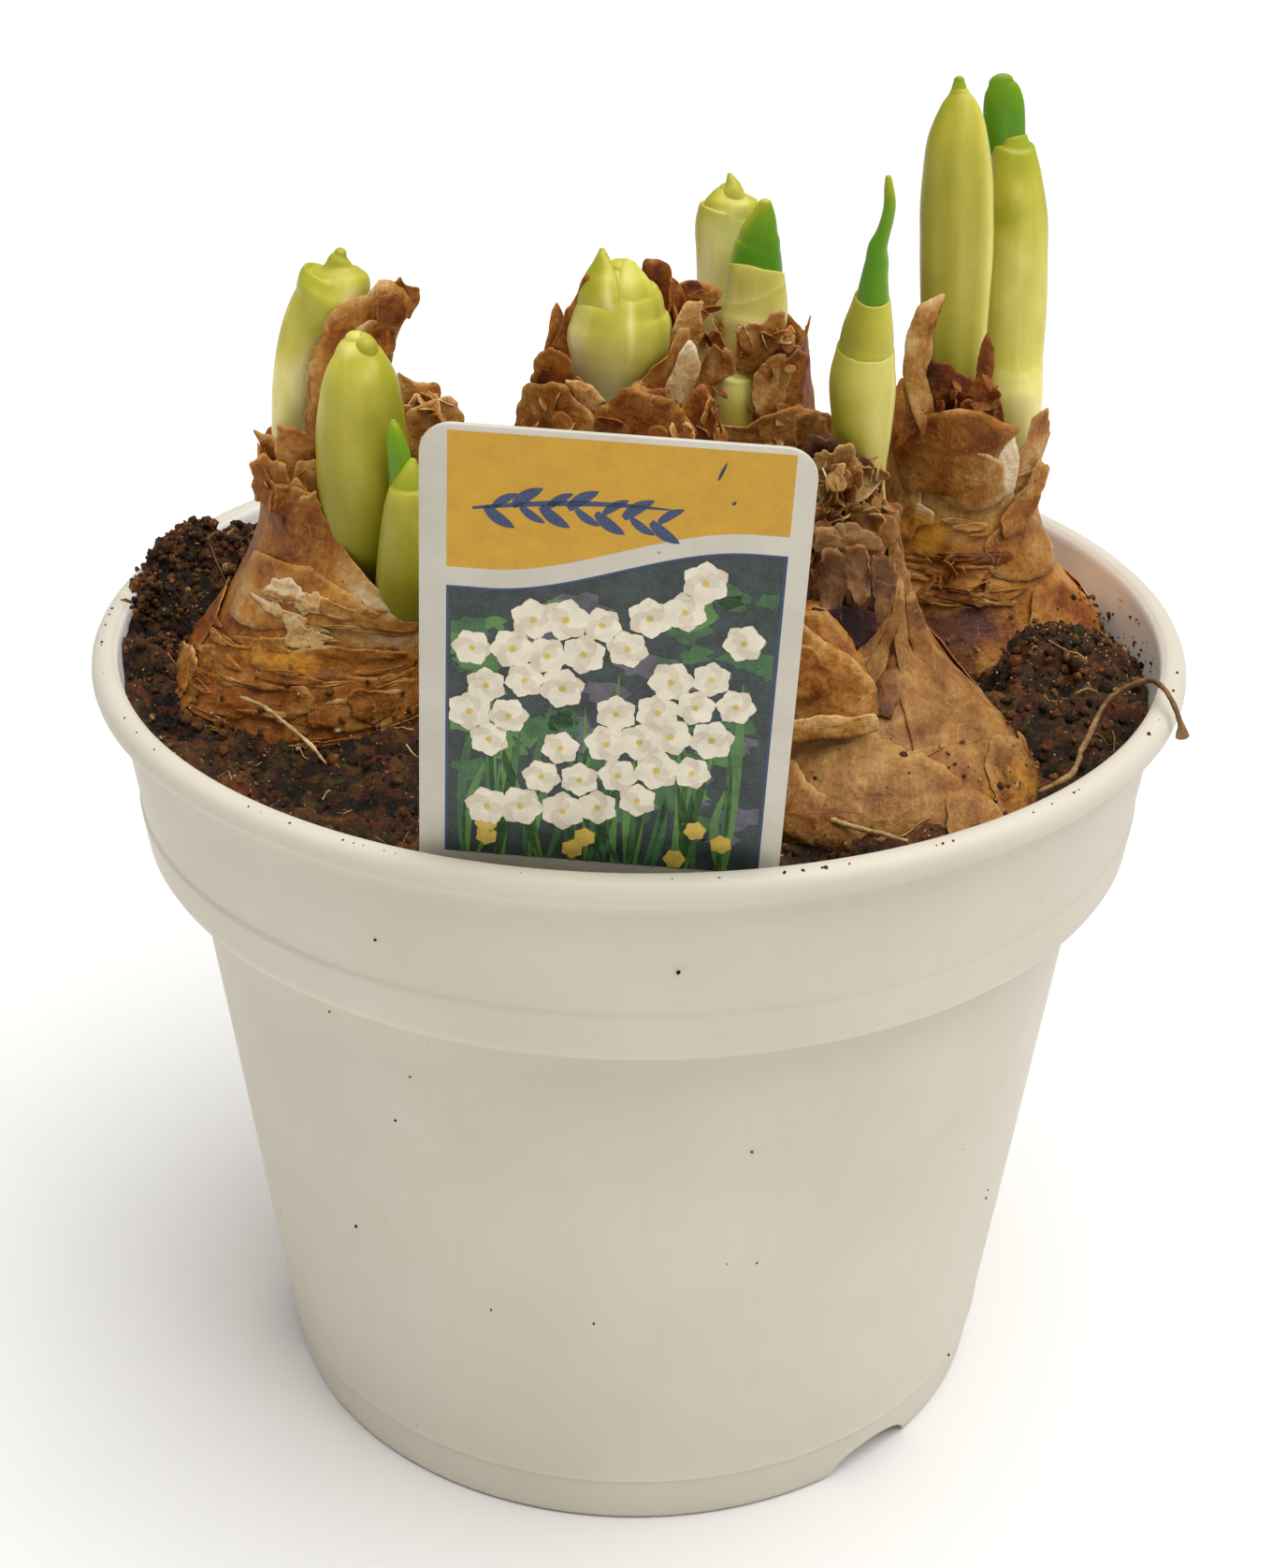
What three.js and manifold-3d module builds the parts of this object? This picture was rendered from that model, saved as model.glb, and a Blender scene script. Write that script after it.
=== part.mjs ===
// A pot of five forced narcissus bulbs: a white plastic nursery pot, its soil, the bulbs with their
// papery neck collars and scales, shoots and leaf tips, a plant tag and three loose roots.
// Millimetres, +Z up. The origin is the centre of the pot's foot, on the surface it stands on, and
// -Y is the front, where the tag is.

import * as THREE from 'three';
import { mergeVertices } from 'three/addons/utils/BufferGeometryUtils.js';
import Module from 'manifold-3d';

// Driving dimensions of the pot
const WALL = 1.3;
const FOOT_RADIUS = 60.4;
const BODY_TOP_RADIUS = 72.5;
const COLLAR_Z = 100.3;
const COLLAR_RADIUS = 78.4;
const LIP_Z = 128.4;
const LIP_NECK_RADIUS = 82.0;
const LIP_RADIUS = 85.0;
const POT_HEIGHT = 131.9;
const FLOOR_Z = 4.6;
const FLOOR_THICKNESS = 1.5;
const FOOT_BAND_HEIGHT = 8.5;
const COLLAR_BAND_HEIGHT = 8.3;
const BAND_STEP = 0.45;
const POT_SEGMENTS = 48;
const DRAIN_HOLES = 8;
const DRAIN_HOLE_RADIUS = 4;
const DRAIN_CIRCLE_RADIUS = 44;
const FOOT_ARCHES = 3;
const FOOT_ARCH_ANGLE = -49;
const FOOT_ARCH_RADIUS = 9;
const FOOT_ARCH_HEIGHT = 5.2;
const FOOT_ARCH_SINK = 0.6;
const HOLE_SIDES = 16;

// Clearance between touching pieces
const GAP = 0.3;

// Longest dome on the end of a grown body, as a share of its half width up to this width
const DOME_LIMIT = 6;

// Soil surface: its level at the middle, and the heaps on it as [x, y, extra height, spread]
const SOIL_LEVEL = 121.5;
const SOIL_SEGMENTS = 36;
const SOIL_RINGS = 7;
const SOIL_EDGE_DROP = 3;
const SOIL_HEAPS = [
  [-75, 16, 17, 10],
  [-65, 32, 12, 10],
  [-74, -4, 4, 10],
  [66, -14, 4, 11],
  [0, -10, 2, 22],
  [40, 58, -2, 14],
];

// Picture tag, held flat across the inside of the front rim
const TAG_WIDTH = 47.9;
const TAG_THICKNESS = 0.7;
const TAG_TOP_Z = 191;
const TAG_SHOULDER_Z = 129.5;
const TAG_TIP_Z = 103.5;
const TAG_TIP_WIDTH = 13;
const TAG_CORNER_RADIUS = 4;
const TAG_DISTANCE = 76.5;
const TAG_BEARING = -93.4;
const TAG_LEAN = 6.5;
const TAG_TILT = -2;
const TAG_CORNER_STEPS = 5;

const RIGHT_ANGLE = Math.PI / 2;
const radians = (degrees) => (degrees * Math.PI) / 180;

// Colours and finishes
const FINISH = {
  pot: { color: 0xd9d5cb, roughness: 0.45 },
  soil: { color: 0x3b2a1c, roughness: 0.95 },
  tag: { color: 0xe6e4de, roughness: 0.35 },
  bulb: { color: 0x9a6a3a, roughness: 0.6 },
  offset: { color: 0xa4602f, roughness: 0.6 },
  nose: { color: 0x4b3530, roughness: 0.8 },
  tunic: { color: 0x7d4f2a, roughness: 0.7 },
  sheath: { color: 0xc9c983, roughness: 0.4 },
  leaf: { color: 0x5f9a2e, roughness: 0.45 },
  root: { color: 0x8c6f4a, roughness: 0.8 },
};

const wasm = await Module();
wasm.setup();

const part = new THREE.Group();

// Signed volume, positive where the faces point out
function signedVolume(geometry) {
  const position = geometry.getAttribute('position');
  const [a, b, c] = [new THREE.Vector3(), new THREE.Vector3(), new THREE.Vector3()];
  let six = 0;
  for (let i = 0; i < geometry.index.count; i += 3) {
    a.fromBufferAttribute(position, geometry.index.getX(i));
    b.fromBufferAttribute(position, geometry.index.getX(i + 1));
    c.fromBufferAttribute(position, geometry.index.getX(i + 2));
    six += a.dot(b.cross(c));
  }
  return six / 6;
}

// One closed body: seam and pole vertices are merged, faces with no area go, and all point outward
function closed(geometry) {
  geometry.deleteAttribute('normal');
  geometry.deleteAttribute('uv');
  const merged = mergeVertices(geometry, 1e-4);
  const kept = [];
  for (let i = 0; i < merged.index.count; i += 3) {
    const corners = [merged.index.getX(i), merged.index.getX(i + 1), merged.index.getX(i + 2)];
    if (new Set(corners).size === 3) kept.push(...corners);
  }
  merged.setIndex(kept);
  if (signedVolume(merged) < 0) merged.setIndex(kept.reverse());
  return merged;
}

function toManifold(geometry) {
  const mesh = new wasm.Mesh({
    numProp: 3,
    vertProperties: new Float32Array(geometry.getAttribute('position').array),
    triVerts: new Uint32Array(geometry.index.array),
  });
  return new wasm.Manifold(mesh);
}

function fromManifold(manifold) {
  const mesh = manifold.getMesh();
  const geometry = new THREE.BufferGeometry();
  geometry.setAttribute('position', new THREE.BufferAttribute(mesh.vertProperties, 3));
  geometry.setIndex(new THREE.BufferAttribute(mesh.triVerts, 1));
  return geometry;
}

// The geometry with each cutter taken out of it, less any slivers that the cuts leave loose
function without(geometry, cutters) {
  let solid = toManifold(geometry);
  for (const cutter of cutters) solid = solid.subtract(toManifold(cutter));
  const bodies = solid.decompose().sort((a, b) => b.volume() - a.volume());
  return fromManifold(bodies[0]);
}

function add(name, geometry, finish) {
  const material = new THREE.MeshStandardMaterial({ metalness: 0, ...FINISH[finish] });
  const mesh = new THREE.Mesh(geometry, material);
  mesh.name = name;
  part.add(mesh);
  return mesh;
}

// A round body turned about +Z from [radius, z] points
function turned(points, segments) {
  const outline = points.map(([radius, z]) => new THREE.Vector2(radius, z));
  return closed(new THREE.LatheGeometry(outline, segments).rotateX(RIGHT_ANGLE));
}

// A grown body: a stack of rings along a spine. Each stage is [x, y, z, width, depth] with half
// widths, depth left out where the ring is round. The turn is the heading of the wide side. Rings
// lean with the spine unless they are level.
function grown({ stages, turn = 0, sides = 10, rings = 7, blunt = 0.35, level = false }, gap = 0) {
  const spine = new THREE.CatmullRomCurve3(stages.map(([x, y, z]) => new THREE.Vector3(x, y, z)));
  const widths = new THREE.CatmullRomCurve3(
    stages.map(([, , , width, depth = width]) => new THREE.Vector3(width, depth, 0)),
  );
  const outline = [new THREE.Vector2(0, 0)];
  for (let i = 0; i <= rings; i += 1) outline.push(new THREE.Vector2(1, i / rings));
  outline.push(new THREE.Vector2(0, 1));
  const geometry = closed(new THREE.LatheGeometry(outline, sides).rotateX(RIGHT_ANGLE));
  const position = geometry.getAttribute('position');
  const across = new THREE.Vector3(Math.cos(radians(turn)), Math.sin(radians(turn)), 0);
  const last = stages.length - 1;
  for (let i = 0; i < position.count; i += 1) {
    const along = Math.round(position.getZ(i) * rings) / rings;
    const point = spine.getPoint(along);
    const tangent = level ? new THREE.Vector3(0, 0, 1) : spine.getTangent(along);
    const side = across.clone().addScaledVector(tangent, -across.dot(tangent)).normalize();
    const front = new THREE.Vector3().crossVectors(tangent, side);
    const size = widths.getPoint(along);
    const onAxis = Math.hypot(position.getX(i), position.getY(i)) < 0.5;
    const end = along === 0 ? -1 : along === 1 ? 1 : 0;
    const bulge = onAxis ? blunt * Math.min(stages[end < 0 ? 0 : last][3], DOME_LIMIT) : 0;
    point.addScaledVector(side, position.getX(i) * (Math.abs(size.x) + gap));
    point.addScaledVector(front, position.getY(i) * (Math.abs(size.y) + gap));
    point.addScaledVector(tangent, end * (bulge + gap));
    position.setXYZ(i, point.x, point.y, point.z);
  }
  return geometry;
}

// Pot

const bodySlope = (BODY_TOP_RADIUS - FOOT_RADIUS) / COLLAR_Z;
const collarSlope = (LIP_NECK_RADIUS - COLLAR_RADIUS) / (LIP_Z - COLLAR_Z);
const bodyRadius = (z) => FOOT_RADIUS + bodySlope * z;
const collarRadius = (z) => COLLAR_RADIUS + collarSlope * (z - COLLAR_Z);
const ledgeZ = COLLAR_Z + WALL;
const floorTop = FLOOR_Z + FLOOR_THICKNESS;
const bandTop = COLLAR_Z + COLLAR_BAND_HEIGHT;

// Inner radius of the pot at a height above its floor
function innerRadius(z) {
  if (z < ledgeZ) return bodyRadius(z) - WALL;
  return collarRadius(z) - WALL;
}

function makePot() {
  const outline = [
    [0, FLOOR_Z],
    [bodyRadius(FLOOR_Z) - WALL - 0.4, FLOOR_Z],
    [FOOT_RADIUS - WALL - 0.6, 0],
    [FOOT_RADIUS, 0],
    [bodyRadius(FOOT_BAND_HEIGHT) - BAND_STEP / 2, FOOT_BAND_HEIGHT],
    [bodyRadius(FOOT_BAND_HEIGHT) + BAND_STEP / 2, FOOT_BAND_HEIGHT + 0.5],
    [BODY_TOP_RADIUS, COLLAR_Z],
    [COLLAR_RADIUS - 1.0, COLLAR_Z],
    [COLLAR_RADIUS + 0.1, COLLAR_Z + 1.0],
    [collarRadius(bandTop) + BAND_STEP, bandTop],
    [collarRadius(bandTop) - BAND_STEP / 2, bandTop + 0.5],
    [LIP_NECK_RADIUS - 0.2, LIP_Z - 1.2],
    [LIP_RADIUS - 1.0, LIP_Z - 0.4],
    [LIP_RADIUS, LIP_Z + 0.9],
    [LIP_RADIUS - 0.5, POT_HEIGHT - 0.9],
    [LIP_RADIUS - 2.0, POT_HEIGHT],
    [LIP_RADIUS - 3.4, POT_HEIGHT - 0.1],
    [innerRadius(POT_HEIGHT - 1.2), POT_HEIGHT - 1.2],
    [innerRadius(ledgeZ + 0.5), ledgeZ + 0.5],
    [innerRadius(ledgeZ) - 0.8, ledgeZ],
    [bodyRadius(ledgeZ) - WALL, ledgeZ],
    [innerRadius(floorTop + 1.5), floorTop + 1.5],
    [innerRadius(floorTop) - 1.5, floorTop],
    [0, floorTop],
  ];
  const cutters = [];
  for (let i = 0; i < DRAIN_HOLES; i += 1) {
    const angle = (i * 2 * Math.PI) / DRAIN_HOLES;
    const size = [DRAIN_HOLE_RADIUS, DRAIN_HOLE_RADIUS, 4 * FLOOR_THICKNESS, HOLE_SIDES];
    const hole = new THREE.CylinderGeometry(...size);
    hole.rotateX(RIGHT_ANGLE);
    hole.translate(
      DRAIN_CIRCLE_RADIUS * Math.cos(angle),
      DRAIN_CIRCLE_RADIUS * Math.sin(angle),
      FLOOR_Z + FLOOR_THICKNESS / 2,
    );
    cutters.push(closed(hole));
  }
  for (let i = 0; i < FOOT_ARCHES; i += 1) {
    const angle = FOOT_ARCH_ANGLE + (i * 360) / FOOT_ARCHES;
    const arch = new THREE.CylinderGeometry(1, 1, 4 * WALL, HOLE_SIDES);
    arch.rotateZ(RIGHT_ANGLE);
    arch.scale(1, FOOT_ARCH_RADIUS, FOOT_ARCH_HEIGHT);
    arch.translate(FOOT_RADIUS - WALL / 2, 0, -FOOT_ARCH_SINK);
    arch.rotateZ(radians(angle));
    cutters.push(closed(arch));
  }
  add('pot', without(turned(outline, POT_SEGMENTS), cutters), 'pot');
}

// Bulbs, as grown bodies: brown lower part in the soil, shoulders, and a neck

const BULBS = {
  left: {
    stages: [
      [-48, -4, 80, 9],
      [-48, -4, 86, 14.5],
      [-48.6, -4, 98, 18.2],
      [-51, -4, 108, 22.2],
      [-51, -4, 116, 23],
      [-50.5, -4, 127, 20.5],
      [-48.5, -4, 139, 14.5],
      [-46.5, -4, 150, 11.2],
      [-46, -4, 157, 10.2],
    ],
  },
  centre: {
    stages: [
      [-7, 12, 78, 8],
      [-7, 12, 86, 16],
      [-7, 12, 102, 19.8],
      [-7, 12, 118, 19.8],
      [-7, 11, 134, 17.2],
      [-6.5, 10, 148, 14],
      [-5.5, 9, 158, 11],
      [-5, 9, 163, 9],
    ],
  },
  back: {
    stages: [
      [17, 43, 80, 7],
      [17, 43, 88, 14],
      [17, 43, 102, 17.2],
      [17, 43, 118, 17],
      [17, 42, 134, 14],
      [16.5, 41, 148, 10.6],
      [16, 40, 158, 9],
      [16, 39, 163, 8.4],
    ],
  },
  front_right: {
    stages: [
      [37, -30, 79, 8],
      [37, -30, 86, 15],
      [37.5, -31, 98, 19.6],
      [38, -32, 112, 22],
      [38, -31.5, 122, 19.8],
      [38, -29.5, 131, 14],
      [37, -25, 139.5, 7.8],
      [35.4, -19.5, 151, 5.9],
    ],
  },
  right: {
    stages: [
      [46, 15.5, 80, 8],
      [46.5, 15.5, 86, 13],
      [46.5, 15.5, 98, 15.4],
      [51, 18, 106, 19.4],
      [53.2, 18.6, 115, 21],
      [54, 19, 124, 21],
      [53.5, 19.5, 131, 16.5],
      [53, 20, 138, 12.6],
      [52.5, 20.5, 147, 11.6],
    ],
  },
};

// Side pieces of the front right bulb: the bulb that split off it, and the withered old neck
const SIDE_OFFSET = {
  stages: [
    [27.5, -38, 121, 5],
    [26.5, -39.5, 127, 8],
    [26, -40.5, 134, 8.8],
    [25.5, -41, 140, 7],
    [25, -41, 145, 3],
  ],
};
const OLD_NOSE = {
  stages: [
    [31, -30, 133, 3],
    [30.5, -30, 139, 5.4],
    [30, -30.5, 146, 5.4],
    [29.5, -31, 152, 3.8],
    [29.3, -31.5, 156, 2],
  ],
};

// Shoots and leaf tips, listed from the outside in: each is cut away where the next ones of the
// same clump stand in it
const SHOOTS = {
  left: [
    {
      name: 'shoot_left_rear',
      finish: 'sheath',
      stages: [
        [-52.6, -1, 150, 3.2],
        [-52.8, -1, 160, 3.5],
        [-51.8, -1, 170, 3.3],
        [-49.4, -1, 178.5, 3.4],
        [-46.6, -1, 184, 4.2],
        [-44.4, -1, 187, 3.4],
      ],
    },
    {
      name: 'shoot_left_front',
      finish: 'sheath',
      stages: [
        [-41.2, -11, 141, 5.4],
        [-41.2, -12, 150, 6.7],
        [-41.2, -12.5, 162, 6.9, 5.8],
        [-41.2, -12, 172, 6.4, 5.2],
        [-41, -11, 178.5, 4.4, 3.8],
      ],
    },
    {
      name: 'leaf_left_front',
      finish: 'leaf',
      sides: 8,
      rings: 5,
      stages: [
        [-40.9, -12.2, 167, 1.6],
        [-40.8, -12.6, 173, 2],
        [-40.7, -12.6, 178, 1.5],
        [-40.6, -12.2, 180.5, 0.7],
      ],
    },
    {
      name: 'shoot_left_side',
      finish: 'sheath',
      sides: 10,
      rings: 6,
      stages: [
        [-34.6, -17.5, 136, 2.6],
        [-34.6, -19.5, 144, 3.2],
        [-35, -20.5, 154, 3],
        [-35.3, -20.5, 161, 2],
        [-35.5, -20.3, 164, 0.8],
      ],
    },
    {
      name: 'leaf_left_side',
      finish: 'leaf',
      sides: 8,
      rings: 6,
      stages: [
        [-36.2, -18.3, 149, 1.2],
        [-36.6, -18.6, 157, 1.5],
        [-37, -18.8, 164, 1.2],
        [-37.3, -18.6, 170, 0.5],
      ],
    },
  ],
  centre: [
    {
      name: 'shoot_centre',
      finish: 'sheath',
      stages: [
        [-5, 9, 157, 4],
        [-4.8, 8.6, 163, 6.4],
        [-4.4, 8.4, 170, 8.2, 7],
        [-4.4, 8.6, 177, 7.4, 6.2],
        [-4.4, 9, 182.5, 4.6, 4],
      ],
    },
    {
      name: 'leaf_centre_left',
      finish: 'leaf',
      rings: 6,
      sides: 10,
      stages: [
        [-6.3, 8.2, 168, 1.8],
        [-6.4, 7.8, 174, 2.9],
        [-6.3, 7.9, 181, 2.6],
        [-6.2, 8.6, 187.6, 0.7],
      ],
    },
    {
      name: 'leaf_centre_right',
      finish: 'leaf',
      rings: 6,
      sides: 10,
      stages: [
        [-1.6, 8.8, 169, 1.8],
        [-1.2, 8.7, 174, 2.9],
        [-1.4, 9, 180, 2.3],
        [-2, 9.6, 185.6, 0.7],
      ],
    },
  ],
  back: [
    {
      name: 'shoot_back_left',
      finish: 'sheath',
      stages: [
        [13, 42, 158, 4.2],
        [13.2, 42, 168, 5.6],
        [13.4, 42, 177, 6, 5],
        [13.5, 42, 184, 5.2, 4.2],
        [13.6, 42, 187, 3.8, 3],
      ],
    },
    {
      name: 'leaf_back_left',
      finish: 'leaf',
      sides: 8,
      rings: 5,
      stages: [
        [13.8, 42, 178, 1.6],
        [13.8, 42, 184, 2.1],
        [13.8, 42, 188, 1.6],
        [13.6, 42, 191, 0.6],
      ],
    },
    {
      name: 'shoot_back_right',
      finish: 'sheath',
      stages: [
        [17.2, 33.5, 158, 3.4],
        [17.7, 33, 167, 4.6],
        [18.2, 33, 174, 4.7, 3.8],
        [18.6, 33, 178, 4.3, 3.4],
      ],
    },
    {
      name: 'leaf_back_right',
      finish: 'leaf',
      sides: 10,
      rings: 7,
      stages: [
        [18.6, 33, 168, 2.4, 1.6],
        [19.2, 33, 176, 3.6, 2.2],
        [19.5, 33, 184, 2.8, 1.7],
        [19.9, 33, 190.5, 0.7],
      ],
    },
    {
      name: 'shoot_back_stub',
      finish: 'sheath',
      sides: 10,
      rings: 5,
      stages: [
        [14.9, 29.5, 153, 2.8],
        [14.9, 29, 158, 3.6, 3],
        [14.8, 29, 162, 3.2, 2.6],
      ],
    },
  ],
  front_right: [
    {
      name: 'sheath_front_right_lower',
      finish: 'sheath',
      stages: [
        [34.4, -18, 150, 3.2],
        [32.8, -19.5, 160, 4.2],
        [31.6, -20.5, 170, 4.9],
        [31.7, -20.5, 177, 4.6],
        [32, -20.5, 181, 3.9],
      ],
    },
    {
      name: 'sheath_front_right_upper',
      finish: 'sheath',
      sides: 10,
      rings: 6,
      stages: [
        [31.7, -20.5, 173, 2.8],
        [31.9, -20.5, 180, 3.7],
        [32.2, -20.5, 186, 3.5],
        [32.6, -20.5, 190, 2.6],
      ],
    },
    {
      name: 'leaf_front_right',
      finish: 'leaf',
      sides: 8,
      rings: 8,
      stages: [
        [32.4, -20.5, 183, 1.4],
        [32.7, -20.5, 188, 2.2],
        [32.6, -20.5, 193, 1.7],
        [32.6, -20.5, 198, 1],
        [33.1, -20.5, 203, 0.9],
        [33.2, -20.5, 207, 0.4],
      ],
    },
  ],
  right: [
    {
      name: 'shoot_right_left',
      finish: 'sheath',
      sides: 12,
      rings: 8,
      stages: [
        [50.5, 17, 141, 4.2],
        [50.3, 17.5, 153, 5],
        [49.9, 18, 168, 6, 4.4],
        [49.1, 18, 183, 6.3, 4.6],
        [48.2, 18.5, 198, 6, 4.2],
        [47.5, 19, 207.5, 3.2, 2.4],
      ],
    },
    {
      name: 'leaf_right_left',
      finish: 'leaf',
      sides: 8,
      rings: 5,
      stages: [
        [47.9, 18.9, 198, 1.4],
        [47.4, 19, 205, 1.8],
        [46.9, 19.2, 210, 1.1],
        [46.7, 19.2, 212.2, 0.5],
      ],
    },
    {
      name: 'shoot_right_right',
      finish: 'sheath',
      sides: 12,
      rings: 8,
      stages: [
        [59.6, 21.5, 142, 2.4],
        [59.8, 22, 152, 3.2],
        [59.6, 23, 164, 4.3],
        [59.1, 25, 178, 4.9],
        [58.1, 26, 191, 4.8],
        [56.7, 26, 200, 3.8],
      ],
    },
    {
      name: 'leaf_right_right',
      finish: 'leaf',
      sides: 10,
      rings: 7,
      stages: [
        [56.6, 26, 189, 2.2, 1.6],
        [55.7, 26, 197, 3.1, 1.7],
        [54.5, 26, 204.5, 3.1, 1.5],
        [54, 26, 210.5, 1.6, 0.9],
      ],
    },
  ],
};

// Papery collars about upright axes: rings of [height, radius] from the lower edge to the top, which
// is ragged by about the stated height
const TUNICS = {
  left: { axis: [-45.5, -4], ring: [[147, 13.6], [155, 12.4], [163, 12.8]], ragged: 1.6 },
  centre: { axis: [-5.4, 9.4], ring: [[152, 15.2], [160, 13.2], [170, 11]], ragged: 3.2 },
  back: { axis: [16, 38.5], ring: [[157.5, 12.2], [162, 12.4], [168, 12.8]], ragged: 2.6 },
  front_right: { axis: [35, -18.6], ring: [[150, 7.6], [155, 6.6], [160, 6.8]], ragged: 2 },
  right: { axis: [52, 20.2], ring: [[141, 14.2], [149, 13.2], [156, 14]], ragged: 2.2 },
};
const TUNIC_WALL = 0.7;
const TUNIC_SIDES = 16;

// Loose scales: dry papery strips that stand inside the collars, placed and listed as the shoots are
const SCALES = {
  left: {
    name: 'scale_left_rear',
    stages: [
      [-45, 4, 152, 4.5, 0.5],
      [-44.5, 4, 162, 6, 0.5],
      [-42, 3.5, 173, 6.2, 0.5],
      [-38.8, 3, 181, 4.8, 0.5],
      [-37, 2.8, 186, 2.6, 0.4],
    ],
  },
  centre: {
    name: 'scale_centre_right',
    turn: 25,
    stages: [
      [5.6, 13.5, 157, 2.6, 0.5],
      [6.4, 13.5, 167, 3.6, 0.5],
      [5.2, 14.5, 176, 4, 0.5],
      [3.2, 15.5, 183.5, 2.8, 0.4],
    ],
  },
  back: {
    name: 'scale_back_left',
    stages: [
      [9.4, 31.5, 157, 2.6, 0.5],
      [8.4, 31.2, 166, 3.2, 0.5],
      [9, 31.6, 175, 1.8, 0.4],
    ],
  },
  right: {
    name: 'scale_right_left',
    stages: [
      [43.6, 13.4, 144, 2.8, 0.5],
      [42.4, 12.6, 156, 2.8, 0.5],
      [42.4, 12.4, 168, 2.3, 0.5],
      [44.3, 12, 178, 2, 0.4],
    ],
  },
};

// Loose roots: radius and route. A point with no height lies on the soil.
const ROOTS = {
  root_over_rim: {
    radius: 0.8,
    route: [
      [63.6, -35],
      [67, -29.2],
      [69.4, -24.2],
      [71.4, -20, 127.4],
      [74.2, -19.4, 130.4],
      [76.1, -23.4, 133.3],
      [76.3, -29.5, 134.2],
      [76.9, -34.2, 133.9],
      [78, -36.5, 132],
      [78.4, -37, 129.6],
    ],
  },
  root_front: {
    radius: 0.7,
    route: [
      [23.6, -52.5],
      [29, -54.6],
      [35, -55.6],
      [41.9, -54.2],
      [47.5, -51],
      [53, -46.4],
      [58, -42.4],
    ],
  },
  root_left: {
    radius: 0.5,
    route: [
      [-59.6, -26.5],
      [-55.4, -28.8],
      [-51.4, -31.6],
      [-48, -34.6],
      [-45.4, -38],
    ],
  },
};
const ROOT_SIDES = 8;

function makeTunic(name, inner) {
  const { axis, ring, ragged } = TUNICS[name];
  const outside = ring.map(([z, radius]) => new THREE.Vector2(radius, z));
  const inside = ring.map(([z, radius]) => new THREE.Vector2(radius - TUNIC_WALL, z)).reverse();
  const geometry = closed(
    new THREE.LatheGeometry([...outside, ...inside, outside[0]], TUNIC_SIDES).rotateX(RIGHT_ANGLE),
  );
  const position = geometry.getAttribute('position');
  const topZ = ring[ring.length - 1][0];
  for (let i = 0; i < position.count; i += 1) {
    const angle = Math.atan2(position.getY(i), position.getX(i));
    const tear = Math.sin(3 * angle + axis[0]) + 0.7 * Math.sin(7 * angle + axis[1]);
    const lift = position.getZ(i) > topZ - 0.01 ? ragged * tear : 0;
    position.setXYZ(i, position.getX(i) + axis[0], position.getY(i) + axis[1], position.getZ(i) + lift);
  }
  add(`tunic_${name}`, without(geometry, inner), 'tunic');
}

function makeTag() {
  const half = TAG_WIDTH / 2;
  const tip = TAG_TIP_WIDTH / 2;
  const round = TAG_CORNER_RADIUS;
  const outline = new THREE.Shape();
  outline.moveTo(-tip, TAG_TIP_Z);
  outline.lineTo(tip, TAG_TIP_Z);
  outline.lineTo(half, TAG_SHOULDER_Z);
  outline.lineTo(half, TAG_TOP_Z - round);
  outline.absarc(half - round, TAG_TOP_Z - round, round, 0, RIGHT_ANGLE, false);
  outline.absarc(round - half, TAG_TOP_Z - round, round, RIGHT_ANGLE, Math.PI, false);
  outline.lineTo(-half, TAG_SHOULDER_Z);
  const place = (thickness, grow) => {
    const geometry = new THREE.ExtrudeGeometry(outline, {
      depth: thickness,
      bevelEnabled: false,
      curveSegments: TAG_CORNER_STEPS,
    });
    geometry.translate(0, -POT_HEIGHT, -thickness / 2);
    geometry.scale(grow, 1, 1);
    geometry.rotateZ(radians(TAG_TILT));
    geometry.rotateX(RIGHT_ANGLE);
    geometry.rotateX(radians(TAG_LEAN));
    geometry.translate(0, -TAG_DISTANCE, POT_HEIGHT);
    geometry.rotateZ(radians(TAG_BEARING) + RIGHT_ANGLE);
    return closed(geometry);
  };
  add('plant_tag', place(TAG_THICKNESS, 1), 'tag');
  const slotThickness = TAG_THICKNESS + 2 * GAP;
  return place(slotThickness, (TAG_WIDTH + 2 * GAP) / TAG_WIDTH).translate(0, 0, -GAP);
}

function makeRoot(name) {
  const { radius, route } = ROOTS[name];
  const onSoil = (x, y) => soilHeight(x, y) + radius + GAP;
  const points = route.map(([x, y, z = onSoil(x, y)]) => new THREE.Vector3(x, y, z));
  const path = new THREE.CatmullRomCurve3(points);
  const section = new THREE.Shape();
  for (let i = 0; i <= ROOT_SIDES; i += 1) {
    const angle = (i * 2 * Math.PI) / ROOT_SIDES;
    const [x, y] = [radius * Math.cos(angle), radius * Math.sin(angle)];
    if (i === 0) section.moveTo(x, y);
    else section.lineTo(x, y);
  }
  const steps = Math.round(path.getLength() / (3 * radius));
  add(name, closed(new THREE.ExtrudeGeometry(section, { steps, extrudePath: path })), 'root');
}

// Soil: fills the pot to its surface, with a socket for each bulb and the slot of the tag

function soilHeight(x, y) {
  let z = SOIL_LEVEL;
  for (const [heapX, heapY, height, spread] of SOIL_HEAPS) {
    z += height * Math.exp(-((x - heapX) ** 2 + (y - heapY) ** 2) / (2 * spread ** 2));
  }
  return z;
}

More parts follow.
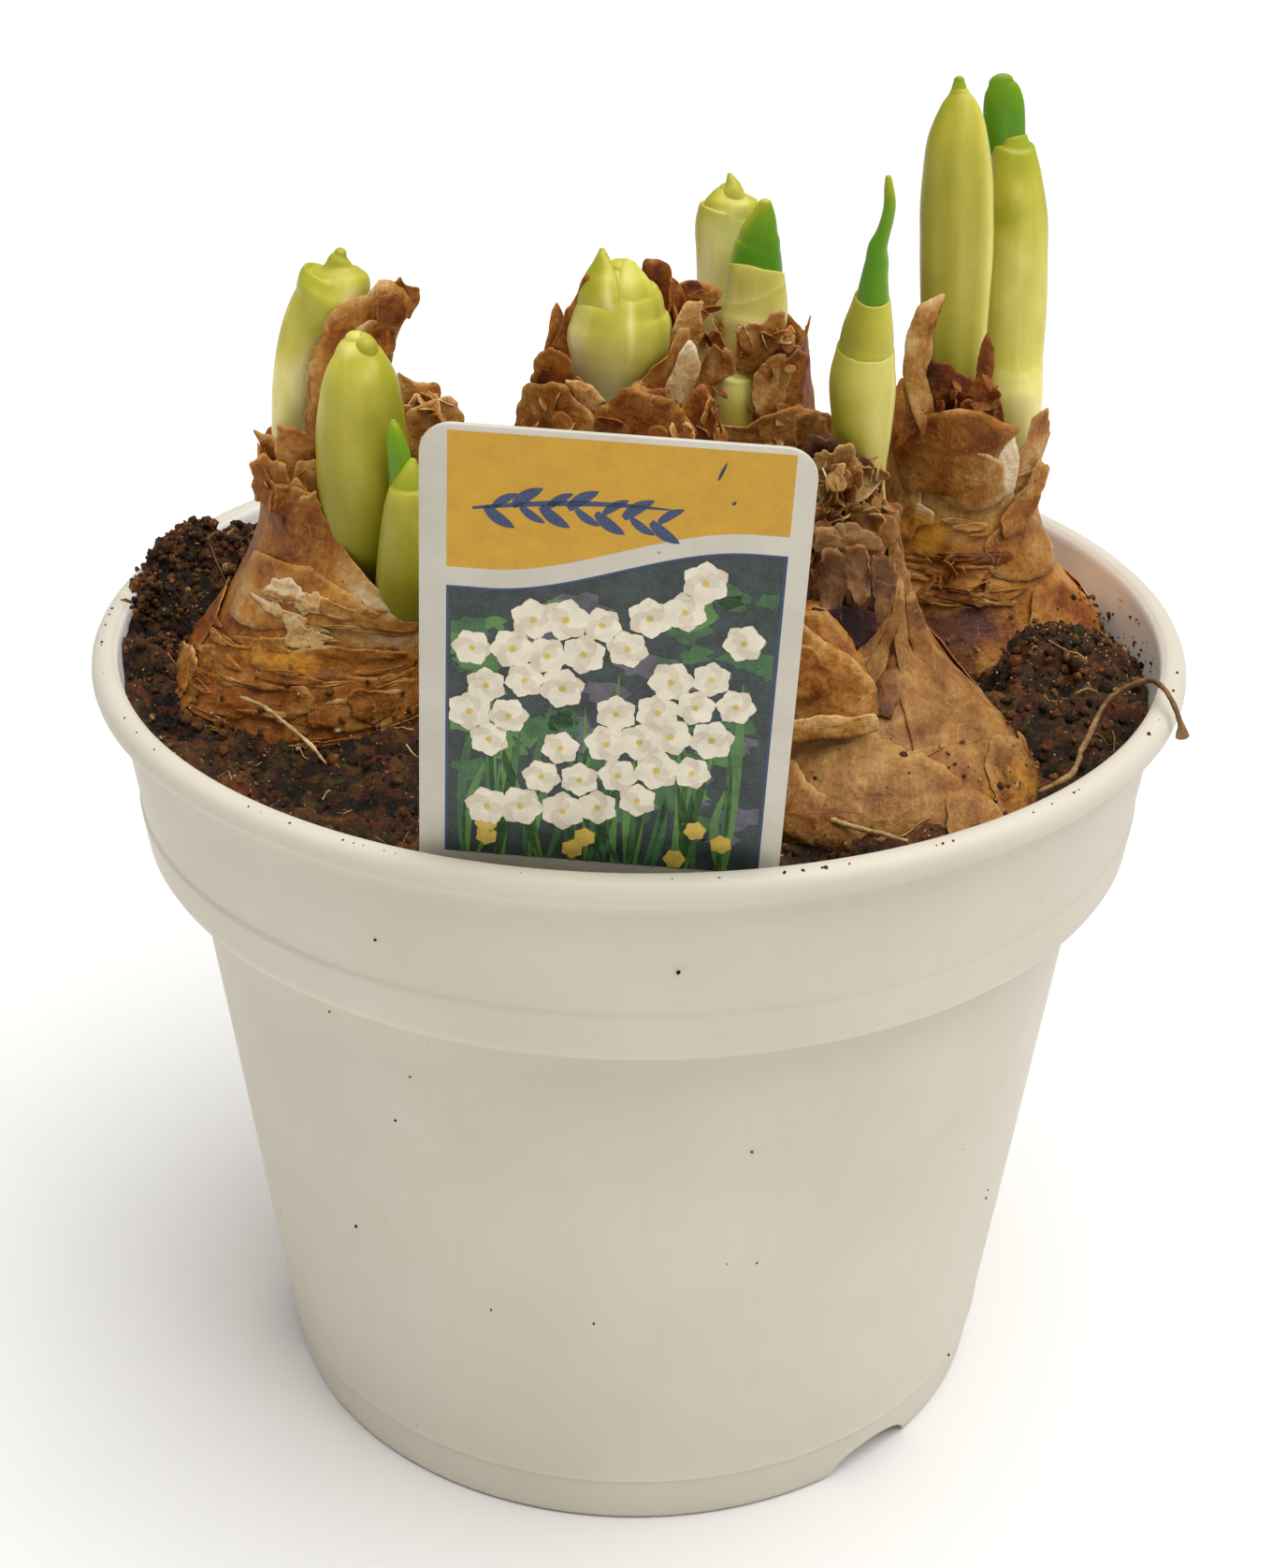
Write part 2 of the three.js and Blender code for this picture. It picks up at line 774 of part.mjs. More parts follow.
function makeSoil(cutters) {
  const edge = (z) => innerRadius(z) - GAP;
  const bottom = floorTop + GAP;
  const outline = [
    [0, bottom],
    [edge(floorTop) - 1.5, bottom],
    [edge(floorTop + 2), floorTop + 2],
    [bodyRadius(ledgeZ) - WALL - GAP, ledgeZ + GAP],
    [innerRadius(ledgeZ) - 1 - GAP, ledgeZ + GAP],
    [edge(ledgeZ + 1.5), ledgeZ + 1.5],
  ];
  for (let i = SOIL_RINGS; i >= 0; i -= 1) {
    outline.push([(edge(SOIL_LEVEL - SOIL_EDGE_DROP) * i) / SOIL_RINGS, SOIL_LEVEL]);
  }
  const geometry = turned(outline, SOIL_SEGMENTS);
  const position = geometry.getAttribute('position');
  for (let i = 0; i < position.count; i += 1) {
    const [x, y, z] = [position.getX(i), position.getY(i), position.getZ(i)];
    if (z < SOIL_LEVEL - 0.01) continue;
    position.setZ(i, soilHeight(x, y));
  }
  add('soil', without(geometry, cutters), 'soil');
}

makePot();
const tagSlot = makeTag();

const sideOffset = grown(SIDE_OFFSET);
const sideOffsetRoom = grown(SIDE_OFFSET, GAP);
const oldNose = grown(OLD_NOSE);
const oldNoseRoom = grown(OLD_NOSE, GAP);

const soilCutters = [tagSlot, sideOffsetRoom];
for (const [name, bulb] of Object.entries(BULBS)) {
  const shape = { sides: 16, rings: 10, blunt: 0.2, level: true, ...bulb };
  const shoots = SHOOTS[name];
  const rooms = shoots.map((shoot) => grown(shoot, GAP));
  const sideRooms = name === 'front_right' ? [sideOffsetRoom, oldNoseRoom] : [];
  add(`bulb_${name}`, without(grown(shape), [...rooms, ...sideRooms]), 'bulb');
  const bulbRoom = grown(shape, GAP);
  soilCutters.push(bulbRoom);
  const scaleRooms = [];
  if (SCALES[name]) {
    const scale = { sides: 12, rings: 6, ...SCALES[name] };
    add(scale.name, without(grown(scale), [bulbRoom, ...rooms]), 'tunic');
    scaleRooms.push(grown(scale, GAP));
  }
  makeTunic(name, [bulbRoom, ...rooms, ...sideRooms, ...scaleRooms]);
  shoots.forEach((shoot, i) => {
    add(shoot.name, without(grown(shoot), rooms.slice(i + 1)), shoot.finish);
  });
}
add('offset_front_right', without(sideOffset, [oldNoseRoom]), 'offset');
add('old_nose_front_right', oldNose, 'nose');
makeSoil(soilCutters);
for (const name of Object.keys(ROOTS)) makeRoot(name);

export default part;
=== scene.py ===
"""A pot of five forced narcissus bulbs: pot, soil, bulbs with papery skins, shoots, leaves, tag and roots.

Tables and mesh functions work in millimetres, +Z up, with the pot's foot at the origin and -Y at the
front. Piece.build turns them into metres. Angles in tables are degrees about +Z, so -90 is the front.
"""
import math
from itertools import combinations

import bpy
import numpy as np
from mathutils import Matrix, Vector
from mathutils.geometry import tessellate_polygon


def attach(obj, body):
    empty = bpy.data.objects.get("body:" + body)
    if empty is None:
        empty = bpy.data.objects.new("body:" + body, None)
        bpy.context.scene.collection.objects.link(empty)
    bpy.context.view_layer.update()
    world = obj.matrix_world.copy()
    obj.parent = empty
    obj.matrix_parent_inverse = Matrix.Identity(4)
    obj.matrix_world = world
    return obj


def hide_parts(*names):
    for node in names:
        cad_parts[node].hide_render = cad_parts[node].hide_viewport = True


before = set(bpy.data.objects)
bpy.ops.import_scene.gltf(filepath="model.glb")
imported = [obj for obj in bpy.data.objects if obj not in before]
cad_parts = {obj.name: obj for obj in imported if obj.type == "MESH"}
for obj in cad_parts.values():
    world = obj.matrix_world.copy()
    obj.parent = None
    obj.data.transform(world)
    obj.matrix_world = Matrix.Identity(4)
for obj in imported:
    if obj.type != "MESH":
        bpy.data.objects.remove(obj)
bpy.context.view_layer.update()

MM = 0.001
TURN = 2 * math.pi


# Smooth random fields

NOISE_SIDE = 64
NOISE_TABLE = np.random.default_rng(5).random((NOISE_SIDE,) * 3)


def noise(points, size, seed=0):
    """A smooth field from -1 to 1, with swells about size mm apart."""
    points = np.asarray(points, float)
    spot = points.reshape(-1, 3) / size + 17.13 * seed
    cell = np.floor(spot).astype(int)
    part = spot - cell
    part = part * part * (3 - 2 * part)
    total = np.zeros(len(spot))
    for corner in np.ndindex(2, 2, 2):
        index = tuple((cell[:, axis] + corner[axis]) % NOISE_SIDE for axis in range(3))
        weight = np.ones(len(spot))
        for axis in range(3):
            weight = weight * (part[:, axis] if corner[axis] else 1 - part[:, axis])
        total += weight * NOISE_TABLE[index]
    return (2 * total - 1).reshape(points.shape[:-1])


def fractal(points, size, seed=0, octaves=4):
    """Noise with finer and finer swells added."""
    total = 0
    for octave in range(octaves):
        total = total + 0.5**octave * noise(points, size / 2**octave, seed + octave)
    return total


def creases(points, size, seed=0, octaves=3):
    """Sharp folds, as in crumpled paper: 1 on a fold, and lower between folds."""
    total = 0
    for octave in range(octaves):
        fold = 1 - 2.2 * np.abs(noise(points, size / 2**octave, seed + 3 * octave))
        total = total + 0.55**octave * fold
    return total / 1.8


def smooth_step(value, low, high):
    """0 at low, 1 at high, and a smooth rise between them."""
    part = np.clip((value - low) / (high - low), 0, 1)
    return part * part * (3 - 2 * part)


def through(rows, count):
    """A smooth curve through the rows of a table, at evenly spaced steps along it."""
    rows = np.asarray(rows, float)
    padded = np.vstack([2 * rows[0] - rows[1], rows, 2 * rows[-1] - rows[-2]])
    place = np.linspace(0, len(rows) - 1 - 1e-9, count)
    first = place.astype(int)
    part = (place - first)[:, None]
    a, b, c, d = (padded[first + k] for k in range(4))
    return 0.5 * (
        2 * b + (c - a) * part + (2 * a - 5 * b + 4 * c - d) * part**2
        + (3 * b - a - 3 * c + d) * part**3
    )


def by_angle(table, angle):
    """A value read from (angle in degrees, value) rows all the way round."""
    rows = sorted((row[0] % 360, row[1]) for row in table)
    places = [row[0] for row in rows]
    values = [row[1] for row in rows]
    places = [places[-1] - 360, *places, places[0] + 360]
    values = [values[-1], *values, values[0]]
    return np.interp(np.degrees(angle) % 360, places, values)


# Meshes

class Piece:
    """One mesh object, gathered from closed bodies."""

    def __init__(self, name, material, slot, nodes=()):
        self.name = name
        self.material = material
        self.slot = slot
        self.nodes = nodes
        self.points = []
        self.faces = []
        self.values = {}
        self.count = 0

    def add(self, points, faces, **values):
        """Adds one closed body, turned so that its faces point out. Values are kept per point."""
        points = np.asarray(points, float).reshape(-1, 3)
        if volume(points, faces) < 0:
            faces = [face[::-1] for face in faces]
        self.faces += [tuple(int(i) + self.count for i in face) for face in faces]
        for key, value in values.items():
            wide = 3 if key == "flow" else 1
            value = np.broadcast_to(np.asarray(value, float).reshape(-1, wide), (len(points), wide))
            self.values.setdefault(key, []).append(value)
        self.points.append(points)
        self.count += len(points)

    def build(self, sharp=None):
        """Makes the object in metres. Edges sharper than the given angle in degrees aren't smoothed."""
        mesh = bpy.data.meshes.new(self.name)
        mesh.from_pydata((np.vstack(self.points) * MM).tolist(), [], self.faces)
        mesh.polygons.foreach_set("use_smooth", np.ones(len(mesh.polygons), bool))
        for key, parts in self.values.items():
            data = np.vstack(parts)
            kind = "FLOAT_VECTOR" if key == "flow" else "FLOAT"
            attribute = mesh.attributes.new(key, kind, "POINT")
            attribute.data.foreach_set("vector" if key == "flow" else "value", data.ravel())
        mesh.materials.append(self.material)
        mesh.update()
        if sharp is not None:
            mesh.set_sharp_from_angle(angle=math.radians(sharp))
        piece = bpy.data.objects.new(self.name, mesh)
        bpy.context.scene.collection.objects.link(piece)
        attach(piece, "root")
        if self.nodes:
            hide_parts(*self.nodes)
        return piece


def volume(points, faces):
    """Signed volume of a closed body: above zero where its faces point out."""
    corners = []
    for face in faces:
        for k in range(1, len(face) - 1):
            corners.append((face[0], face[k], face[k + 1]))
    a, b, c = (points[np.array(corners)[:, k]] for k in range(3))
    return float(np.einsum("ij,ij->i", a - points[0], np.cross(b - points[0], c - points[0])).sum())


def grid_faces(rows, columns, wrap=False):
    """Quads between neighbours in a grid of points that is stored row by row."""
    faces = []
    for row in range(rows - 1):
        for column in range(columns if wrap else columns - 1):
            after = (column + 1) % columns
            low = row * columns
            high = low + columns
            faces.append((low + column, low + after, high + after, high + column))
    return faces


def capped(grid):
    """Points and faces of a closed body from rings of points, with a pole at each end."""
    rows, columns = grid.shape[:2]
    points = np.vstack([grid.reshape(-1, 3), grid[0].mean(0), grid[-1].mean(0)])
    faces = grid_faces(rows, columns, wrap=True)
    low = rows * columns
    for column in range(columns):
        after = (column + 1) % columns
        faces.append((after, column, low))
        faces.append(((rows - 1) * columns + column, (rows - 1) * columns + after, low + 1))
    return points, faces


def with_poles(values, shape):
    """Values for the points of a capped body, from one value for each point of its rings."""
    values = np.broadcast_to(values, shape)
    return np.concatenate([values.ravel(), [values[0].mean(), values[-1].mean()]])


# Node materials

def linear(colour):
    """A display colour with 0 to 255 parts as the linear colour that shaders take."""
    parts = []
    for part in colour:
        share = part / 255
        parts.append(share / 12.92 if share <= 0.04045 else ((share + 0.055) / 1.055) ** 2.4)
    return (*parts, 1.0)


# Numbers of the colour sockets of a Mix node
MIX_A, MIX_B = 6, 7
MIX_COLOUR = 2
# The values that most of a noise field lies between
NOISE_LOW, NOISE_HIGH = 0.25, 0.75


class Shader:
    """Short ways to lay out one node material."""

    def __init__(self, name, roughness=0.5, specular=0.5, subsurface=0.0, glow=(1, 1, 1)):
        """glow is how far red, green and blue light spreads below the surface, in millimetres."""
        self.material = bpy.data.materials.new(name)
        self.material.use_nodes = True
        self.tree = self.material.node_tree
        self.base = self.tree.nodes["Principled BSDF"]
        self.base.inputs["Roughness"].default_value = roughness
        self.base.inputs["Specular IOR Level"].default_value = specular
        self.base.inputs["Subsurface Weight"].default_value = subsurface
        self.base.inputs["Subsurface Radius"].default_value = glow
        self.base.inputs["Subsurface Scale"].default_value = MM

    def put(self, kind, **settings):
        node = self.tree.nodes.new(kind)
        for key, value in settings.items():
            setattr(node, key, value)
        return node

    def feed(self, socket, value):
        if isinstance(value, bpy.types.NodeSocket):
            self.tree.links.new(value, socket)
        else:
            socket.default_value = value

    def stretched(self, vector, scale):
        mapping = self.put("ShaderNodeMapping")
        self.feed(mapping.inputs["Vector"], vector)
        self.feed(mapping.inputs["Scale"], scale)
        return mapping.outputs["Vector"]

    def place(self, scale=(1, 1, 1)):
        """Object coordinates in millimetres, stretched."""
        metres = self.put("ShaderNodeTexCoord").outputs["Object"]
        return self.stretched(metres, tuple(part / MM for part in scale))

    def value(self, name):
        return self.put("ShaderNodeAttribute", attribute_name=name).outputs["Fac"]

    def vector(self, name, scale):
        return self.stretched(self.put("ShaderNodeAttribute", attribute_name=name).outputs["Vector"], scale)

    def noise(self, vector, size, detail=4.0, roughness=0.55, distortion=0.0):
        node = self.put("ShaderNodeTexNoise")
        self.feed(node.inputs["Vector"], vector)
        self.feed(node.inputs["Scale"], 1 / size)
        self.feed(node.inputs["Detail"], detail)
        self.feed(node.inputs["Roughness"], roughness)
        self.feed(node.inputs["Distortion"], distortion)
        return node.outputs["Fac"]

    def cells(self, vector, size):
        """Distance to the nearest of many scattered spots, about size mm apart."""
        node = self.put("ShaderNodeTexVoronoi")
        self.feed(node.inputs["Vector"], vector)
        self.feed(node.inputs["Scale"], 1 / size)
        return node.outputs["Distance"]

    def math(self, operation, a, b=0.0, clamp=False):
        node = self.put("ShaderNodeMath", operation=operation, use_clamp=clamp)
        self.feed(node.inputs[0], a)
        self.feed(node.inputs[1], b)
        return node.outputs[0]

    def add(self, a, b, clamp=False):
        return self.math("ADD", a, b, clamp)

    def times(self, a, b):
        return self.math("MULTIPLY", a, b)

    def blend(self, first, *others):
        """The sum of (field, weight) pairs."""
        total = self.times(*first)
        for pair in others:
            total = self.add(total, self.times(*pair))
        return total

    def fold(self, field):
        """Sharp valleys along the middle values of a noise field."""
        return self.math("ABSOLUTE", self.math("SUBTRACT", field, 0.5))

    def span(self, value, low, high, to_low=0.0, to_high=1.0):
        """A value held between low and high, and drawn out to run from to_low to to_high."""
        node = self.put("ShaderNodeMapRange")
        for socket, number in zip(node.inputs, (value, low, high, to_low, to_high)):
            self.feed(socket, number)
        return node.outputs["Result"]

    def swing(self, value, field, amount, clamp=False):
        """A value moved up and down by a noise field, by the amount from end to end."""
        shift = self.span(field, NOISE_LOW, NOISE_HIGH, -amount / 2, amount / 2)
        return self.add(value, shift, clamp)

    def ramp(self, value, stops):
        node = self.put("ShaderNodeValToRGB")
        ramp = node.color_ramp
        ramp.elements[0].position = stops[0][0]
        ramp.elements[0].color = linear(stops[0][1])
        ramp.elements[1].position = stops[-1][0]
        ramp.elements[1].color = linear(stops[-1][1])
        for place, colour in stops[1:-1]:
            ramp.elements.new(place).color = linear(colour)
        self.feed(node.inputs["Fac"], value)
        return node.outputs["Color"]

    def mix(self, share, a, b):
        """A colour between a and b. Each is a socket or a display colour."""
        node = self.put("ShaderNodeMix", data_type="RGBA")
        self.feed(node.inputs[0], share)
        for index, colour in ((MIX_A, a), (MIX_B, b)):
            if not isinstance(colour, bpy.types.NodeSocket):
                colour = linear(colour)
            self.feed(node.inputs[index], colour)
        return node.outputs[MIX_COLOUR]

    def over(self, under, colour, field, low, high, first=0.0, last=1.0):
        """A colour laid over another, more and more as the field goes from low to high."""
        return self.mix(self.span(field, low, high, first, last), under, colour)

    def colour(self, value):
        self.feed(self.base.inputs["Base Color"], value)

    def rough(self, field, low, high, smoothest, roughest):
        self.feed(self.base.inputs["Roughness"], self.span(field, low, high, smoothest, roughest))

    def bump(self, height, strength, distance):
        """Relief of the given height in millimetres."""
        node = self.put("ShaderNodeBump")
        self.feed(node.inputs["Height"], height)
        self.feed(node.inputs["Strength"], strength)
        self.feed(node.inputs["Distance"], distance * MM)
        self.feed(self.base.inputs["Normal"], node.outputs["Normal"])


PLASTIC_SHADE = (208, 200, 183)
PLASTIC_LIGHT = (214, 207, 191)
PLASTIC_RUB = (196, 184, 160)
PLASTIC_STAIN = (190, 176, 146)
PLASTIC_DUST = (92, 82, 72)
# Painted light: a near-white colour laid over the shaded inner wall, faded in between the two heights on
# the next line
PLASTIC_INSIDE_PAINTED_LIGHT = (255, 253, 249)
INSIDE_LIGHT_FADE = (108, 114)


def inner_wall_painted_light(shader, place):
    """Share of the painted light that lifts the shade on the pot's inner wall: 1 on the wall above the
    soil, and 0 elsewhere.
    """
    parts = shader.put("ShaderNodeSeparateXYZ")
    shader.feed(parts.inputs[0], place)
    x, y, z = parts.outputs
    radius = shader.math("SQRT", shader.add(shader.times(x, x), shader.times(y, y)))
    outside = shader.span(z, COLLAR_Z, LIP_Z, COLLAR_RADIUS, LIP_NECK_RADIUS)
    inside = shader.span(shader.math("SUBTRACT", radius, outside), 0.4 - WALL, 0.9 - WALL, 1, 0)
    return shader.times(inside, shader.span(z, *INSIDE_LIGHT_FADE))


def pot_material():
    """Off-white moulded plastic: faint cloudiness, rub marks and dust, a fine orange-peel grain, and
    painted light that turns the shaded inner wall above the soil near white.
    """
    shader = Shader("pot_plastic", roughness=0.48, specular=0.35, subsurface=0.04, glow=(2.0, 1.8, 1.5))
    place = shader.place()
    cloud = shader.noise(place, 38, detail=3)
    rubs = shader.noise(shader.place((1, 1, 0.15)), 5, detail=5, roughness=0.7)
    stains = shader.noise(place, 11, detail=6, roughness=0.7, distortion=0.6)
    colour = shader.over(PLASTIC_SHADE, PLASTIC_LIGHT, cloud, 0.35, 0.65)
    colour = shader.over(colour, PLASTIC_RUB, rubs, 0.56, 0.75, last=0.16)
    colour = shader.over(colour, PLASTIC_STAIN, stains, 0.62, 0.8, last=0.25)
    colour = shader.over(colour, PLASTIC_DUST, shader.cells(place, 13), 0.008, 0.02, 0.7, 0)
    # Painted light: the inner wall above the soil is turned near white to lift its shade
    shader.colour(shader.mix(inner_wall_painted_light(shader, place), colour, PLASTIC_INSIDE_PAINTED_LIGHT))
    shader.rough(stains, 0.3, 0.7, 0.42, 0.54)
    grain = shader.noise(place, 0.7, detail=2)
    waver = shader.noise(place, 9, detail=2)
    shader.bump(shader.blend((grain, 0.25), (waver, 1)), 0.3, 0.1)
    return shader.material


SKIN_RUST = (146, 66, 18)
SKIN_STRAW = (202, 142, 52)
SKIN_AMBER = (214, 148, 44)
SKIN_PLUM = (74, 34, 24)
SKIN_THREAD = (222, 180, 120)
SKIN_FLECK = (48, 26, 13)


def skin_material(name, colours, ruddy=0.4):
    """Dry papery skin: soft blotches, fine fibres, crumpled folds, a few pale threads and dark flecks.

    The points carry its tone, the amber and plum patches, and the direction of its fibres as flow.
    """
    shader = Shader(name, roughness=0.5, specular=0.26, subsurface=0.12, glow=(1.0, 0.45, 0.15))
    place = shader.place()
    fibres = shader.noise(shader.vector("flow", (1, 1, 0.08)), 0.6, detail=3, roughness=0.5)
    blotches = shader.noise(place, 6.5, detail=6, roughness=0.62, distortion=0.3)
    grain = shader.noise(place, 0.9, detail=5, roughness=0.7)
    tone = shader.value("tone")
    for field, amount in ((fibres, 0.1), (blotches, 0.46), (grain, 0.2)):
        tone = shader.swing(tone, field, amount)
    colour = shader.ramp(tone, colours)
    rust = shader.noise(place, 8, detail=4)
    colour = shader.over(colour, SKIN_RUST, rust, 0.5, 0.7, last=ruddy)
    straw = shader.noise(shader.place((1.1, 0.9, 1)), 9.5, detail=4)
    colour = shader.over(colour, SKIN_STRAW, straw, 0.55, 0.72, last=ruddy)
    ragged = shader.span(shader.noise(place, 3.2, detail=5, roughness=0.7), 0.3, 0.7, -0.3, 0.3)
    amber = shader.add(shader.value("amber"), ragged)
    colour = shader.over(colour, SKIN_AMBER, amber, 0.3, 0.75, last=0.9)
    plum = shader.add(shader.value("plum"), ragged)
    colour = shader.over(colour, SKIN_PLUM, plum, 0.3, 0.8, last=0.85)
    mask = shader.noise(place, 4.3, detail=2)
    threads = shader.fold(shader.noise(place, 8.5, detail=3, roughness=0.4))
    share = shader.times(shader.span(threads, 0.0015, 0.006, 0.3, 0), shader.span(mask, 0.5, 0.56))
    colour = shader.mix(share, colour, SKIN_THREAD)
    flecks = shader.cells(place, 1.7)
    share = shader.times(shader.span(flecks, 0.07, 0.16, 0.75, 0), shader.span(mask, 0.5, 0.42))
    shader.colour(shader.mix(share, colour, SKIN_FLECK))
    shader.rough(blotches, 0.3, 0.7, 0.4, 0.64)
    crumple = shader.fold(shader.noise(place, 2.8, detail=4, roughness=0.6))
    shader.bump(shader.blend((fibres, 0.1), (grain, 0.5), (blotches, 0.7), (crumple, -2.2)), 0.75, 0.42)
    return shader.material


SKIN_COLOURS = (
    (0.0, (24, 10, 4)),
    (0.18, (72, 31, 7)),
    (0.36, (126, 65, 14)),
    (0.52, (160, 101, 33)),
    (0.66, (187, 135, 67)),
    (0.8, (208, 168, 110)),
    (1.0, (236, 214, 176)),
)
TAN_COLOURS = (
    (0.0, (26, 13, 7)),
    (0.2, (70, 40, 18)),
    (0.38, (122, 76, 28)),
    (0.54, (154, 106, 50)),
    (0.7, (182, 139, 77)),
    (0.85, (204, 170, 106)),
    (1.0, (228, 208, 168)),
)
WITHERED_COLOURS = (
    (0.0, (34, 12, 8)),
    (0.22, (58, 24, 18)),
    (0.4, (100, 62, 36)),
    (0.58, (136, 94, 56)),
    (0.76, (164, 126, 80)),
    (1.0, (206, 178, 130)),
)


WAX_OLIVE = (140, 122, 26)
WAX_SCAR = (170, 140, 60)


def plant_material():
    """Waxy sheaths and leaves: cream through yellow-green to leaf green, and olive where they are thick."""
    shader = Shader("plant_wax", roughness=0.38, specular=0.34, subsurface=0.2, glow=(1.6, 1.7, 0.4))
    stripes = shader.noise(shader.vector("flow", (1, 1, 0.04)), 0.7, detail=3, roughness=0.5)
    clouds = shader.noise(shader.place((1, 1, 0.5)), 4, detail=4)
    green = shader.swing(shader.value("green"), stripes, 0.05)
    colour = shader.ramp(shader.swing(green, clouds, 0.1), PLANT_COLOURS)
    olive = shader.swing(shader.value("olive"), clouds, 0.14, clamp=True)
    colour = shader.mix(olive, colour, WAX_OLIVE)
    scars = shader.noise(shader.place(), 1.6, detail=5, roughness=0.7)
    shader.colour(shader.over(colour, WAX_SCAR, scars, 0.68, 0.82, last=0.25))
    shader.rough(clouds, 0.3, 0.7, 0.3, 0.44)
    shader.bump(shader.blend((stripes, 1), (clouds, 0.6)), 0.3, 0.08)
    return shader.material


PLANT_COLOURS = (
    (0.0, (252, 244, 172)),
    (0.2, (230, 220, 122)),
    (0.4, (206, 198, 76)),
    (0.55, (184, 180, 54)),
    (0.7, (162, 170, 34)),
    (0.85, (118, 158, 18)),
    (1.0, (86, 142, 8)),
)


SOIL_MOSS = (88, 70, 14)
SOIL_RUST = (118, 54, 18)
SOIL_GRAIN = (200, 172, 140)


def soil_material():
    """Peat: brown, reddish and moss-green crumbs, damp glints, bright grains, and painted shade that turns
    the hollows near black.
    """
    shader = Shader("peat", roughness=0.7, specular=0.32)
    place = shader.place()
    broad = shader.noise(place, 5, detail=5, roughness=0.7)
    fine = shader.noise(place, 0.7, detail=4, roughness=0.75)
    tone = shader.swing(shader.value("tone"), fine, 0.68)
    tone = shader.add(tone, shader.span(broad, 0.3, 0.7, -0.16, 0.16))
    moss = shader.noise(place, 2.6, detail=4, roughness=0.7)
    colour = shader.over(shader.ramp(tone, SOIL_COLOURS), SOIL_MOSS, moss, 0.52, 0.62, last=0.6)
    rust = shader.noise(shader.place((0.9, 1.1, 1)), 3.1, detail=3, roughness=0.7)
    colour = shader.over(colour, SOIL_RUST, rust, 0.52, 0.64, last=0.6)
    shader.colour(shader.over(colour, SOIL_GRAIN, shader.cells(place, 1.3), 0.06, 0.12, 0.8, 0))
    shader.rough(fine, 0.3, 0.65, 0.28, 0.95)
    shader.bump(fine, 1.0, 0.8)
    return shader.material


SOIL_COLOURS = (
    (0.0, (8, 5, 2)),
    (0.3, (32, 16, 4)),
    (0.5, (68, 38, 10)),
    (0.7, (108, 64, 20)),
    (0.9, (150, 98, 42)),
    (1.0, (216, 184, 140)),
)


def root_material():
    """Dry roots and fibres: tan, with darker joints."""
    shader = Shader("dry_root", roughness=0.65, specular=0.35)
    place = shader.place()
    joints = shader.noise(place, 2.2, detail=4, roughness=0.7)
    shader.colour(shader.ramp(shader.swing(shader.value("tone"), joints, 0.44), ROOT_COLOURS))
    shader.rough(joints, 0.3, 0.7, 0.5, 0.8)
    shader.bump(shader.noise(place, 0.5, detail=3), 0.6, 0.25)
    return shader.material


ROOT_COLOURS = (
    (0.0, (46, 32, 22)),
    (0.35, (112, 82, 46)),
    (0.65, (176, 142, 88)),
    (1.0, (230, 204, 156)),
)


CARD_WHITE = (208, 202, 188)
CARD_SHADE = (196, 189, 172)
CARD_SPECK = (120, 96, 70)


def card_material():
    """Bare white plastic card of the tag, with a few specks of dirt."""
    shader = Shader("tag_card", roughness=0.4, specular=0.45)
    place = shader.place()
    cloud = shader.noise(place, 12, detail=5, roughness=0.65)
    colour = shader.over(CARD_WHITE, CARD_SHADE, cloud, 0.4, 0.7)
    shader.colour(shader.over(colour, CARD_SPECK, shader.cells(place, 6), 0.02, 0.05, 0.6, 0))
    shader.rough(cloud, 0.3, 0.7, 0.34, 0.46)
    shader.bump(cloud, 0.25, 0.1)
    return shader.material


# Printed colours of the tag, and how uneven each is
INKS = {
    "yellow": ((202, 153, 26), 0.05),
    "blue": ((50, 66, 104), 0.12),
    "ground": ((46, 58, 56), 0.4),
    "foliage": ((58, 98, 56), 0.3),
    "haze": ((92, 88, 98), 0.3),
    "leaf": ((84, 126, 60), 0.2),
    "petal": ((232, 222, 200), 0.08),
    "petal_shade": ((216, 204, 180), 0.08),
    "cup": ((214, 182, 80), 0.15),
}
INK_SCREEN_SIZE = 0.28


def ink_material(name):
    """One printed colour, a little uneven, with a fine printing screen."""
    colour, spread = INKS[name]
    shader = Shader("ink_" + name, roughness=0.38, specular=0.45)
    place = shader.place()
    cloud = shader.noise(place, 3.5, detail=5, roughness=0.7)
    dark = tuple(part * (1 - spread) for part in colour)
    light = tuple(min(255, part * (1 + spread * 0.6)) for part in colour)
    mixed = shader.over(dark, light, cloud, 0.3, 0.7)
    screen = shader.cells(place, INK_SCREEN_SIZE)
    shader.colour(shader.over(mixed, (255, 255, 255), screen, 0.1, 0.5, 0.035, 0))
    shader.bump(cloud, 0.15, 0.05)
    return shader.material


# Camera, light and floor

CAMERA_PLACE = (0, -0.3537, 0.28732)
CAMERA_FORWARD = (0, 0.8857, -0.4643)
CAMERA_ROLL = 0.01105
CAMERA_LENS = 56.07
CAMERA_SENSOR = 36
CAMERA_CLIP = 0.01
CAMERA_SHIFT = (-0.00128, -0.00024)


def add_camera():
    """The photograph's camera, fitted to the rings of the pot."""
    data = bpy.data.cameras.new("camera")
    data.lens = CAMERA_LENS
    data.sensor_width = CAMERA_SENSOR
    data.shift_x, data.shift_y = CAMERA_SHIFT
    data.clip_start = CAMERA_CLIP
    camera = bpy.data.objects.new("camera", data)
    forward = Vector(CAMERA_FORWARD).normalized()
    level = Vector((1, 0, 0))
    upright = level.cross(forward)
    right = math.cos(CAMERA_ROLL) * level + math.sin(CAMERA_ROLL) * upright
    up = math.cos(CAMERA_ROLL) * upright - math.sin(CAMERA_ROLL) * level
    camera.matrix_world = Matrix((right, up, -forward)).transposed().to_4x4()
    camera.location = CAMERA_PLACE
    bpy.context.scene.collection.objects.link(camera)
    bpy.context.scene.camera = camera


SUN_LEAN = (3, 12)
SUN_STRENGTH = 3.0
SUN_WIDTH = 65
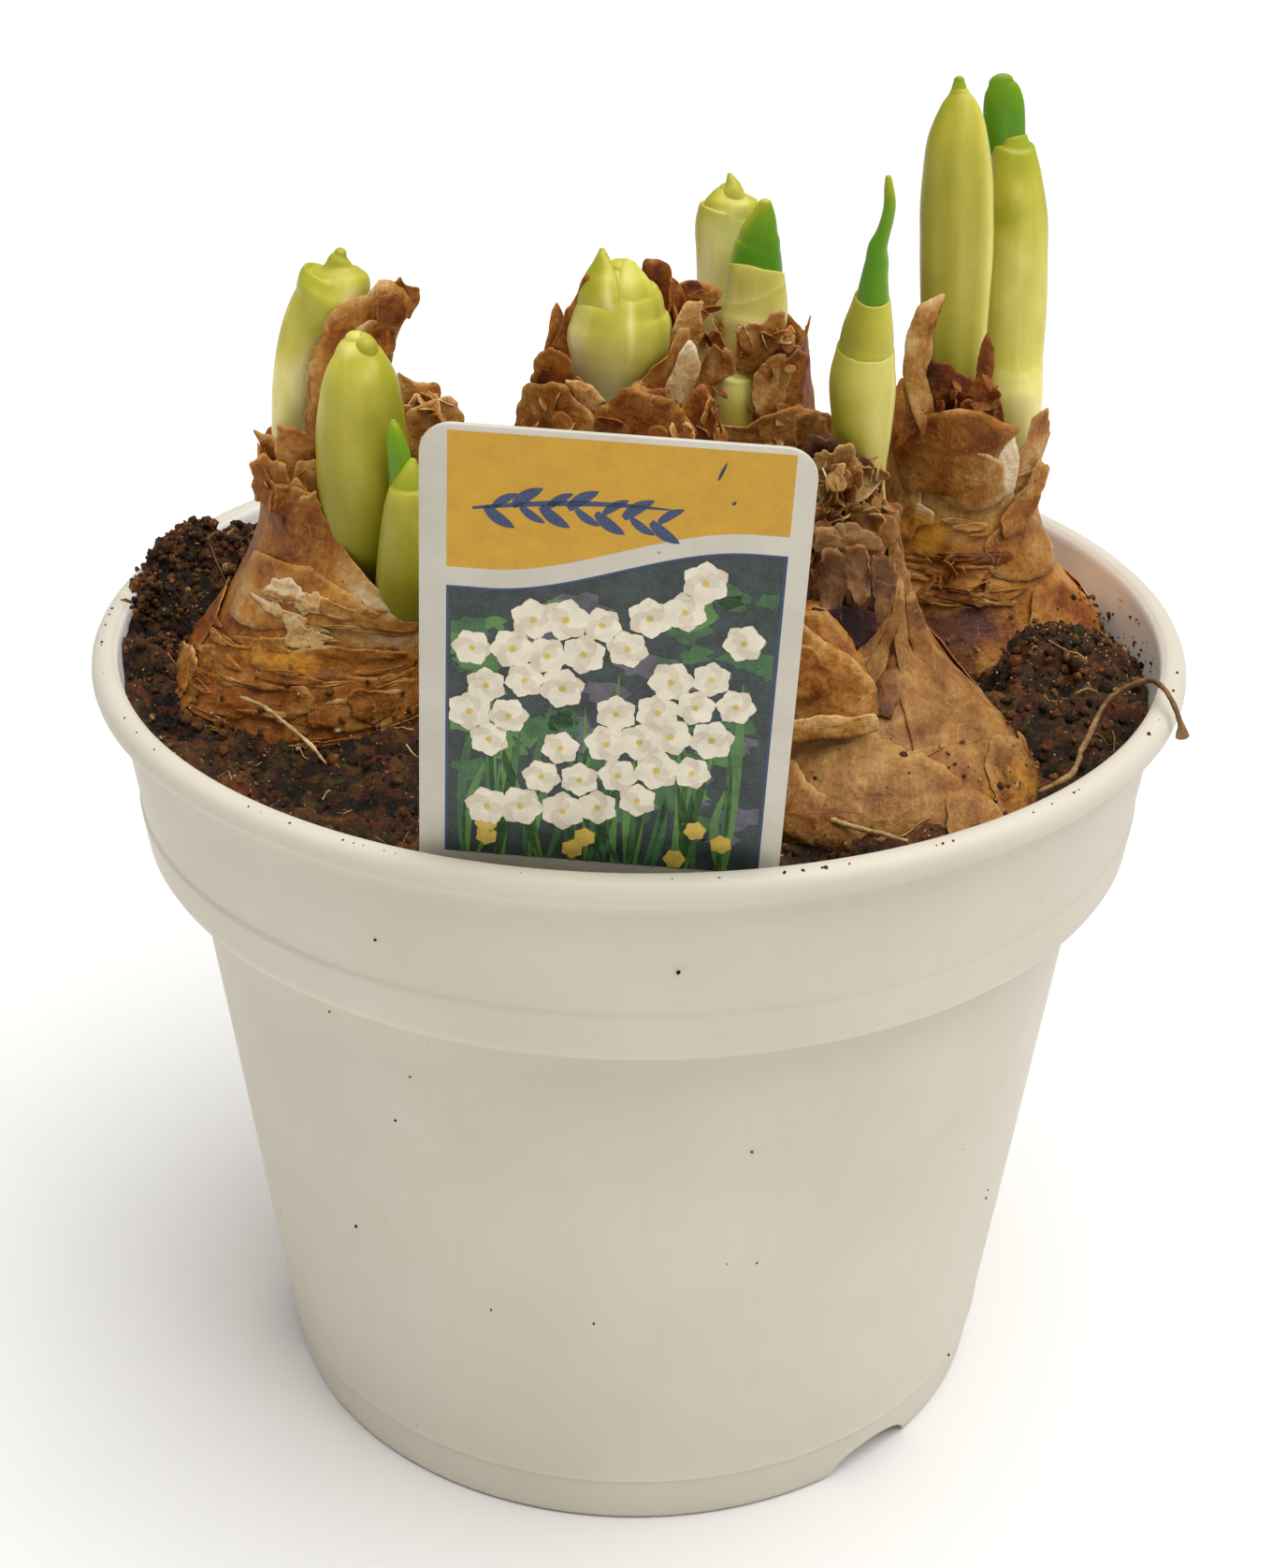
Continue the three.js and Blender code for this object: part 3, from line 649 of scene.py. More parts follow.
# Disc lights: name, place, width, watts and colour
LIGHTS = (
    ("key_light", (0.7, -0.8, 1.2), 0.5, 2.2, (0.975, 0.985, 1.0)),
    ("fill_light", (-0.9, -0.8, 0.6), 0.8, 0.25, (1.0, 0.93, 0.82)),
)
LIGHT_AIM = (0, 0, 0.1)
WORLD_COLOUR = (1.0, 0.99, 0.97, 1)
WORLD_STRENGTH = 0.32


def add_lights():
    """A wide soft light overhead, a key light from the front right and a weak fill from the left."""
    data = bpy.data.lights.new("top_light", "SUN")
    data.energy = SUN_STRENGTH
    data.angle = math.radians(SUN_WIDTH)
    top = bpy.data.objects.new("top_light", data)
    top.rotation_euler = (math.radians(SUN_LEAN[0]), math.radians(SUN_LEAN[1]), 0)
    bpy.context.scene.collection.objects.link(top)
    for name, place, size, power, colour in LIGHTS:
        data = bpy.data.lights.new(name, "AREA")
        data.shape = "DISK"
        data.size = size
        data.energy = power
        data.color = colour
        light = bpy.data.objects.new(name, data)
        light.location = place
        aim = Vector(LIGHT_AIM) - Vector(place)
        light.rotation_euler = aim.to_track_quat("-Z", "Y").to_euler()
        bpy.context.scene.collection.objects.link(light)
    world = bpy.data.worlds.new("studio")
    world.use_nodes = True
    background = world.node_tree.nodes["Background"]
    background.inputs["Color"].default_value = WORLD_COLOUR
    background.inputs["Strength"].default_value = WORLD_STRENGTH
    bpy.context.scene.world = world


FLOOR_REACH = 8.0
FLOOR_DROP = 0.0002
FLOOR_COLOURS = ((240, 239, 237), (242, 241, 239))


def add_floor():
    """A plain pale floor, a hair below the pot's foot."""
    shader = Shader("floor_paper", roughness=0.8, specular=0.2)
    cloud = shader.noise(shader.place(), 60, detail=2)
    shader.colour(shader.over(*FLOOR_COLOURS, cloud, 0.3, 0.7))
    mesh = bpy.data.meshes.new("floor")
    corners = ((-1, -1), (1, -1), (1, 1), (-1, 1))
    points = [(x * FLOOR_REACH, y * FLOOR_REACH, -FLOOR_DROP) for x, y in corners]
    mesh.from_pydata(points, [], [(0, 1, 2, 3)])
    mesh.materials.append(shader.material)
    floor = bpy.data.objects.new("floor", mesh)
    bpy.context.scene.collection.objects.link(floor)


# Pot

WALL = 1.3
FOOT_RADIUS = 60.4
BODY_TOP_RADIUS = 72.5
COLLAR_Z = 100.3
COLLAR_RADIUS = 78.4
LIP_Z = 128.4
LIP_NECK_RADIUS = 82.0
LIP_RADIUS = 85.0
POT_HEIGHT = 131.9
FLOOR_Z = 4.6
FLOOR_TOP = 6.1
AXIS_RADIUS = 0.01
POT_SEGMENTS = 240
POT_WAVER = 0.12
POT_WAVER_SIZE = 45
POT_SHARP = 50
DRAIN_HOLES = 8
DRAIN_HOLE_RADIUS = 4
DRAIN_CIRCLE_RADIUS = 44
DRAIN_HOLE_Z = 5.3
FOOT_ARCHES = (-49, 71, 191)
FOOT_ARCH_RADIUS = 9
FOOT_ARCH_HEIGHT = 5.2
FOOT_ARCH_SINK = 0.6
CUT_DEPTH = 6


def body_radius(z):
    """Outside radius of the tapered body at a height."""
    return FOOT_RADIUS + (BODY_TOP_RADIUS - FOOT_RADIUS) * z / COLLAR_Z


def collar_radius(z):
    """Outside radius of the collar at a height."""
    return COLLAR_RADIUS + (LIP_NECK_RADIUS - COLLAR_RADIUS) * (z - COLLAR_Z) / (LIP_Z - COLLAR_Z)


def inner_radius(z):
    """Radius of the inside wall at a height."""
    return (body_radius(z) if z < COLLAR_Z + WALL else collar_radius(z)) - WALL


def pot_outline():
    """Radius and height along the pot's section, from the underside round the lip to the inside floor."""
    underside = [(AXIS_RADIUS, FLOOR_Z), (30, FLOOR_Z), (body_radius(FLOOR_Z) - 1.7, FLOOR_Z)]
    foot = [(FOOT_RADIUS - 1.9, 0.4), (FOOT_RADIUS - 1.4, 0), (FOOT_RADIUS - 0.5, 0), (FOOT_RADIUS, 0.5)]
    foot += [(body_radius(z), z) for z in np.linspace(1.5, 7.5, 4)]
    foot += [(body_radius(8.3) - 0.1, 8.3), (body_radius(8.8) - 0.05, 8.7), (body_radius(9.2) + 0.32, 9.1)]
    body = [(body_radius(z) + 0.1, z) for z in np.linspace(10, 98.5, 40)]
    body += [(BODY_TOP_RADIUS + 0.1, 99.8), (BODY_TOP_RADIUS + 0.8, 100.3)]
    collar = [(COLLAR_RADIUS - 1.2, COLLAR_Z), (COLLAR_RADIUS - 0.4, COLLAR_Z + 0.2)]
    collar += [(COLLAR_RADIUS, COLLAR_Z + 0.8)]
    collar += [(collar_radius(z) + 0.25, z) for z in np.linspace(102, 107.6, 5)]
    collar += [(collar_radius(108.2) + 0.2, 108.2), (collar_radius(108.7) - 0.1, 108.6)]
    collar += [(collar_radius(z) - 0.15, z) for z in np.linspace(109.2, 125.5, 14)]
    lip = [(81.9, 127.0), (82.4, 127.7), (83.3, 127.9), (84.2, 128.0), (84.8, 128.5), (LIP_RADIUS, 129.3)]
    lip += [(84.9, 130.3), (84.5, 131.1), (83.8, 131.7), (82.9, POT_HEIGHT), (82.0, POT_HEIGHT)]
    lip += [(81.4, 131.6), (81.0, 131.0)]
    inside = [(inner_radius(z), z) for z in np.linspace(130, 103, 14)]
    inside += [(inner_radius(102) - 0.8, 101.6), (body_radius(101.6) - WALL, 101.6)]
    inside += [(body_radius(z) - WALL, z) for z in np.linspace(95, 8, 8)]
    inside += [(inner_radius(FLOOR_TOP) - 1.5, FLOOR_TOP), (30, FLOOR_TOP), (AXIS_RADIUS, FLOOR_TOP)]
    return np.array(underside + foot + body + collar + lip + inside)


def around(radius, angle, z):
    """Points at a radius, an angle in radians and a height about the pot's axis."""
    return np.stack(np.broadcast_arrays(radius * np.cos(angle), radius * np.sin(angle), z), -1)


def drum(sides, radius):
    """A closed drum about +Z for cutting holes, as its two rims."""
    angle = np.linspace(0, TURN, sides, endpoint=False)
    return np.stack([around(radius, angle, z) for z in (-CUT_DEPTH / 2, CUT_DEPTH / 2)])


def cutter_object(bodies):
    """A bare mesh object of all the bodies that are taken out."""
    shape = Piece("cutter", None, None)
    for grid in bodies:
        shape.add(*capped(grid))
    mesh = bpy.data.meshes.new(shape.name)
    mesh.from_pydata((np.vstack(shape.points) * MM).tolist(), [], shape.faces)
    tool = bpy.data.objects.new(shape.name, mesh)
    bpy.context.scene.collection.objects.link(tool)
    return tool


def cut(piece, bodies):
    """Takes closed bodies out of a piece's mesh."""
    tool = cutter_object(bodies)
    change = piece.modifiers.new("cut", "BOOLEAN")
    change.operation = "DIFFERENCE"
    change.solver = "EXACT"
    change.object = tool
    graph = bpy.context.evaluated_depsgraph_get()
    mesh = bpy.data.meshes.new_from_object(piece.evaluated_get(graph))
    piece.modifiers.clear()
    old = piece.data
    piece.data = mesh
    bpy.data.meshes.remove(old)
    mesh.name = piece.name
    bpy.data.objects.remove(tool)


def make_pot(material):
    """The turned shell, with drain holes through its floor and arched notches through its foot."""
    outline = pot_outline()
    angle = np.linspace(0, TURN, POT_SEGMENTS, endpoint=False)
    radius, height = outline[:, :1], outline[:, 1:]
    uneven = POT_WAVER * noise(around(60, angle, height), POT_WAVER_SIZE, 3) * smooth_step(height, 6, 30)
    pot = Piece("pot_shell", material, "pot", ["pot"])
    pot.add(*capped(around(radius + uneven, angle, height)))
    shell = pot.build()
    bodies = []
    for k in range(DRAIN_HOLES):
        centre = around(DRAIN_CIRCLE_RADIUS, k * TURN / DRAIN_HOLES, DRAIN_HOLE_Z)
        bodies.append(drum(32, DRAIN_HOLE_RADIUS) + centre)
    for turn in FOOT_ARCHES:
        arch = drum(40, 1)
        heading = math.radians(turn)
        across = arch[..., 0] * FOOT_ARCH_RADIUS
        up = arch[..., 1] * FOOT_ARCH_HEIGHT - FOOT_ARCH_SINK
        out = FOOT_RADIUS - WALL / 2 + arch[..., 2]
        x = out * math.cos(heading) - across * math.sin(heading)
        y = out * math.sin(heading) + across * math.cos(heading)
        bodies.append(np.stack([x, y, up], -1))
    cut(shell, bodies)
    shell.data.set_sharp_from_angle(angle=math.radians(POT_SHARP))


# Soil

SOIL_LEVEL = 121.5
# Heaps and hollows: x, y, height and spread
SOIL_HEAPS = (
    (-76, 16, 13.5, 9),
    (-66, 30, 9.5, 10),
    (-80, -5, 8.5, 9.5),
    (66, -3, 9, 8.5),
    (62, -18, 3, 9),
    (0, -10, 2, 22),
    (-70, 2, -9, 5.5),
    (40, 58, -2, 14),
)
RIGHT_MOUND = SOIL_HEAPS[3]
SOIL_GRID = 200
SOIL_RADIUS = 80.0
SOIL_GAP = 0.3
SOIL_FOOT = 6.4
SOIL_LEVELS = (110, 102.6, 101.9, 60, 8, SOIL_FOOT)
BURIED_TONE = 0.3


def soil_base(x, y):
    """Height of the soil's heaps and hollows."""
    z = SOIL_LEVEL + 0 * x
    for heap_x, heap_y, height, spread in SOIL_HEAPS:
        z = z + height * np.exp(-((x - heap_x) ** 2 + (y - heap_y) ** 2) / (2 * spread**2))
    return z


def soil_height(x, y):
    """Height of the loose soil surface, with clods and pits."""
    flat = np.stack([x, y, 0 * x], -1)
    lumps = 1.7 * fractal(flat, 7, 2, octaves=2) + 1.5 * fractal(flat, 2.6, 5, octaves=3)
    pits = -2.6 * smooth_step(noise(flat, 5.5, 9), 0.2, 0.7)
    edge = smooth_step(np.hypot(x, y), 80.6, 77)
    return soil_base(x, y) + (lumps + pits) * (0.35 + 0.65 * edge)


def disc_grid(count, radius):
    """A square grid drawn out to fill a disc, so that the cells stay even."""
    line = np.linspace(-1, 1, count)
    u, v = np.meshgrid(line, line)
    return radius * u * np.sqrt(1 - v * v / 2), radius * v * np.sqrt(1 - u * u / 2)


def border_loop(count):
    """Indices of the points round the edge of a square grid."""
    last = count - 1
    border = [(0, k) for k in range(last)]
    border += [(k, last) for k in range(last)]
    border += [(last, k) for k in range(last, 0, -1)]
    border += [(k, 0) for k in range(last, 0, -1)]
    return np.array([row * count + column for row, column in border])


def make_soil(material):
    """The bed of peat: a rough top that meets the pot's wall, and plain sides and a foot inside the pot."""
    x, y = disc_grid(SOIL_GRID, SOIL_RADIUS)
    z = soil_height(x, y)
    limit = collar_radius(np.clip(z, 118, 131)) - WALL - 0.12
    spread = 1 + smooth_step(np.hypot(x, y), 70, SOIL_RADIUS) * (limit / SOIL_RADIUS - 1)
    grid = np.stack([x * spread, y * spread, z], -1)
    grid[..., 2] += 0.7 * fractal(grid, 1.3, 7, octaves=2)
    top = grid.reshape(-1, 3)
    faces = grid_faces(SOIL_GRID, SOIL_GRID)
    above = border_loop(SOIL_GRID)
    heading = np.arctan2(top[above][:, 1], top[above][:, 0])
    walls = [top]
    start = len(top)
    for level in SOIL_LEVELS:
        wall = inner_radius(level) if level > 102 else body_radius(level) - WALL
        walls.append(around(wall - SOIL_GAP, heading, level))
        here = start + np.arange(len(above))
        faces += list(zip(above, np.roll(above, -1), np.roll(here, -1), here))
        start += len(above)
        above = here
    walls.append(np.array([[0, 0, SOIL_FOOT]]))
    faces += [(b, a, start) for a, b in zip(above, np.roll(above, -1))]
    points = np.vstack(walls)
    tones = np.full(len(points), BURIED_TONE)
    # Painted shade: the top's tone falls in its hollows and rises on its lumps
    tones[: SOIL_GRID**2] = (0.36 + 0.12 * (z - soil_base(x, y))).ravel()
    soil = Piece("peat_bed", material, "soil", ["soil"])
    soil.add(points, [tuple(face) for face in faces], tone=tones)
    soil.build()


GRAIN_POINTS = 12
GRAIN_EDGE_LIMIT = 2.1


def crumb_shape():
    """Points and faces of a twenty-sided grain."""
    golden = (1 + math.sqrt(5)) / 2
    points = []
    for a in (-1, 1):
        for b in (-golden, golden):
            points += [(0, a, b), (a, b, 0), (b, 0, a)]
    points = np.array(points, float)
    faces = []
    for i, j, k in combinations(range(GRAIN_POINTS), 3):
        sides = [np.linalg.norm(points[p] - points[q]) for p, q in ((i, j), (j, k), (i, k))]
        if max(sides) < GRAIN_EDGE_LIMIT:
            centre = points[[i, j, k]].mean(0)
            normal = np.cross(points[j] - points[i], points[k] - points[i])
            faces.append((i, j, k) if normal @ centre > 0 else (i, k, j))
    return points / np.linalg.norm(points[0]), np.array(faces)


def turns_at_random(rng, count):
    """Random rotations, as matrices."""
    w, x, y, z = rng.normal(size=(count, 4)).T
    size = np.sqrt(w * w + x * x + y * y + z * z)
    w, x, y, z = w / size, x / size, y / size, z / size
    rows = [
        [1 - 2 * (y * y + z * z), 2 * (x * y - w * z), 2 * (x * z + w * y)],
        [2 * (x * y + w * z), 1 - 2 * (x * x + z * z), 2 * (y * z - w * x)],
        [2 * (x * z - w * y), 2 * (y * z + w * x), 1 - 2 * (x * x + y * y)],
    ]
    return np.moveaxis(np.array(rows), -1, 0)


def scatter(piece, places, sizes, tones, rng):
    """Rough grains at the given places."""
    shape, faces = crumb_shape()
    count = len(places)
    rough = shape * (1 + rng.uniform(-0.28, 0.28, (count, GRAIN_POINTS, 1)))
    rough = rough * (sizes[:, None, None] * rng.uniform(0.55, 1.3, (count, 1, 3)))
    points = np.einsum("nij,nkj->nki", turns_at_random(rng, count), rough) + places[:, None]
    every = faces[None] + GRAIN_POINTS * np.arange(count)[:, None, None]
    tones = np.repeat(tones, GRAIN_POINTS)
    piece.add(points.reshape(-1, 3), [tuple(face) for face in every.reshape(-1, 3)], tone=tones)


def on_disc(rng, count, reach):
    """Random places spread evenly over a disc."""
    heading = rng.uniform(0, TURN, count)
    away = reach * np.sqrt(rng.random(count))
    return away * np.cos(heading), away * np.sin(heading)


def crowd(rng, x, y, heap, count, tightness=1.0):
    """The given places, and more that gather on one heap of soil."""
    heap_x, heap_y, _, spread = heap
    extra = rng.normal(0, spread * tightness, (2, count))
    return np.concatenate([x, heap_x + extra[0]]), np.concatenate([y, heap_y + extra[1]])


def within(x, y, reach):
    """Those of the places that lie inside a disc."""
    keep = np.hypot(x, y) < reach
    return x[keep], y[keep]


CRUMBS = 3300
CRUMB_REACH = 79.2
# More crumbs on each of the first four heaps
HEAP_CRUMBS = (850, 425, 260, 520)
PALE_GRAINS = 420
MOUND_GRAINS = 110
PALE_TONE = 1.3
# Dirt on the inner wall: count, headings, lowest and highest place
WALL_DIRT = ((34, (-10, 14), 123, 129), (16, (100, 165), 124, 131), (90, (-20, 30), 120, 125))
BULB_CRUMBS = (("left", 380), ("front_right", 200), ("right", 260))
# Crumbs spilt on the left of the rim: middle, spread and count
SPILL = ((-79.4, 12, 132.2), (1.1, 5.5, 1.2), 280)
RIM_DIRT = 46
RIM_RADIUS = 83.4
# Specks on the outside of the pot: heading and height
POT_SPECKS = (
    (-128, 93.8), (-117, 87.2), (-120, 77.6), (-154, 35.8), (-130, 50.8), (-109, 44.0), (-95, 44.4),
    (-78, 56.1), (-74, 55.4), (-29, 44.7), (-29, 42.9), (-28, 7.4), (-76, 78.0), (-57, 9.0),
    (-116, 115.5), (-86, 115.9),
)


def crumbs_on_soil(piece, rng):
    """Crumbs of all sizes over the whole bed, and more on the heaps."""
    x, y = on_disc(rng, CRUMBS, CRUMB_REACH)
    for heap, count in zip(SOIL_HEAPS, HEAP_CRUMBS):
        x, y = crowd(rng, x, y, heap, count)
    x, y = within(x, y, CRUMB_REACH + 1)
    size = 0.3 + 0.7 * rng.random(len(x)) ** 3 + 0.6 * (rng.random(len(x)) < 0.05)
    z = soil_height(x, y) + size * rng.uniform(-0.3, 0.8, len(x))
    scatter(piece, np.stack([x, y, z], -1), size, rng.uniform(0.2, 0.82, len(x)), rng)


def grains_on_soil(piece, rng):
    """Small pale grains, and more on the mound at the right."""
    x, y = on_disc(rng, PALE_GRAINS, 79)
    x, y = crowd(rng, x, y, RIGHT_MOUND, MOUND_GRAINS, tightness=0.8)
    x, y = within(x, y, 79.4)
    places = np.stack([x, y, soil_height(x, y) + 0.45], -1)
    scatter(piece, places, rng.uniform(0.12, 0.3, len(x)), np.full(len(x), PALE_TONE), rng)


def dirt_on_wall(piece, rng):
    """Fine dirt that clings to the pot's inner wall."""
    for count, headings, low, high in WALL_DIRT:
        heading = np.radians(rng.uniform(*headings, count))
        z = rng.uniform(low, high, count)
        reach = np.array([inner_radius(level) for level in z]) - 0.1
        size = 0.12 + 0.4 * rng.random(count) ** 3
        scatter(piece, around(reach, heading, z), size, rng.uniform(0.1, 0.5, count), rng)


def crumbs_on_bulbs(piece, rng):
    """Crumbs that cling to the bulbs' feet, more of them lower down."""
    for name, count in BULB_CRUMBS:
        angle = np.radians(rng.uniform(-185, 5, count))
        z = 120 + 11 * rng.random(count) ** 3.2
        size = 0.12 + 0.6 * rng.random(count) ** 2
        scatter(piece, Skin(BULBS[name]).points(angle, z, 0.9), size, rng.uniform(0.4, 0.95, count), rng)


def crumbs_on_rim(piece, rng):
    """Crumbs spilt over the rim at the left."""
    middle, spread, count = SPILL
    places = np.array(middle) + rng.normal(0, 1, (count, 3)) * spread
    scatter(piece, places, 0.3 + 0.7 * rng.random(count) ** 2, rng.uniform(0.2, 0.8, count), rng)


def specks_on_pot(piece, rng):
    """Single specks on the outside of the pot, where the photo shows them."""
    headings, heights = np.array(POT_SPECKS).T
    reach = [body_radius(z) + 0.15 if z < COLLAR_Z else collar_radius(z) for z in heights]
    places = around(np.array(reach), np.radians(headings), heights)
    scatter(piece, places, rng.uniform(0.16, 0.3, len(heights)), np.full(len(heights), 0.2), rng)


def dirt_on_rim(piece, rng):
    """Fine dirt along the front of the rim."""
    heading = np.radians(rng.uniform(-200, -10, RIM_DIRT))
    places = around(RIM_RADIUS, heading, POT_HEIGHT - 0.05)
    scatter(piece, places, 0.1 + 0.3 * rng.random(RIM_DIRT) ** 3, rng.uniform(0.1, 0.5, RIM_DIRT), rng)


def make_crumbs(material):
    """Loose crumbs and pale grains on the soil, the bulbs' feet, and the pot's wall and rim."""
    rng = np.random.default_rng(21)
    crumbs = Piece("peat_crumbs", material, "soil")
    crumbs_on_soil(crumbs, rng)
    grains_on_soil(crumbs, rng)
    dirt_on_wall(crumbs, rng)
    crumbs_on_bulbs(crumbs, rng)
    crumbs_on_rim(crumbs, rng)
    specks_on_pot(crumbs, rng)
    dirt_on_rim(crumbs, rng)
    crumbs.build()


FIBRES = 110
FIBRE_POINTS = 5
# How far from the pot's axis a fibre's middle and its points may lie
FIBRE_MIDDLE_REACH = 77
FIBRE_REACH = 79


def make_fibres(material):
    """Short bent peat fibres that lie on the soil."""
    rng = np.random.default_rng(31)
    fibres = Piece("peat_fibres", material, "soil")
    for _ in range(FIBRES):
        x, y = (float(part[0]) for part in on_disc(rng, 1, FIBRE_MIDDLE_REACH))
        heading = rng.uniform(0, TURN)
        length = rng.uniform(2, 8)
        bend = rng.uniform(-0.35, 0.35)
        route = []
        for step in np.linspace(-0.5, 0.5, FIBRE_POINTS):
            along, aside = length * step, bend * length * step**2
            px = x + along * math.cos(heading) + aside * math.sin(heading)
            py = y + along * math.sin(heading) - aside * math.cos(heading)
            pz = float(soil_height(np.array(px), np.array(py))) + rng.uniform(0.2, 1.0)
            if math.hypot(px, py) < FIBRE_REACH:
                route.append((px, py, pz, rng.uniform(0.08, 0.16)))
        if len(route) > 3:
            grid, _ = rings(route, sides=5, count=9)
            fibres.add(*capped(grid), tone=rng.uniform(0.3, 0.8))
    fibres.build()


# Grown bodies

LEAST_HALF_WIDTH = 0.05
TIP_RINGS = 7
TIP_LIMIT = 6


def rings(stages, sides=48, count=80, turn=0.0, blunt=0.35):
    """Rings of points along a spine of (x, y, z, half width, half depth) rows, and their angles.

    blunt is the length of the rounded tip as a share of its half width.
    """
    table = np.array([row if len(row) > 4 else (*row, row[3]) for row in stages], float)
    fine = through(table, count)
    spine = fine[:, :3]
    size = np.maximum(fine[:, 3:5], LEAST_HALF_WIDTH)
    tangent = np.gradient(spine, axis=0)
    tangent /= np.linalg.norm(tangent, axis=1, keepdims=True)
    heading = np.array([math.cos(math.radians(turn)), math.sin(math.radians(turn)), 0])
    side = heading - tangent * (tangent @ heading)[:, None]
    side /= np.linalg.norm(side, axis=1, keepdims=True)
    front = np.cross(tangent, side)
    steps = np.linspace(0, math.pi / 2, TIP_RINGS + 2)[1:-1]
    bulge = blunt * min(table[-1, 3], TIP_LIMIT)
    spine = np.vstack([spine] + [spine[-1] + tangent[-1] * bulge * math.sin(step) for step in steps])
    size = np.vstack([size] + [size[-1:] * math.cos(step) for step in steps])
    side = np.vstack([side] + [side[-1:]] * TIP_RINGS)
    front = np.vstack([front] + [front[-1:]] * TIP_RINGS)
    angle = np.linspace(0, TURN, sides, endpoint=False)
    grid = (
        spine[:, None]
        + side[:, None] * (size[:, :1] * np.cos(angle))[..., None]
        + front[:, None] * (size[:, 1:] * np.sin(angle))[..., None]
    )
    return grid, angle


def out_of_axis(grid):
    """Unit directions away from the middle of each ring."""
    away = grid - grid.mean(axis=1, keepdims=True)
    return away / np.maximum(np.linalg.norm(away, axis=-1, keepdims=True), 1e-6)


# Shoots and leaves. stages is the spine as [x, y, z, half width, half depth], turn the heading of its half
# width, and blunt the length of its rounded tip as a share of the half width. greens is (height, colour
# value from 0 cream to 1 leaf green, olive share). lips is (height, tilt, heading, step below the line,
# change of green above it, how far the body draws in above it). marks is (angle, height, half width, half
# height, push, change of green, change of olive). lumps is (point, size, and the same three amounts).

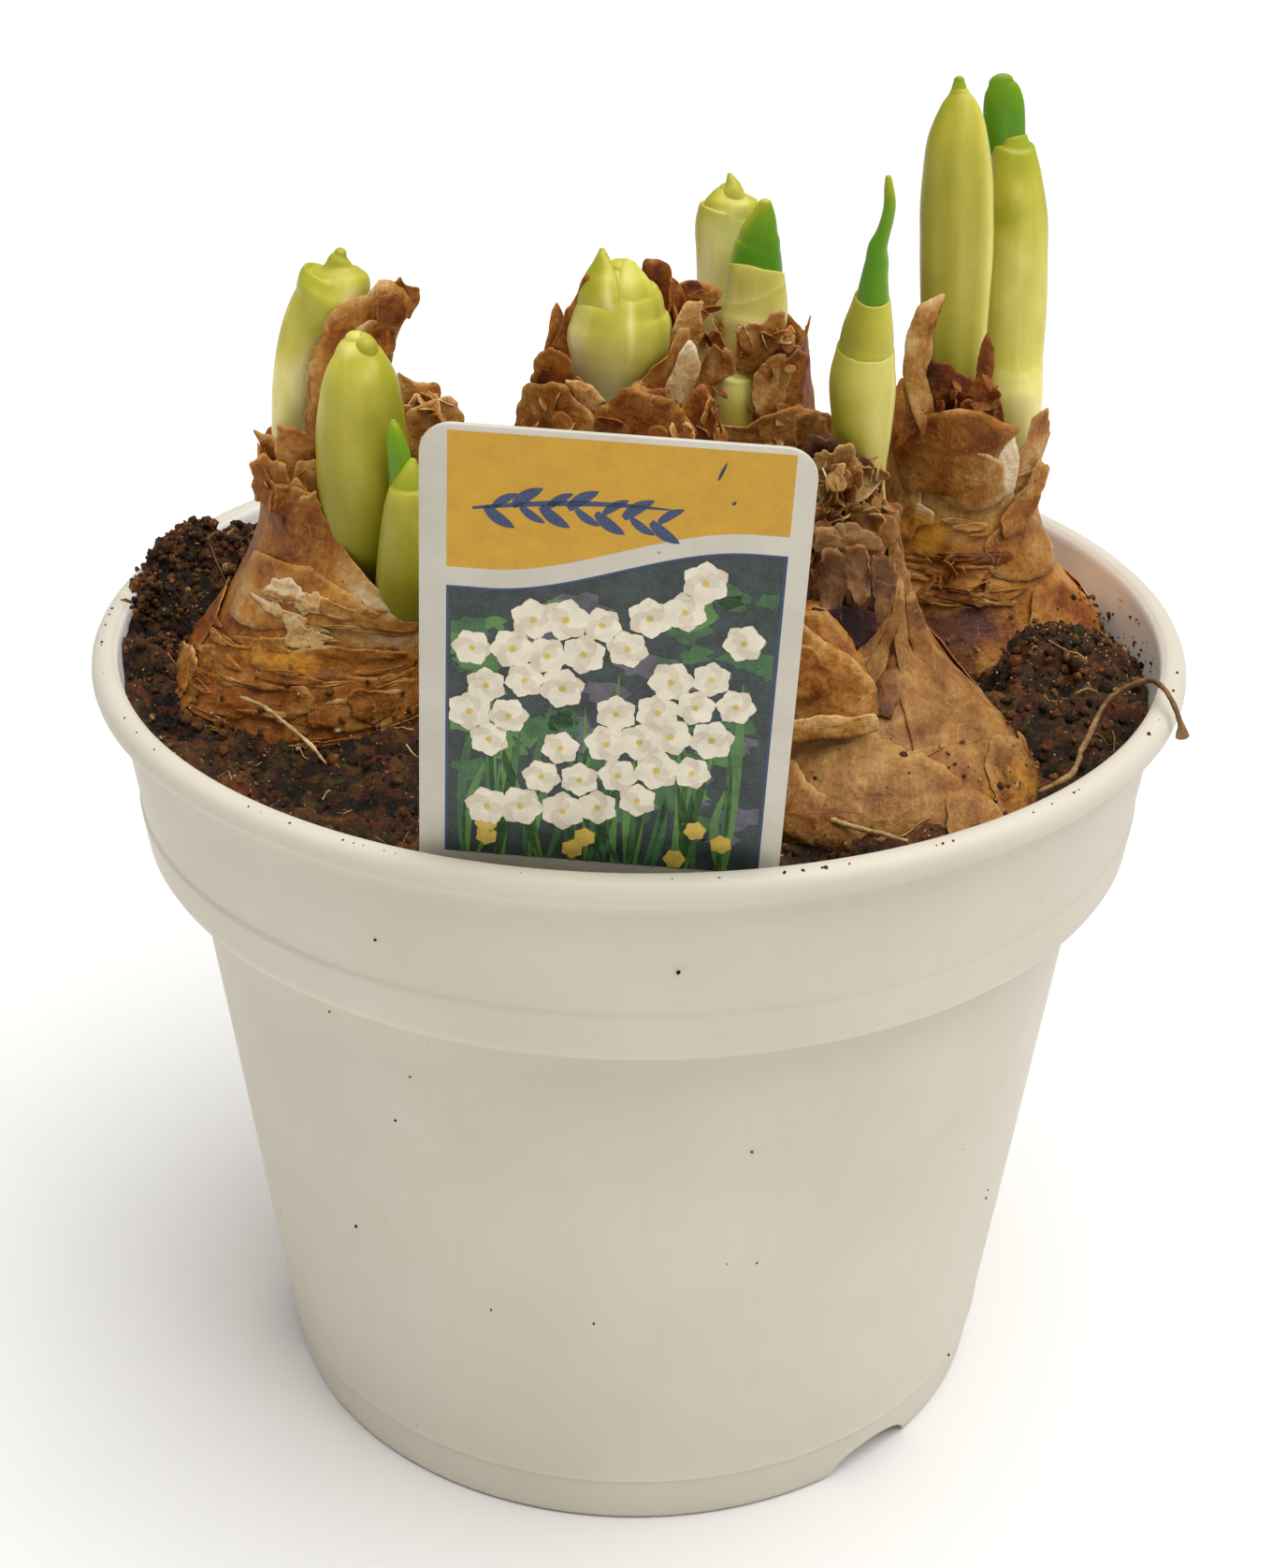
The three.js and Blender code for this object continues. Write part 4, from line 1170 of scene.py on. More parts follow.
SHOOTS = {
    "shoot_left_rear": {
        "stages": (
            (-50.5, -1, 146, 3.8), (-52.8, -1, 156, 3.2), (-53.2, -1, 161, 3), (-52.9, -1, 166.5, 3),
            (-52.4, -1, 170.8, 3), (-51.7, -1, 174.4, 3.1), (-50.3, -1, 177.9, 3.6),
            (-48.9, -1, 180.1, 4.2), (-47.3, -1, 181.8, 4.9), (-46.2, -1, 183.4, 5.3),
            (-45.5, -1, 184.8, 5.4, 4.6), (-44.9, -1, 186, 4.9, 3.9), (-44.8, -1, 187, 3.6, 3),
            (-44.8, -1, 187.8, 2.2, 1.9), (-44.7, -1, 188.8, 1.6, 1.5), (-44.5, -1, 189.5, 1.0, 1.0),
        ),
        "greens": (
            (150, 0.02, 0.1), (165, 0.08, 0.05), (172, 0.14, 0), (176, 0.36, 0), (183, 0.46, 0.04),
            (187, 0.56, 0.05), (189, 0.62, 0.1),
        ),
        "marks": ((-60, 176, 1.2, 9, 0, -0.25, 0),),
        "lumps": (
            ((-42.5, -5, 184.5), 2.2, 0.15, -0.3, 0), ((-55, -1, 178), 2.5, 0, 0.25, 0),
            ((-48.5, -4, 181.5), 3, 0.1, 0.05, 0.1),
        ),
        "blunt": 1.0,
    },
    "shoot_left_front": {
        "stages": (
            (-44, -9.5, 139, 4), (-43, -10.8, 146, 5.6), (-41.8, -11.8, 152, 6.4), (-41.3, -12, 160, 6.8),
            (-41.2, -12, 167, 6.6, 5.8), (-41.1, -12, 171.5, 6, 5.4), (-41.1, -12, 174.5, 5.3, 4.8),
            (-41.2, -12, 177.3, 4.05, 3.7), (-41.4, -12, 179, 2.9, 2.7), (-41.4, -12, 180.2, 1.6, 1.6),
        ),
        "greens": (
            (145, 0.66, 0.5), (152, 0.62, 0.52), (160, 0.52, 0.46), (168, 0.46, 0.38), (174, 0.46, 0.16),
            (178, 0.44, 0.04), (182, 0.25, 0),
        ),
        "marks": (
            (-20, 160, 3.5, 18, 0, 0.3, 0.12), (180, 165, 3, 16, 0, -0.15, -0.1),
            (-95, 164, 1.6, 9, 0, -0.1, -0.08),
        ),
        "lumps": (
            ((-38.3, -15.5, 177.2), 1.2, 0.3, -0.2, 0), ((-42.4, -14.8, 179.2), 1.2, 0.2, -0.2, 0),
            ((-39.2, -16.5, 175.6), 1.5, 0.2, -0.2, 0),
        ),
        "blunt": 0.7,
    },
    "leaf_left_front": {
        "stages": (
            (-39.6, -14.4, 176.2, 0.4), (-39.6, -13.8, 177.2, 1.3), (-39.9, -13.1, 178.3, 1.85),
            (-40.2, -12.6, 179.2, 1.9), (-40.5, -12.2, 180, 1.5), (-40.8, -12.1, 180.7, 0.9),
        ),
        "greens": ((176, 0.6, 0.35), (178, 0.55, 0.4), (181, 0.5, 0.15)),
        "blunt": 0.4,
    },
    "shoot_left_side": {
        "stages": (
            (-37, -13, 134, 3), (-36, -16.4, 140, 3.8), (-34.9, -19, 146.1, 4.08), (-34.6, -20, 150, 3.9),
            (-34.2, -20, 156.7, 3.2), (-33.8, -20, 160.8, 2.4), (-33.4, -20, 163.2, 1.5),
            (-33, -20, 164.8, 0.5),
        ),
        "greens": (
            (136, 0.6, 0.5), (150, 0.56, 0.46), (158, 0.5, 0.34), (160.5, 0.4, 0.1), (161, 0.68, 0.1),
            (165, 0.6, 0.05),
        ),
        "lips": ((160.6, 0.3, 180, 0.2, 0, 0),),
    },
    "leaf_left_side": {
        "stages": (
            (-34.5, -17.5, 150, 1.4), (-34.9, -18.4, 157, 1.8), (-34.9, -19, 162, 1.9),
            (-35.1, -19, 164.6, 1.8), (-35.4, -19, 166.6, 1.6), (-35.7, -19, 169.1, 0.95),
            (-35.8, -19, 170.3, 0.3),
        ),
        "greens": ((149, 0.95, 0), (160, 0.95, 0), (168, 0.85, 0), (171, 0.7, 0)),
    },
    "shoot_centre": {
        "stages": (
            (-5.6, 8.5, 152, 4.4), (-5.4, 8.5, 160, 5.2), (-4.8, 8.5, 165, 5.8), (-4.3, 8.5, 168.5, 6.6),
            (-3.9, 8.5, 171.9, 7.6), (-3.7, 8.5, 174.1, 8.05), (-3.6, 8.5, 176.4, 7.95),
            (-3.6, 8.5, 178.6, 7.25), (-3.4, 8.5, 180.4, 6.5), (-3.4, 8.5, 181.7, 5.85),
            (-3.4, 8.5, 183.1, 5), (-3.2, 8.5, 184.5, 3.7), (-3.1, 8.5, 185.4, 2.4),
        ),
        "greens": (
            (157, 0.16, 0.08), (166, 0.16, 0.03), (171, 0.24, 0.08), (176, 0.32, 0.1), (180, 0.38, 0.08),
            (185, 0.46, 0),
        ),
        "marks": (
            (-40, 168, 5, 6, 0, 0.1, 0.5), (-145, 171, 3, 8, 0, -0.25, -0.2),
            (-30, 177, 1.6, 7, 0, 0.22, 0), (-96, 168, 4, 5, 0, -0.22, -0.2),
            (-76, 179, 0.7, 6, 0.04, -0.3, -0.1), (-62, 177, 2.5, 6, 0, 0.08, 0.05),
        ),
        "lumps": (((-6.5, 1, 178), 3, 0, 0.05, 0.1),),
        "blunt": 0.5,
    },
    "leaf_centre_left": {
        "stages": (
            (-5.6, 4.4, 174, 2.4, 1), (-5.8, 3.7, 177, 3.0, 1.2), (-6.2, 4.0, 179, 3.5, 1.3),
            (-6.7, 4.85, 181, 3.9, 1.4), (-6.7, 5.7, 183.1, 3.5, 1.3), (-6.5, 6.7, 184.6, 2.7, 1.2),
            (-6.3, 7.4, 186, 1.8, 1.1), (-6.25, 7.9, 187.2, 1, 0.9), (-6.3, 8.2, 188.1, 0.45),
        ),
        "turn": -34,
        "greens": (
            (168, 0.3, 0.1), (178, 0.34, 0.1), (181, 0.44, 0.12), (184, 0.58, 0.1), (188, 0.6, 0),
        ),
        "marks": ((-55, 182.5, 0.7, 3.5, 0.02, -0.35, -0.1),),
        "blunt": 0.6,
    },
    "leaf_centre_right": {
        "stages": (
            (-1.2, 4.4, 174, 2.4, 1), (-1.1, 3.8, 177, 2.8, 1.3), (-1.1, 4.1, 179, 3, 1.4),
            (-1.2, 4.55, 181, 3, 1.4), (-1.3, 5.4, 183.1, 2.85, 1.3), (-1.8, 6.4, 184.6, 2.2, 1.1),
            (-2.3, 7.3, 185.9, 1.3, 0.9), (-2.6, 7.9, 186.6, 0.5),
        ),
        "turn": 28,
        "greens": ((169, 0.26, 0.1), (178, 0.28, 0.05), (182, 0.34, 0), (186, 0.3, 0)),
        "marks": ((-30, 180, 1.4, 6, 0, 0.2, 0),),
        "blunt": 0.6,
    },
    "shoot_back_left": {
        "stages": (
            (13, 42, 152, 4), (13.6, 42, 166, 4.9), (13.9, 42, 177, 5.25), (13.7, 42, 182.4, 5.3, 4.6),
            (13.8, 42, 184.8, 5.1, 4.3), (14, 42, 186, 4.75, 4), (13.9, 42, 187.2, 4, 3.4),
            (13.9, 42, 188.2, 2.9, 2.5), (14, 42, 189, 1.9, 1.7),
        ),
        "greens": ((158, 0.15, 0), (176, 0.06, 0), (183, 0.12, 0), (188, 0.34, 0)),
        "marks": ((-165, 182, 1.6, 7, 0.1, 0.4, 0), (-15, 183, 1.6, 6, 0, 0.3, 0)),
        "lumps": (((11, 39.5, 187.4), 1.6, 0.35, 0.1, 0), ((17, 40, 186.4), 1.6, 0.3, 0.1, 0)),
        "blunt": 0.5,
    },
    "leaf_back_left": {
        "stages": (
            (14.2, 41.5, 184, 1), (14.3, 40.4, 186.4, 1.3, 1), (14.4, 40.4, 187.6, 1.8, 1.2),
            (14.4, 40.7, 188.6, 1.8, 1.3), (14.3, 41.1, 189.5, 1.4, 1.2), (14, 41.5, 190.5, 0.9, 0.8),
            (13.7, 42, 191.4, 0.35),
        ),
        "greens": ((178, 0.3, 0), (186.5, 0.4, 0), (188, 0.36, 0.06), (191, 0.62, 0)),
        "blunt": 0.5,
    },
    "shoot_back_right": {
        "stages": (
            (17.2, 33.2, 150, 3.6), (17.4, 33, 160, 4.6), (17.8, 32.8, 169, 5.2),
            (18, 32.8, 172.1, 5.2, 4.7), (18, 32.8, 175.2, 4.8, 4.3), (18, 32.9, 177.9, 4.5, 4.05),
            (18.05, 33, 179.5, 4.2, 3.8), (18.1, 33, 180.6, 3.8, 3.4),
        ),
        "greens": ((158, 0.3, 0.1), (172, 0.16, 0), (174, 0.26, 0), (178, 0.42, 0.02), (181, 0.42, 0)),
        "lips": ((174.8, 1.6, 0, 0.08, -0.12, 0), (178.6, -1.4, 60, 0.1, 0, 1.2)),
        "marks": (
            (-168, 172, 1.6, 14, 0.2, 0.4, 0.12), (0, 175, 1.6, 5, 0.1, 0.1, -0.2),
            (-80, 176.6, 4, 1.4, 0, 0.04, 0.1),
        ),
        "blunt": 0.1,
    },
    "leaf_back_right": {
        "stages": (
            (18.3, 33, 168, 2.6), (18.1, 33, 175, 3.8, 3.4), (18.05, 33, 178, 4.36, 3.95),
            (18.2, 33, 181.3, 3.87, 3.4), (18.4, 33, 182.8, 3.48, 3), (18.5, 33, 184.3, 3.06, 2.6),
            (18.9, 33, 186.4, 2.28, 1.9), (19.1, 33, 187.8, 1.62, 1.3), (19.2, 33, 189, 1, 0.85),
        ),
        "greens": ((168, 0.95, 0), (178, 1.04, 0), (184, 0.96, 0), (188, 0.86, 0), (189.6, 0.66, 0)),
        "marks": ((-168, 180, 1.1, 12, 0.12, -0.32, 0.1),),
        "blunt": 0.6,
    },
    "shoot_back_stub": {
        "stages": (
            (15, 29.3, 150, 3.3), (15.1, 29, 156.8, 3.6), (15, 29, 159.5, 3.45), (15.05, 29, 161.2, 2.9),
        ),
        "greens": ((153, 0.34, 0.05), (158, 0.26, 0.02), (163, 0.2, 0)),
        "marks": ((0, 158, 1.5, 4, 0, 0.1, 0.15),),
        "blunt": 0.42,
    },
    "sheath_front_right_lower": {
        "stages": (
            (33.8, -17.3, 146, 2.4), (33.6, -17.2, 155, 2.4), (32.3, -18.2, 161, 2.9),
            (31.9, -19, 165, 3.3), (31.7, -19.8, 169.5, 3.85), (31.4, -20.3, 173.6, 4.3),
            (31.2, -20.5, 176.5, 4.5), (31.2, -20.5, 178.6, 4.4), (31.35, -20.5, 181, 4.05),
            (31.4, -20.5, 183, 3.75), (31.5, -20.5, 185, 3),
        ),
        "greens": ((150, 0.3, 0.1), (163, 0.34, 0.05), (172, 0.32, 0.1), (182, 0.3, 0.1)),
        "lips": ((182.6, -1, -80, 0.22, 0, 1.3),),
        "blunt": 0.15,
        "marks": (
            (-150, 174, 2.4, 12, 0, 0.2, 0.4), (-70, 168, 1.4, 12, 0, -0.12, -0.08),
            (0, 172, 1.2, 10, 0, 0.2, 0.2),
        ),
    },
    "sheath_front_right_upper": {
        "stages": (
            (31.3, -20.5, 174, 3.2), (31.4, -20.5, 181, 3.8), (31.5, -20.5, 183, 3.65),
            (31.6, -20.5, 185.1, 3.4), (31.8, -20.5, 187.5, 2.85), (31.9, -20.5, 189.6, 2.35),
            (32, -20.5, 191.5, 1.8),
        ),
        "greens": ((173, 0.45, 0.2), (184, 0.46, 0.22), (188, 0.42, 0.18), (192, 0.46, 0.1)),
        "lips": ((189.9, -0.9, -85, 0.2, 0, 1.2),),
        "blunt": 0.2,
        "marks": ((-150, 185, 2.6, 6, 0, 0.22, 0.35),),
    },
    "leaf_front_right": {
        "stages": (
            (32, -20.5, 184, 1.9), (32, -20.5, 187.5, 2.35), (32, -20.5, 189.6, 2.25),
            (32.1, -20.5, 192.4, 1.83), (32.3, -20.5, 194.5, 1.6), (32.3, -20.5, 196.6, 1.3),
            (32.9, -20.5, 198.6, 1), (33.4, -20.5, 200.7, 0.97), (33.6, -20.5, 202.7, 0.9),
            (33.4, -20.5, 204.7, 0.72), (33.2, -20.5, 206.4, 0.4),
        ),
        "greens": ((183, 0.98, 0), (198, 0.98, 0), (203, 0.85, 0), (207, 0.6, 0.05)),
        "marks": ((-20, 194, 0.7, 9, 0, -0.12, 0),),
        "blunt": 0.6,
    },
    "shoot_right_left": {
        "stages": (
            (50.5, 17, 140, 4.4), (50, 17.5, 155, 4.7), (49.2, 17.5, 164, 4.8), (48.9, 17.5, 170, 4.9, 4),
            (48.5, 18, 178, 5.4, 4.2), (48.1, 18, 187, 5.7, 4.4), (47.6, 18, 195.5, 5.5, 4.2),
            (47.3, 18, 201.6, 4.85, 3.6), (47.25, 18.5, 205.4, 3.9, 3), (47.15, 18.8, 208, 2.7, 2.1),
            (47.05, 19, 209.6, 1.5, 1.3),
        ),
        "greens": (
            (145, 0.5, 0.5), (166, 0.5, 0.45), (176, 0.42, 0.32), (190, 0.4, 0.3), (204, 0.42, 0.26),
            (211, 0.5, 0.15),
        ),
        "marks": (
            (-55, 188, 1.2, 30, 0, 0.03, 0.06), (-110, 188, 1.2, 30, 0, 0.05, 0.06),
            (-82, 190, 1.4, 26, 0, -0.05, -0.04), (-20, 180, 1.5, 30, 0, -0.2, -0.25),
            (-165, 200, 1.4, 20, 0, 0.2, 0),
        ),
        "blunt": 0.6,
    },
    "leaf_right_left": {
        "stages": (
            (47.2, 18.9, 202, 1.6), (47.1, 19, 207, 1.6, 1.4), (47, 19, 209.8, 1.25, 1.1),
            (46.9, 19.1, 211.4, 0.8, 0.7),
        ),
        "greens": ((202, 0.6, 0), (210, 0.7, 0), (212, 0.9, 0)),
        "blunt": 0.7,
    },
    "shoot_right_right": {
        "stages": (
            (60.9, 18, 140, 2.2), (60.8, 18.5, 150, 2.6), (60.3, 19.5, 156, 3.1), (59.6, 21, 162, 4),
            (59, 23, 168, 4.7, 3.8), (58.8, 24, 174.8, 5.1, 3.9), (58.4, 24.6, 182.3, 5.1, 3.8),
            (58, 25.2, 189.8, 4.8, 3.6), (57.4, 25.5, 195, 4.2, 3.3), (56.8, 25.8, 199, 3.5, 2.9),
            (56.4, 26, 201.5, 2.9, 2.5),
        ),
        "greens": (
            (145, 0.1, 0), (163, 0.12, 0.02), (166, 0.2, 0.04), (178, 0.18, 0.03), (186, 0.28, 0.05),
            (196, 0.4, 0.07), (201, 0.55, 0),
        ),
        "lips": (
            (166.4, 0.4, 0, 0.14, 0.1, 0), (163.8, 0.3, 0, 0.2, 0, 0), (200.7, -0.9, -70, 0.04, 0, 0.5),
        ),
        "marks": ((0, 190, 1.4, 9, 0, 0.4, 0), (0, 172, 1.0, 10, 0, 0.25, 0.1)),
        "lumps": (
            ((56.2, 22, 190), 2.2, 0.5, 0.15, 0.12), ((57.2, 21.8, 193.6), 1.8, 0.5, -0.12, 0),
            ((55, 21.8, 187), 2.2, 0.4, -0.1, 0.05), ((58.5, 20.6, 183.4), 2.4, 0.3, -0.1, 0),
        ),
    },
    "leaf_right_right": {
        "stages": (
            (56.8, 25.8, 194, 2.2, 1.6), (55.9, 25.9, 198.5, 2.6, 1.9), (55.7, 26, 200.6, 2.9, 1.8),
            (55.3, 26, 203, 3.15, 1.7), (54.9, 26, 206, 3.15, 1.5), (54.5, 26, 208.3, 2.7, 1.2),
            (54.2, 26, 209.6, 1.9, 0.9),
        ),
        "greens": ((189, 0.95, 0), (201, 1.0, 0), (206, 0.96, 0), (209, 0.9, 0), (212, 0.85, 0)),
        "blunt": 0.75,
    },
}


def angle_gap(angle, centre):
    """Difference of two angles, in radians, from -pi to pi."""
    return (angle - math.radians(centre) + math.pi) % TURN - math.pi


def ring_normals(grid):
    """Unit normals that point out of a body made of rings."""
    across = np.roll(grid, -1, axis=1) - np.roll(grid, 1, axis=1)
    along = np.gradient(grid, axis=0)
    normal = np.cross(across, along)
    return normal / np.maximum(np.linalg.norm(normal, axis=-1, keepdims=True), 1e-9)


def flow_with_poles(flow):
    """Flow for the points of a capped body, from the flow at its rings."""
    flow = flow.reshape(-1, 3)
    return np.vstack([flow, flow[0], flow[-1]])


SHOOT_FLOW_RADIUS = 4
SHOOT_RIBS = 13


def make_shoot(name, material, seed):
    """One shoot, sheath or leaf, with its lips, marks and lumps."""
    shoot = SHOOTS[name]
    is_leaf = name.startswith("leaf")
    grid, angle = rings(
        shoot["stages"],
        sides=40 if is_leaf else 52,
        count=56 if is_leaf else 80,
        turn=shoot.get("turn", 0.0),
        blunt=shoot.get("blunt", 0.35),
    )
    z = grid[..., 2]
    radius = np.linalg.norm(grid - grid.mean(axis=1, keepdims=True), axis=-1)
    away = out_of_axis(grid)
    heading = np.arctan2(away[..., 1], away[..., 0])
    heights, greens, olives = zip(*shoot["greens"])
    green = np.interp(z, heights, greens)
    olive = np.interp(z, heights, olives)
    push = 0.1 * noise(grid, 5, seed) + 0.01 * np.cos(SHOOT_RIBS * angle + 2 * noise(grid, 8, seed + 1))
    for height, tilt, centre, step, change, tuck in shoot.get("lips", ()):
        line = height + tilt * np.cos(angle_gap(heading, centre)) + 0.12 * noise(grid, 2.5, seed + 2)
        below = smooth_step(z, line + 0.14, line - 0.14)
        push = push + step * below - tuck * (1 - below)
        green = green + change * (1 - below)
    spots = []
    for place, height, wide, high, *amounts in shoot.get("marks", ()):
        gap = angle_gap(heading, place) * radius / wide
        spots.append((np.exp(-(gap**2) - ((z - height) / high) ** 2), amounts))
    for place, size, *amounts in shoot.get("lumps", ()):
        spots.append((np.exp(-((grid - place) ** 2).sum(-1) / size**2), amounts))
    for near, (lift, greener, browner) in spots:
        push = push + lift * near
        green = green + greener * near
        olive = olive + browner * near
    flow = flow_with_poles(around(SHOOT_FLOW_RADIUS, angle, z))
    piece = Piece(name + "_wax", material, "leaf" if is_leaf else "sheath", [name])
    points, faces = capped(grid + ring_normals(grid) * push[..., None])
    piece.add(points, faces, green=with_poles(green, z.shape), olive=with_poles(olive, z.shape), flow=flow)
    piece.build()


# Bulbs: the outer surface of each as level rings [x, y, z, radius], body and neck collar in one. top is
# the torn rim's height by angle, and floor the height down to which the collar is open. bulges, wrinkles,
# layers, stains, ambers and plums are (angle, height, half angle, half height, amount): the first three
# shape the surface, stains change its tone, and ambers and plums its colour. tone is the mean tone.

BULBS = {
    "left": {
        "stages": (
            (-48, -4, 80, 9), (-48, -4, 86, 14.5), (-48.6, -4, 98, 18.2), (-51, -4, 108, 22.2),
            (-51, -4, 116, 23), (-50.5, -4, 127, 20.6), (-48.5, -4, 138, 15.6), (-46.2, -4, 147, 13.2),
            (-45.5, -4, 155, 12.4), (-45.3, -4, 163, 12.2), (-45.3, -4, 175, 12.4),
        ),
        "top": (
            (180, 159), (-165, 162.5), (-155, 160), (-140, 157), (-120, 158), (-105, 157.5), (-98, 155.5),
            (-88, 152.5), (-80, 149.4), (-69, 146.1), (-56, 142.6), (-44, 140.2), (-35, 139), (-22, 146),
            (-10, 158), (10, 165), (30, 167), (60, 164), (90, 166), (120, 163), (150, 162),
        ),
        "bulges": ((-62, 143, 26, 8, 3.4), (-46, 138, 18, 7, 3.4), (-150, 121, 25, 6, 1)),
        "wrinkles": ((-90, 130, 75, 7, 0.35),),
        "stains": (
            (-118, 141, 14, 4, 0.12), (-70, 134, 25, 2.5, -0.14), (-150, 136, 12, 5, -0.1),
            (-42, 137.5, 11, 5, 0.2),
        ),
        "ambers": (
            (-104, 133.4, 26, 2.2, 0.7), (-42, 136, 14, 5, 0.55), (-70, 144, 40, 4, 0.35),
            (-150, 138, 20, 5, 0.3),
        ),
        "tone": 0.47,
        "layers": ((-110, 127, 75, 8, 0.5), (-80, 143, 60, 6, 0.3)),
        "floor": 141,
        "seed": 10,
    },
    "centre": {
        "stages": (
            (-7, 12, 78, 8), (-7, 12, 86, 16), (-7, 12, 102, 19.8), (-7, 12, 118, 19.8),
            (-7, 11, 134, 17.6), (-6.5, 10, 146, 16), (-5.6, 9.6, 154, 14.6), (-5, 9.4, 160, 12.4),
            (-4.4, 9.2, 168, 10.8), (-4, 9.2, 182, 9.8),
        ),
        "top": (
            (180, 172), (-160, 169), (-140, 167), (-120, 166), (-104, 165), (-90, 166), (-80, 168),
            (-66, 170), (-50, 167), (-34, 168), (-15, 174), (0, 178), (25, 179), (50, 174), (90, 170),
            (130, 173), (155, 178),
        ),
        "bulges": ((-90, 158, 40, 6, 1.2),),
        "wrinkles": ((-90, 150, 60, 8, 0.4),),
        "stains": ((-75, 162, 35, 5, -0.22), (-130, 170, 20, 5, -0.1)),
        "tone": 0.36,
        "floor": 152,
        "seed": 20,
    },
    "back": {
        "stages": (
            (17, 43, 80, 7), (17, 43, 88, 14), (17, 43, 102, 17.2), (17, 43, 118, 17),
            (17, 42, 134, 14.4), (16.5, 41, 148, 12.4), (16, 38.8, 157, 11.6), (16, 38.5, 163, 11.4),
            (16, 38.5, 175, 11),
        ),
        "top": (
            (180, 171), (-150, 168), (-130, 163), (-110, 157), (-90, 154), (-70, 155), (-55, 160),
            (-40, 167), (-20, 170), (0, 166), (40, 168), (80, 165), (120, 170), (150, 168),
        ),
        "bulges": (),
        "wrinkles": ((-90, 146, 60, 8, 0.4),),
        "stains": ((-90, 150, 60, 8, -0.1),),
        "tone": 0.44,
        "floor": 150,
        "seed": 30,
    },
    "front_right": {
        "stages": (
            (37, -30, 79, 8), (37, -30, 86, 15), (37.5, -31, 98, 19.6), (38, -32, 112, 22),
            (38, -31.5, 121, 20.4), (38, -30.4, 127, 17), (37.4, -28.6, 132, 13.4),
            (36.2, -26.6, 137, 10), (34.8, -23.6, 143, 7), (33.6, -20.8, 149, 5.4),
            (33.2, -18.8, 155, 4.6), (33, -18, 161, 4), (33, -18, 168, 4),
        ),
        "top": (
            (180, 158), (-150, 156), (-120, 153), (-90, 150), (-60, 150), (-30, 153), (0, 157), (60, 158),
            (120, 160),
        ),
        "bulges": ((-128, 126, 30, 8, 7.4), (-88, 134, 16, 6, 1.4), (-20, 127, 20, 6, 1.4)),
        "layers": ((-120, 126, 50, 9, 0.6),),
        "wrinkles": ((-60, 122, 60, 6, 0.3),),
        "stains": ((-30, 126, 16, 3, -0.1), (-90, 140, 30, 5, -0.12), (-70, 135, 4, 6, -0.2)),
        "ambers": ((-34, 125, 22, 4, 0.5), (-60, 141, 12, 6, 0.3)),
        "plums": ((-16, 122, 14, 3, 0.45), (-86, 139, 14, 4, 0.4)),
        "tone": 0.46,
        "floor": 144,
        "seed": 40,
    },
    "right": {
        "stages": (
            (46, 15.5, 80, 8), (46.5, 15.5, 86, 13), (46.5, 15.5, 98, 15.4), (51, 18, 106, 19.4),
            (53.2, 18.6, 115, 21), (54, 19, 124, 21), (53.5, 19.5, 131, 16.9), (52.6, 20, 137, 14.4),
            (52, 20.2, 144, 12.8), (52, 20.2, 150, 12.4), (52, 20.2, 157, 12.8), (52, 20.2, 170, 13.4),
        ),
        "top": (
            (180, 161), (-160, 160), (-140, 157), (-120, 155), (-105, 154), (-90, 154), (-75, 153),
            (-62, 151), (-52, 148), (-44, 146), (-36, 147), (-28, 151), (-12, 156), (10, 157), (40, 159),
            (80, 157), (120, 160), (150, 160),
        ),
        "bulges": ((-30, 128, 25, 5, 1.2),),
        "wrinkles": ((-98, 135.5, 30, 4.2, 1.0), (-60, 131, 34, 4, 0.3)),
        "stains": (
            (-98, 137.5, 24, 3, -0.06), (-100, 129, 34, 3.4, -0.12), (-126, 144.5, 14, 4, 0.1),
            (-30, 130, 25, 4, -0.05), (-85, 145, 45, 5, 0.1), (-91, 132.2, 5, 0.8, -0.6),
        ),
        "ambers": ((-122, 142.6, 17, 4.4, 0.85), (-78, 144.5, 26, 3, 0.45), (-46, 126, 14, 4, 0.3)),
        "plums": (
            (-112, 129, 30, 3.6, 0.75), (-88, 130.6, 14, 2.6, 0.6), (-104, 124, 26, 3, 0.45),
            (-112, 138.5, 14, 1.6, 0.4),
        ),
        "tone": 0.6,
        "floor": 141,
        "seed": 50,
    },
}


SKIN_FLOW_RADIUS = 14
LAYER_HEIGHT = 3.8
BURIED_Z = 112
SKIN_COLUMNS = 184
BURIED_ROWS = 6
BARE_ROWS = 84
INNER_ROWS = 8
# Height of the band below the rim that flares
FLARE_HEIGHT = 6


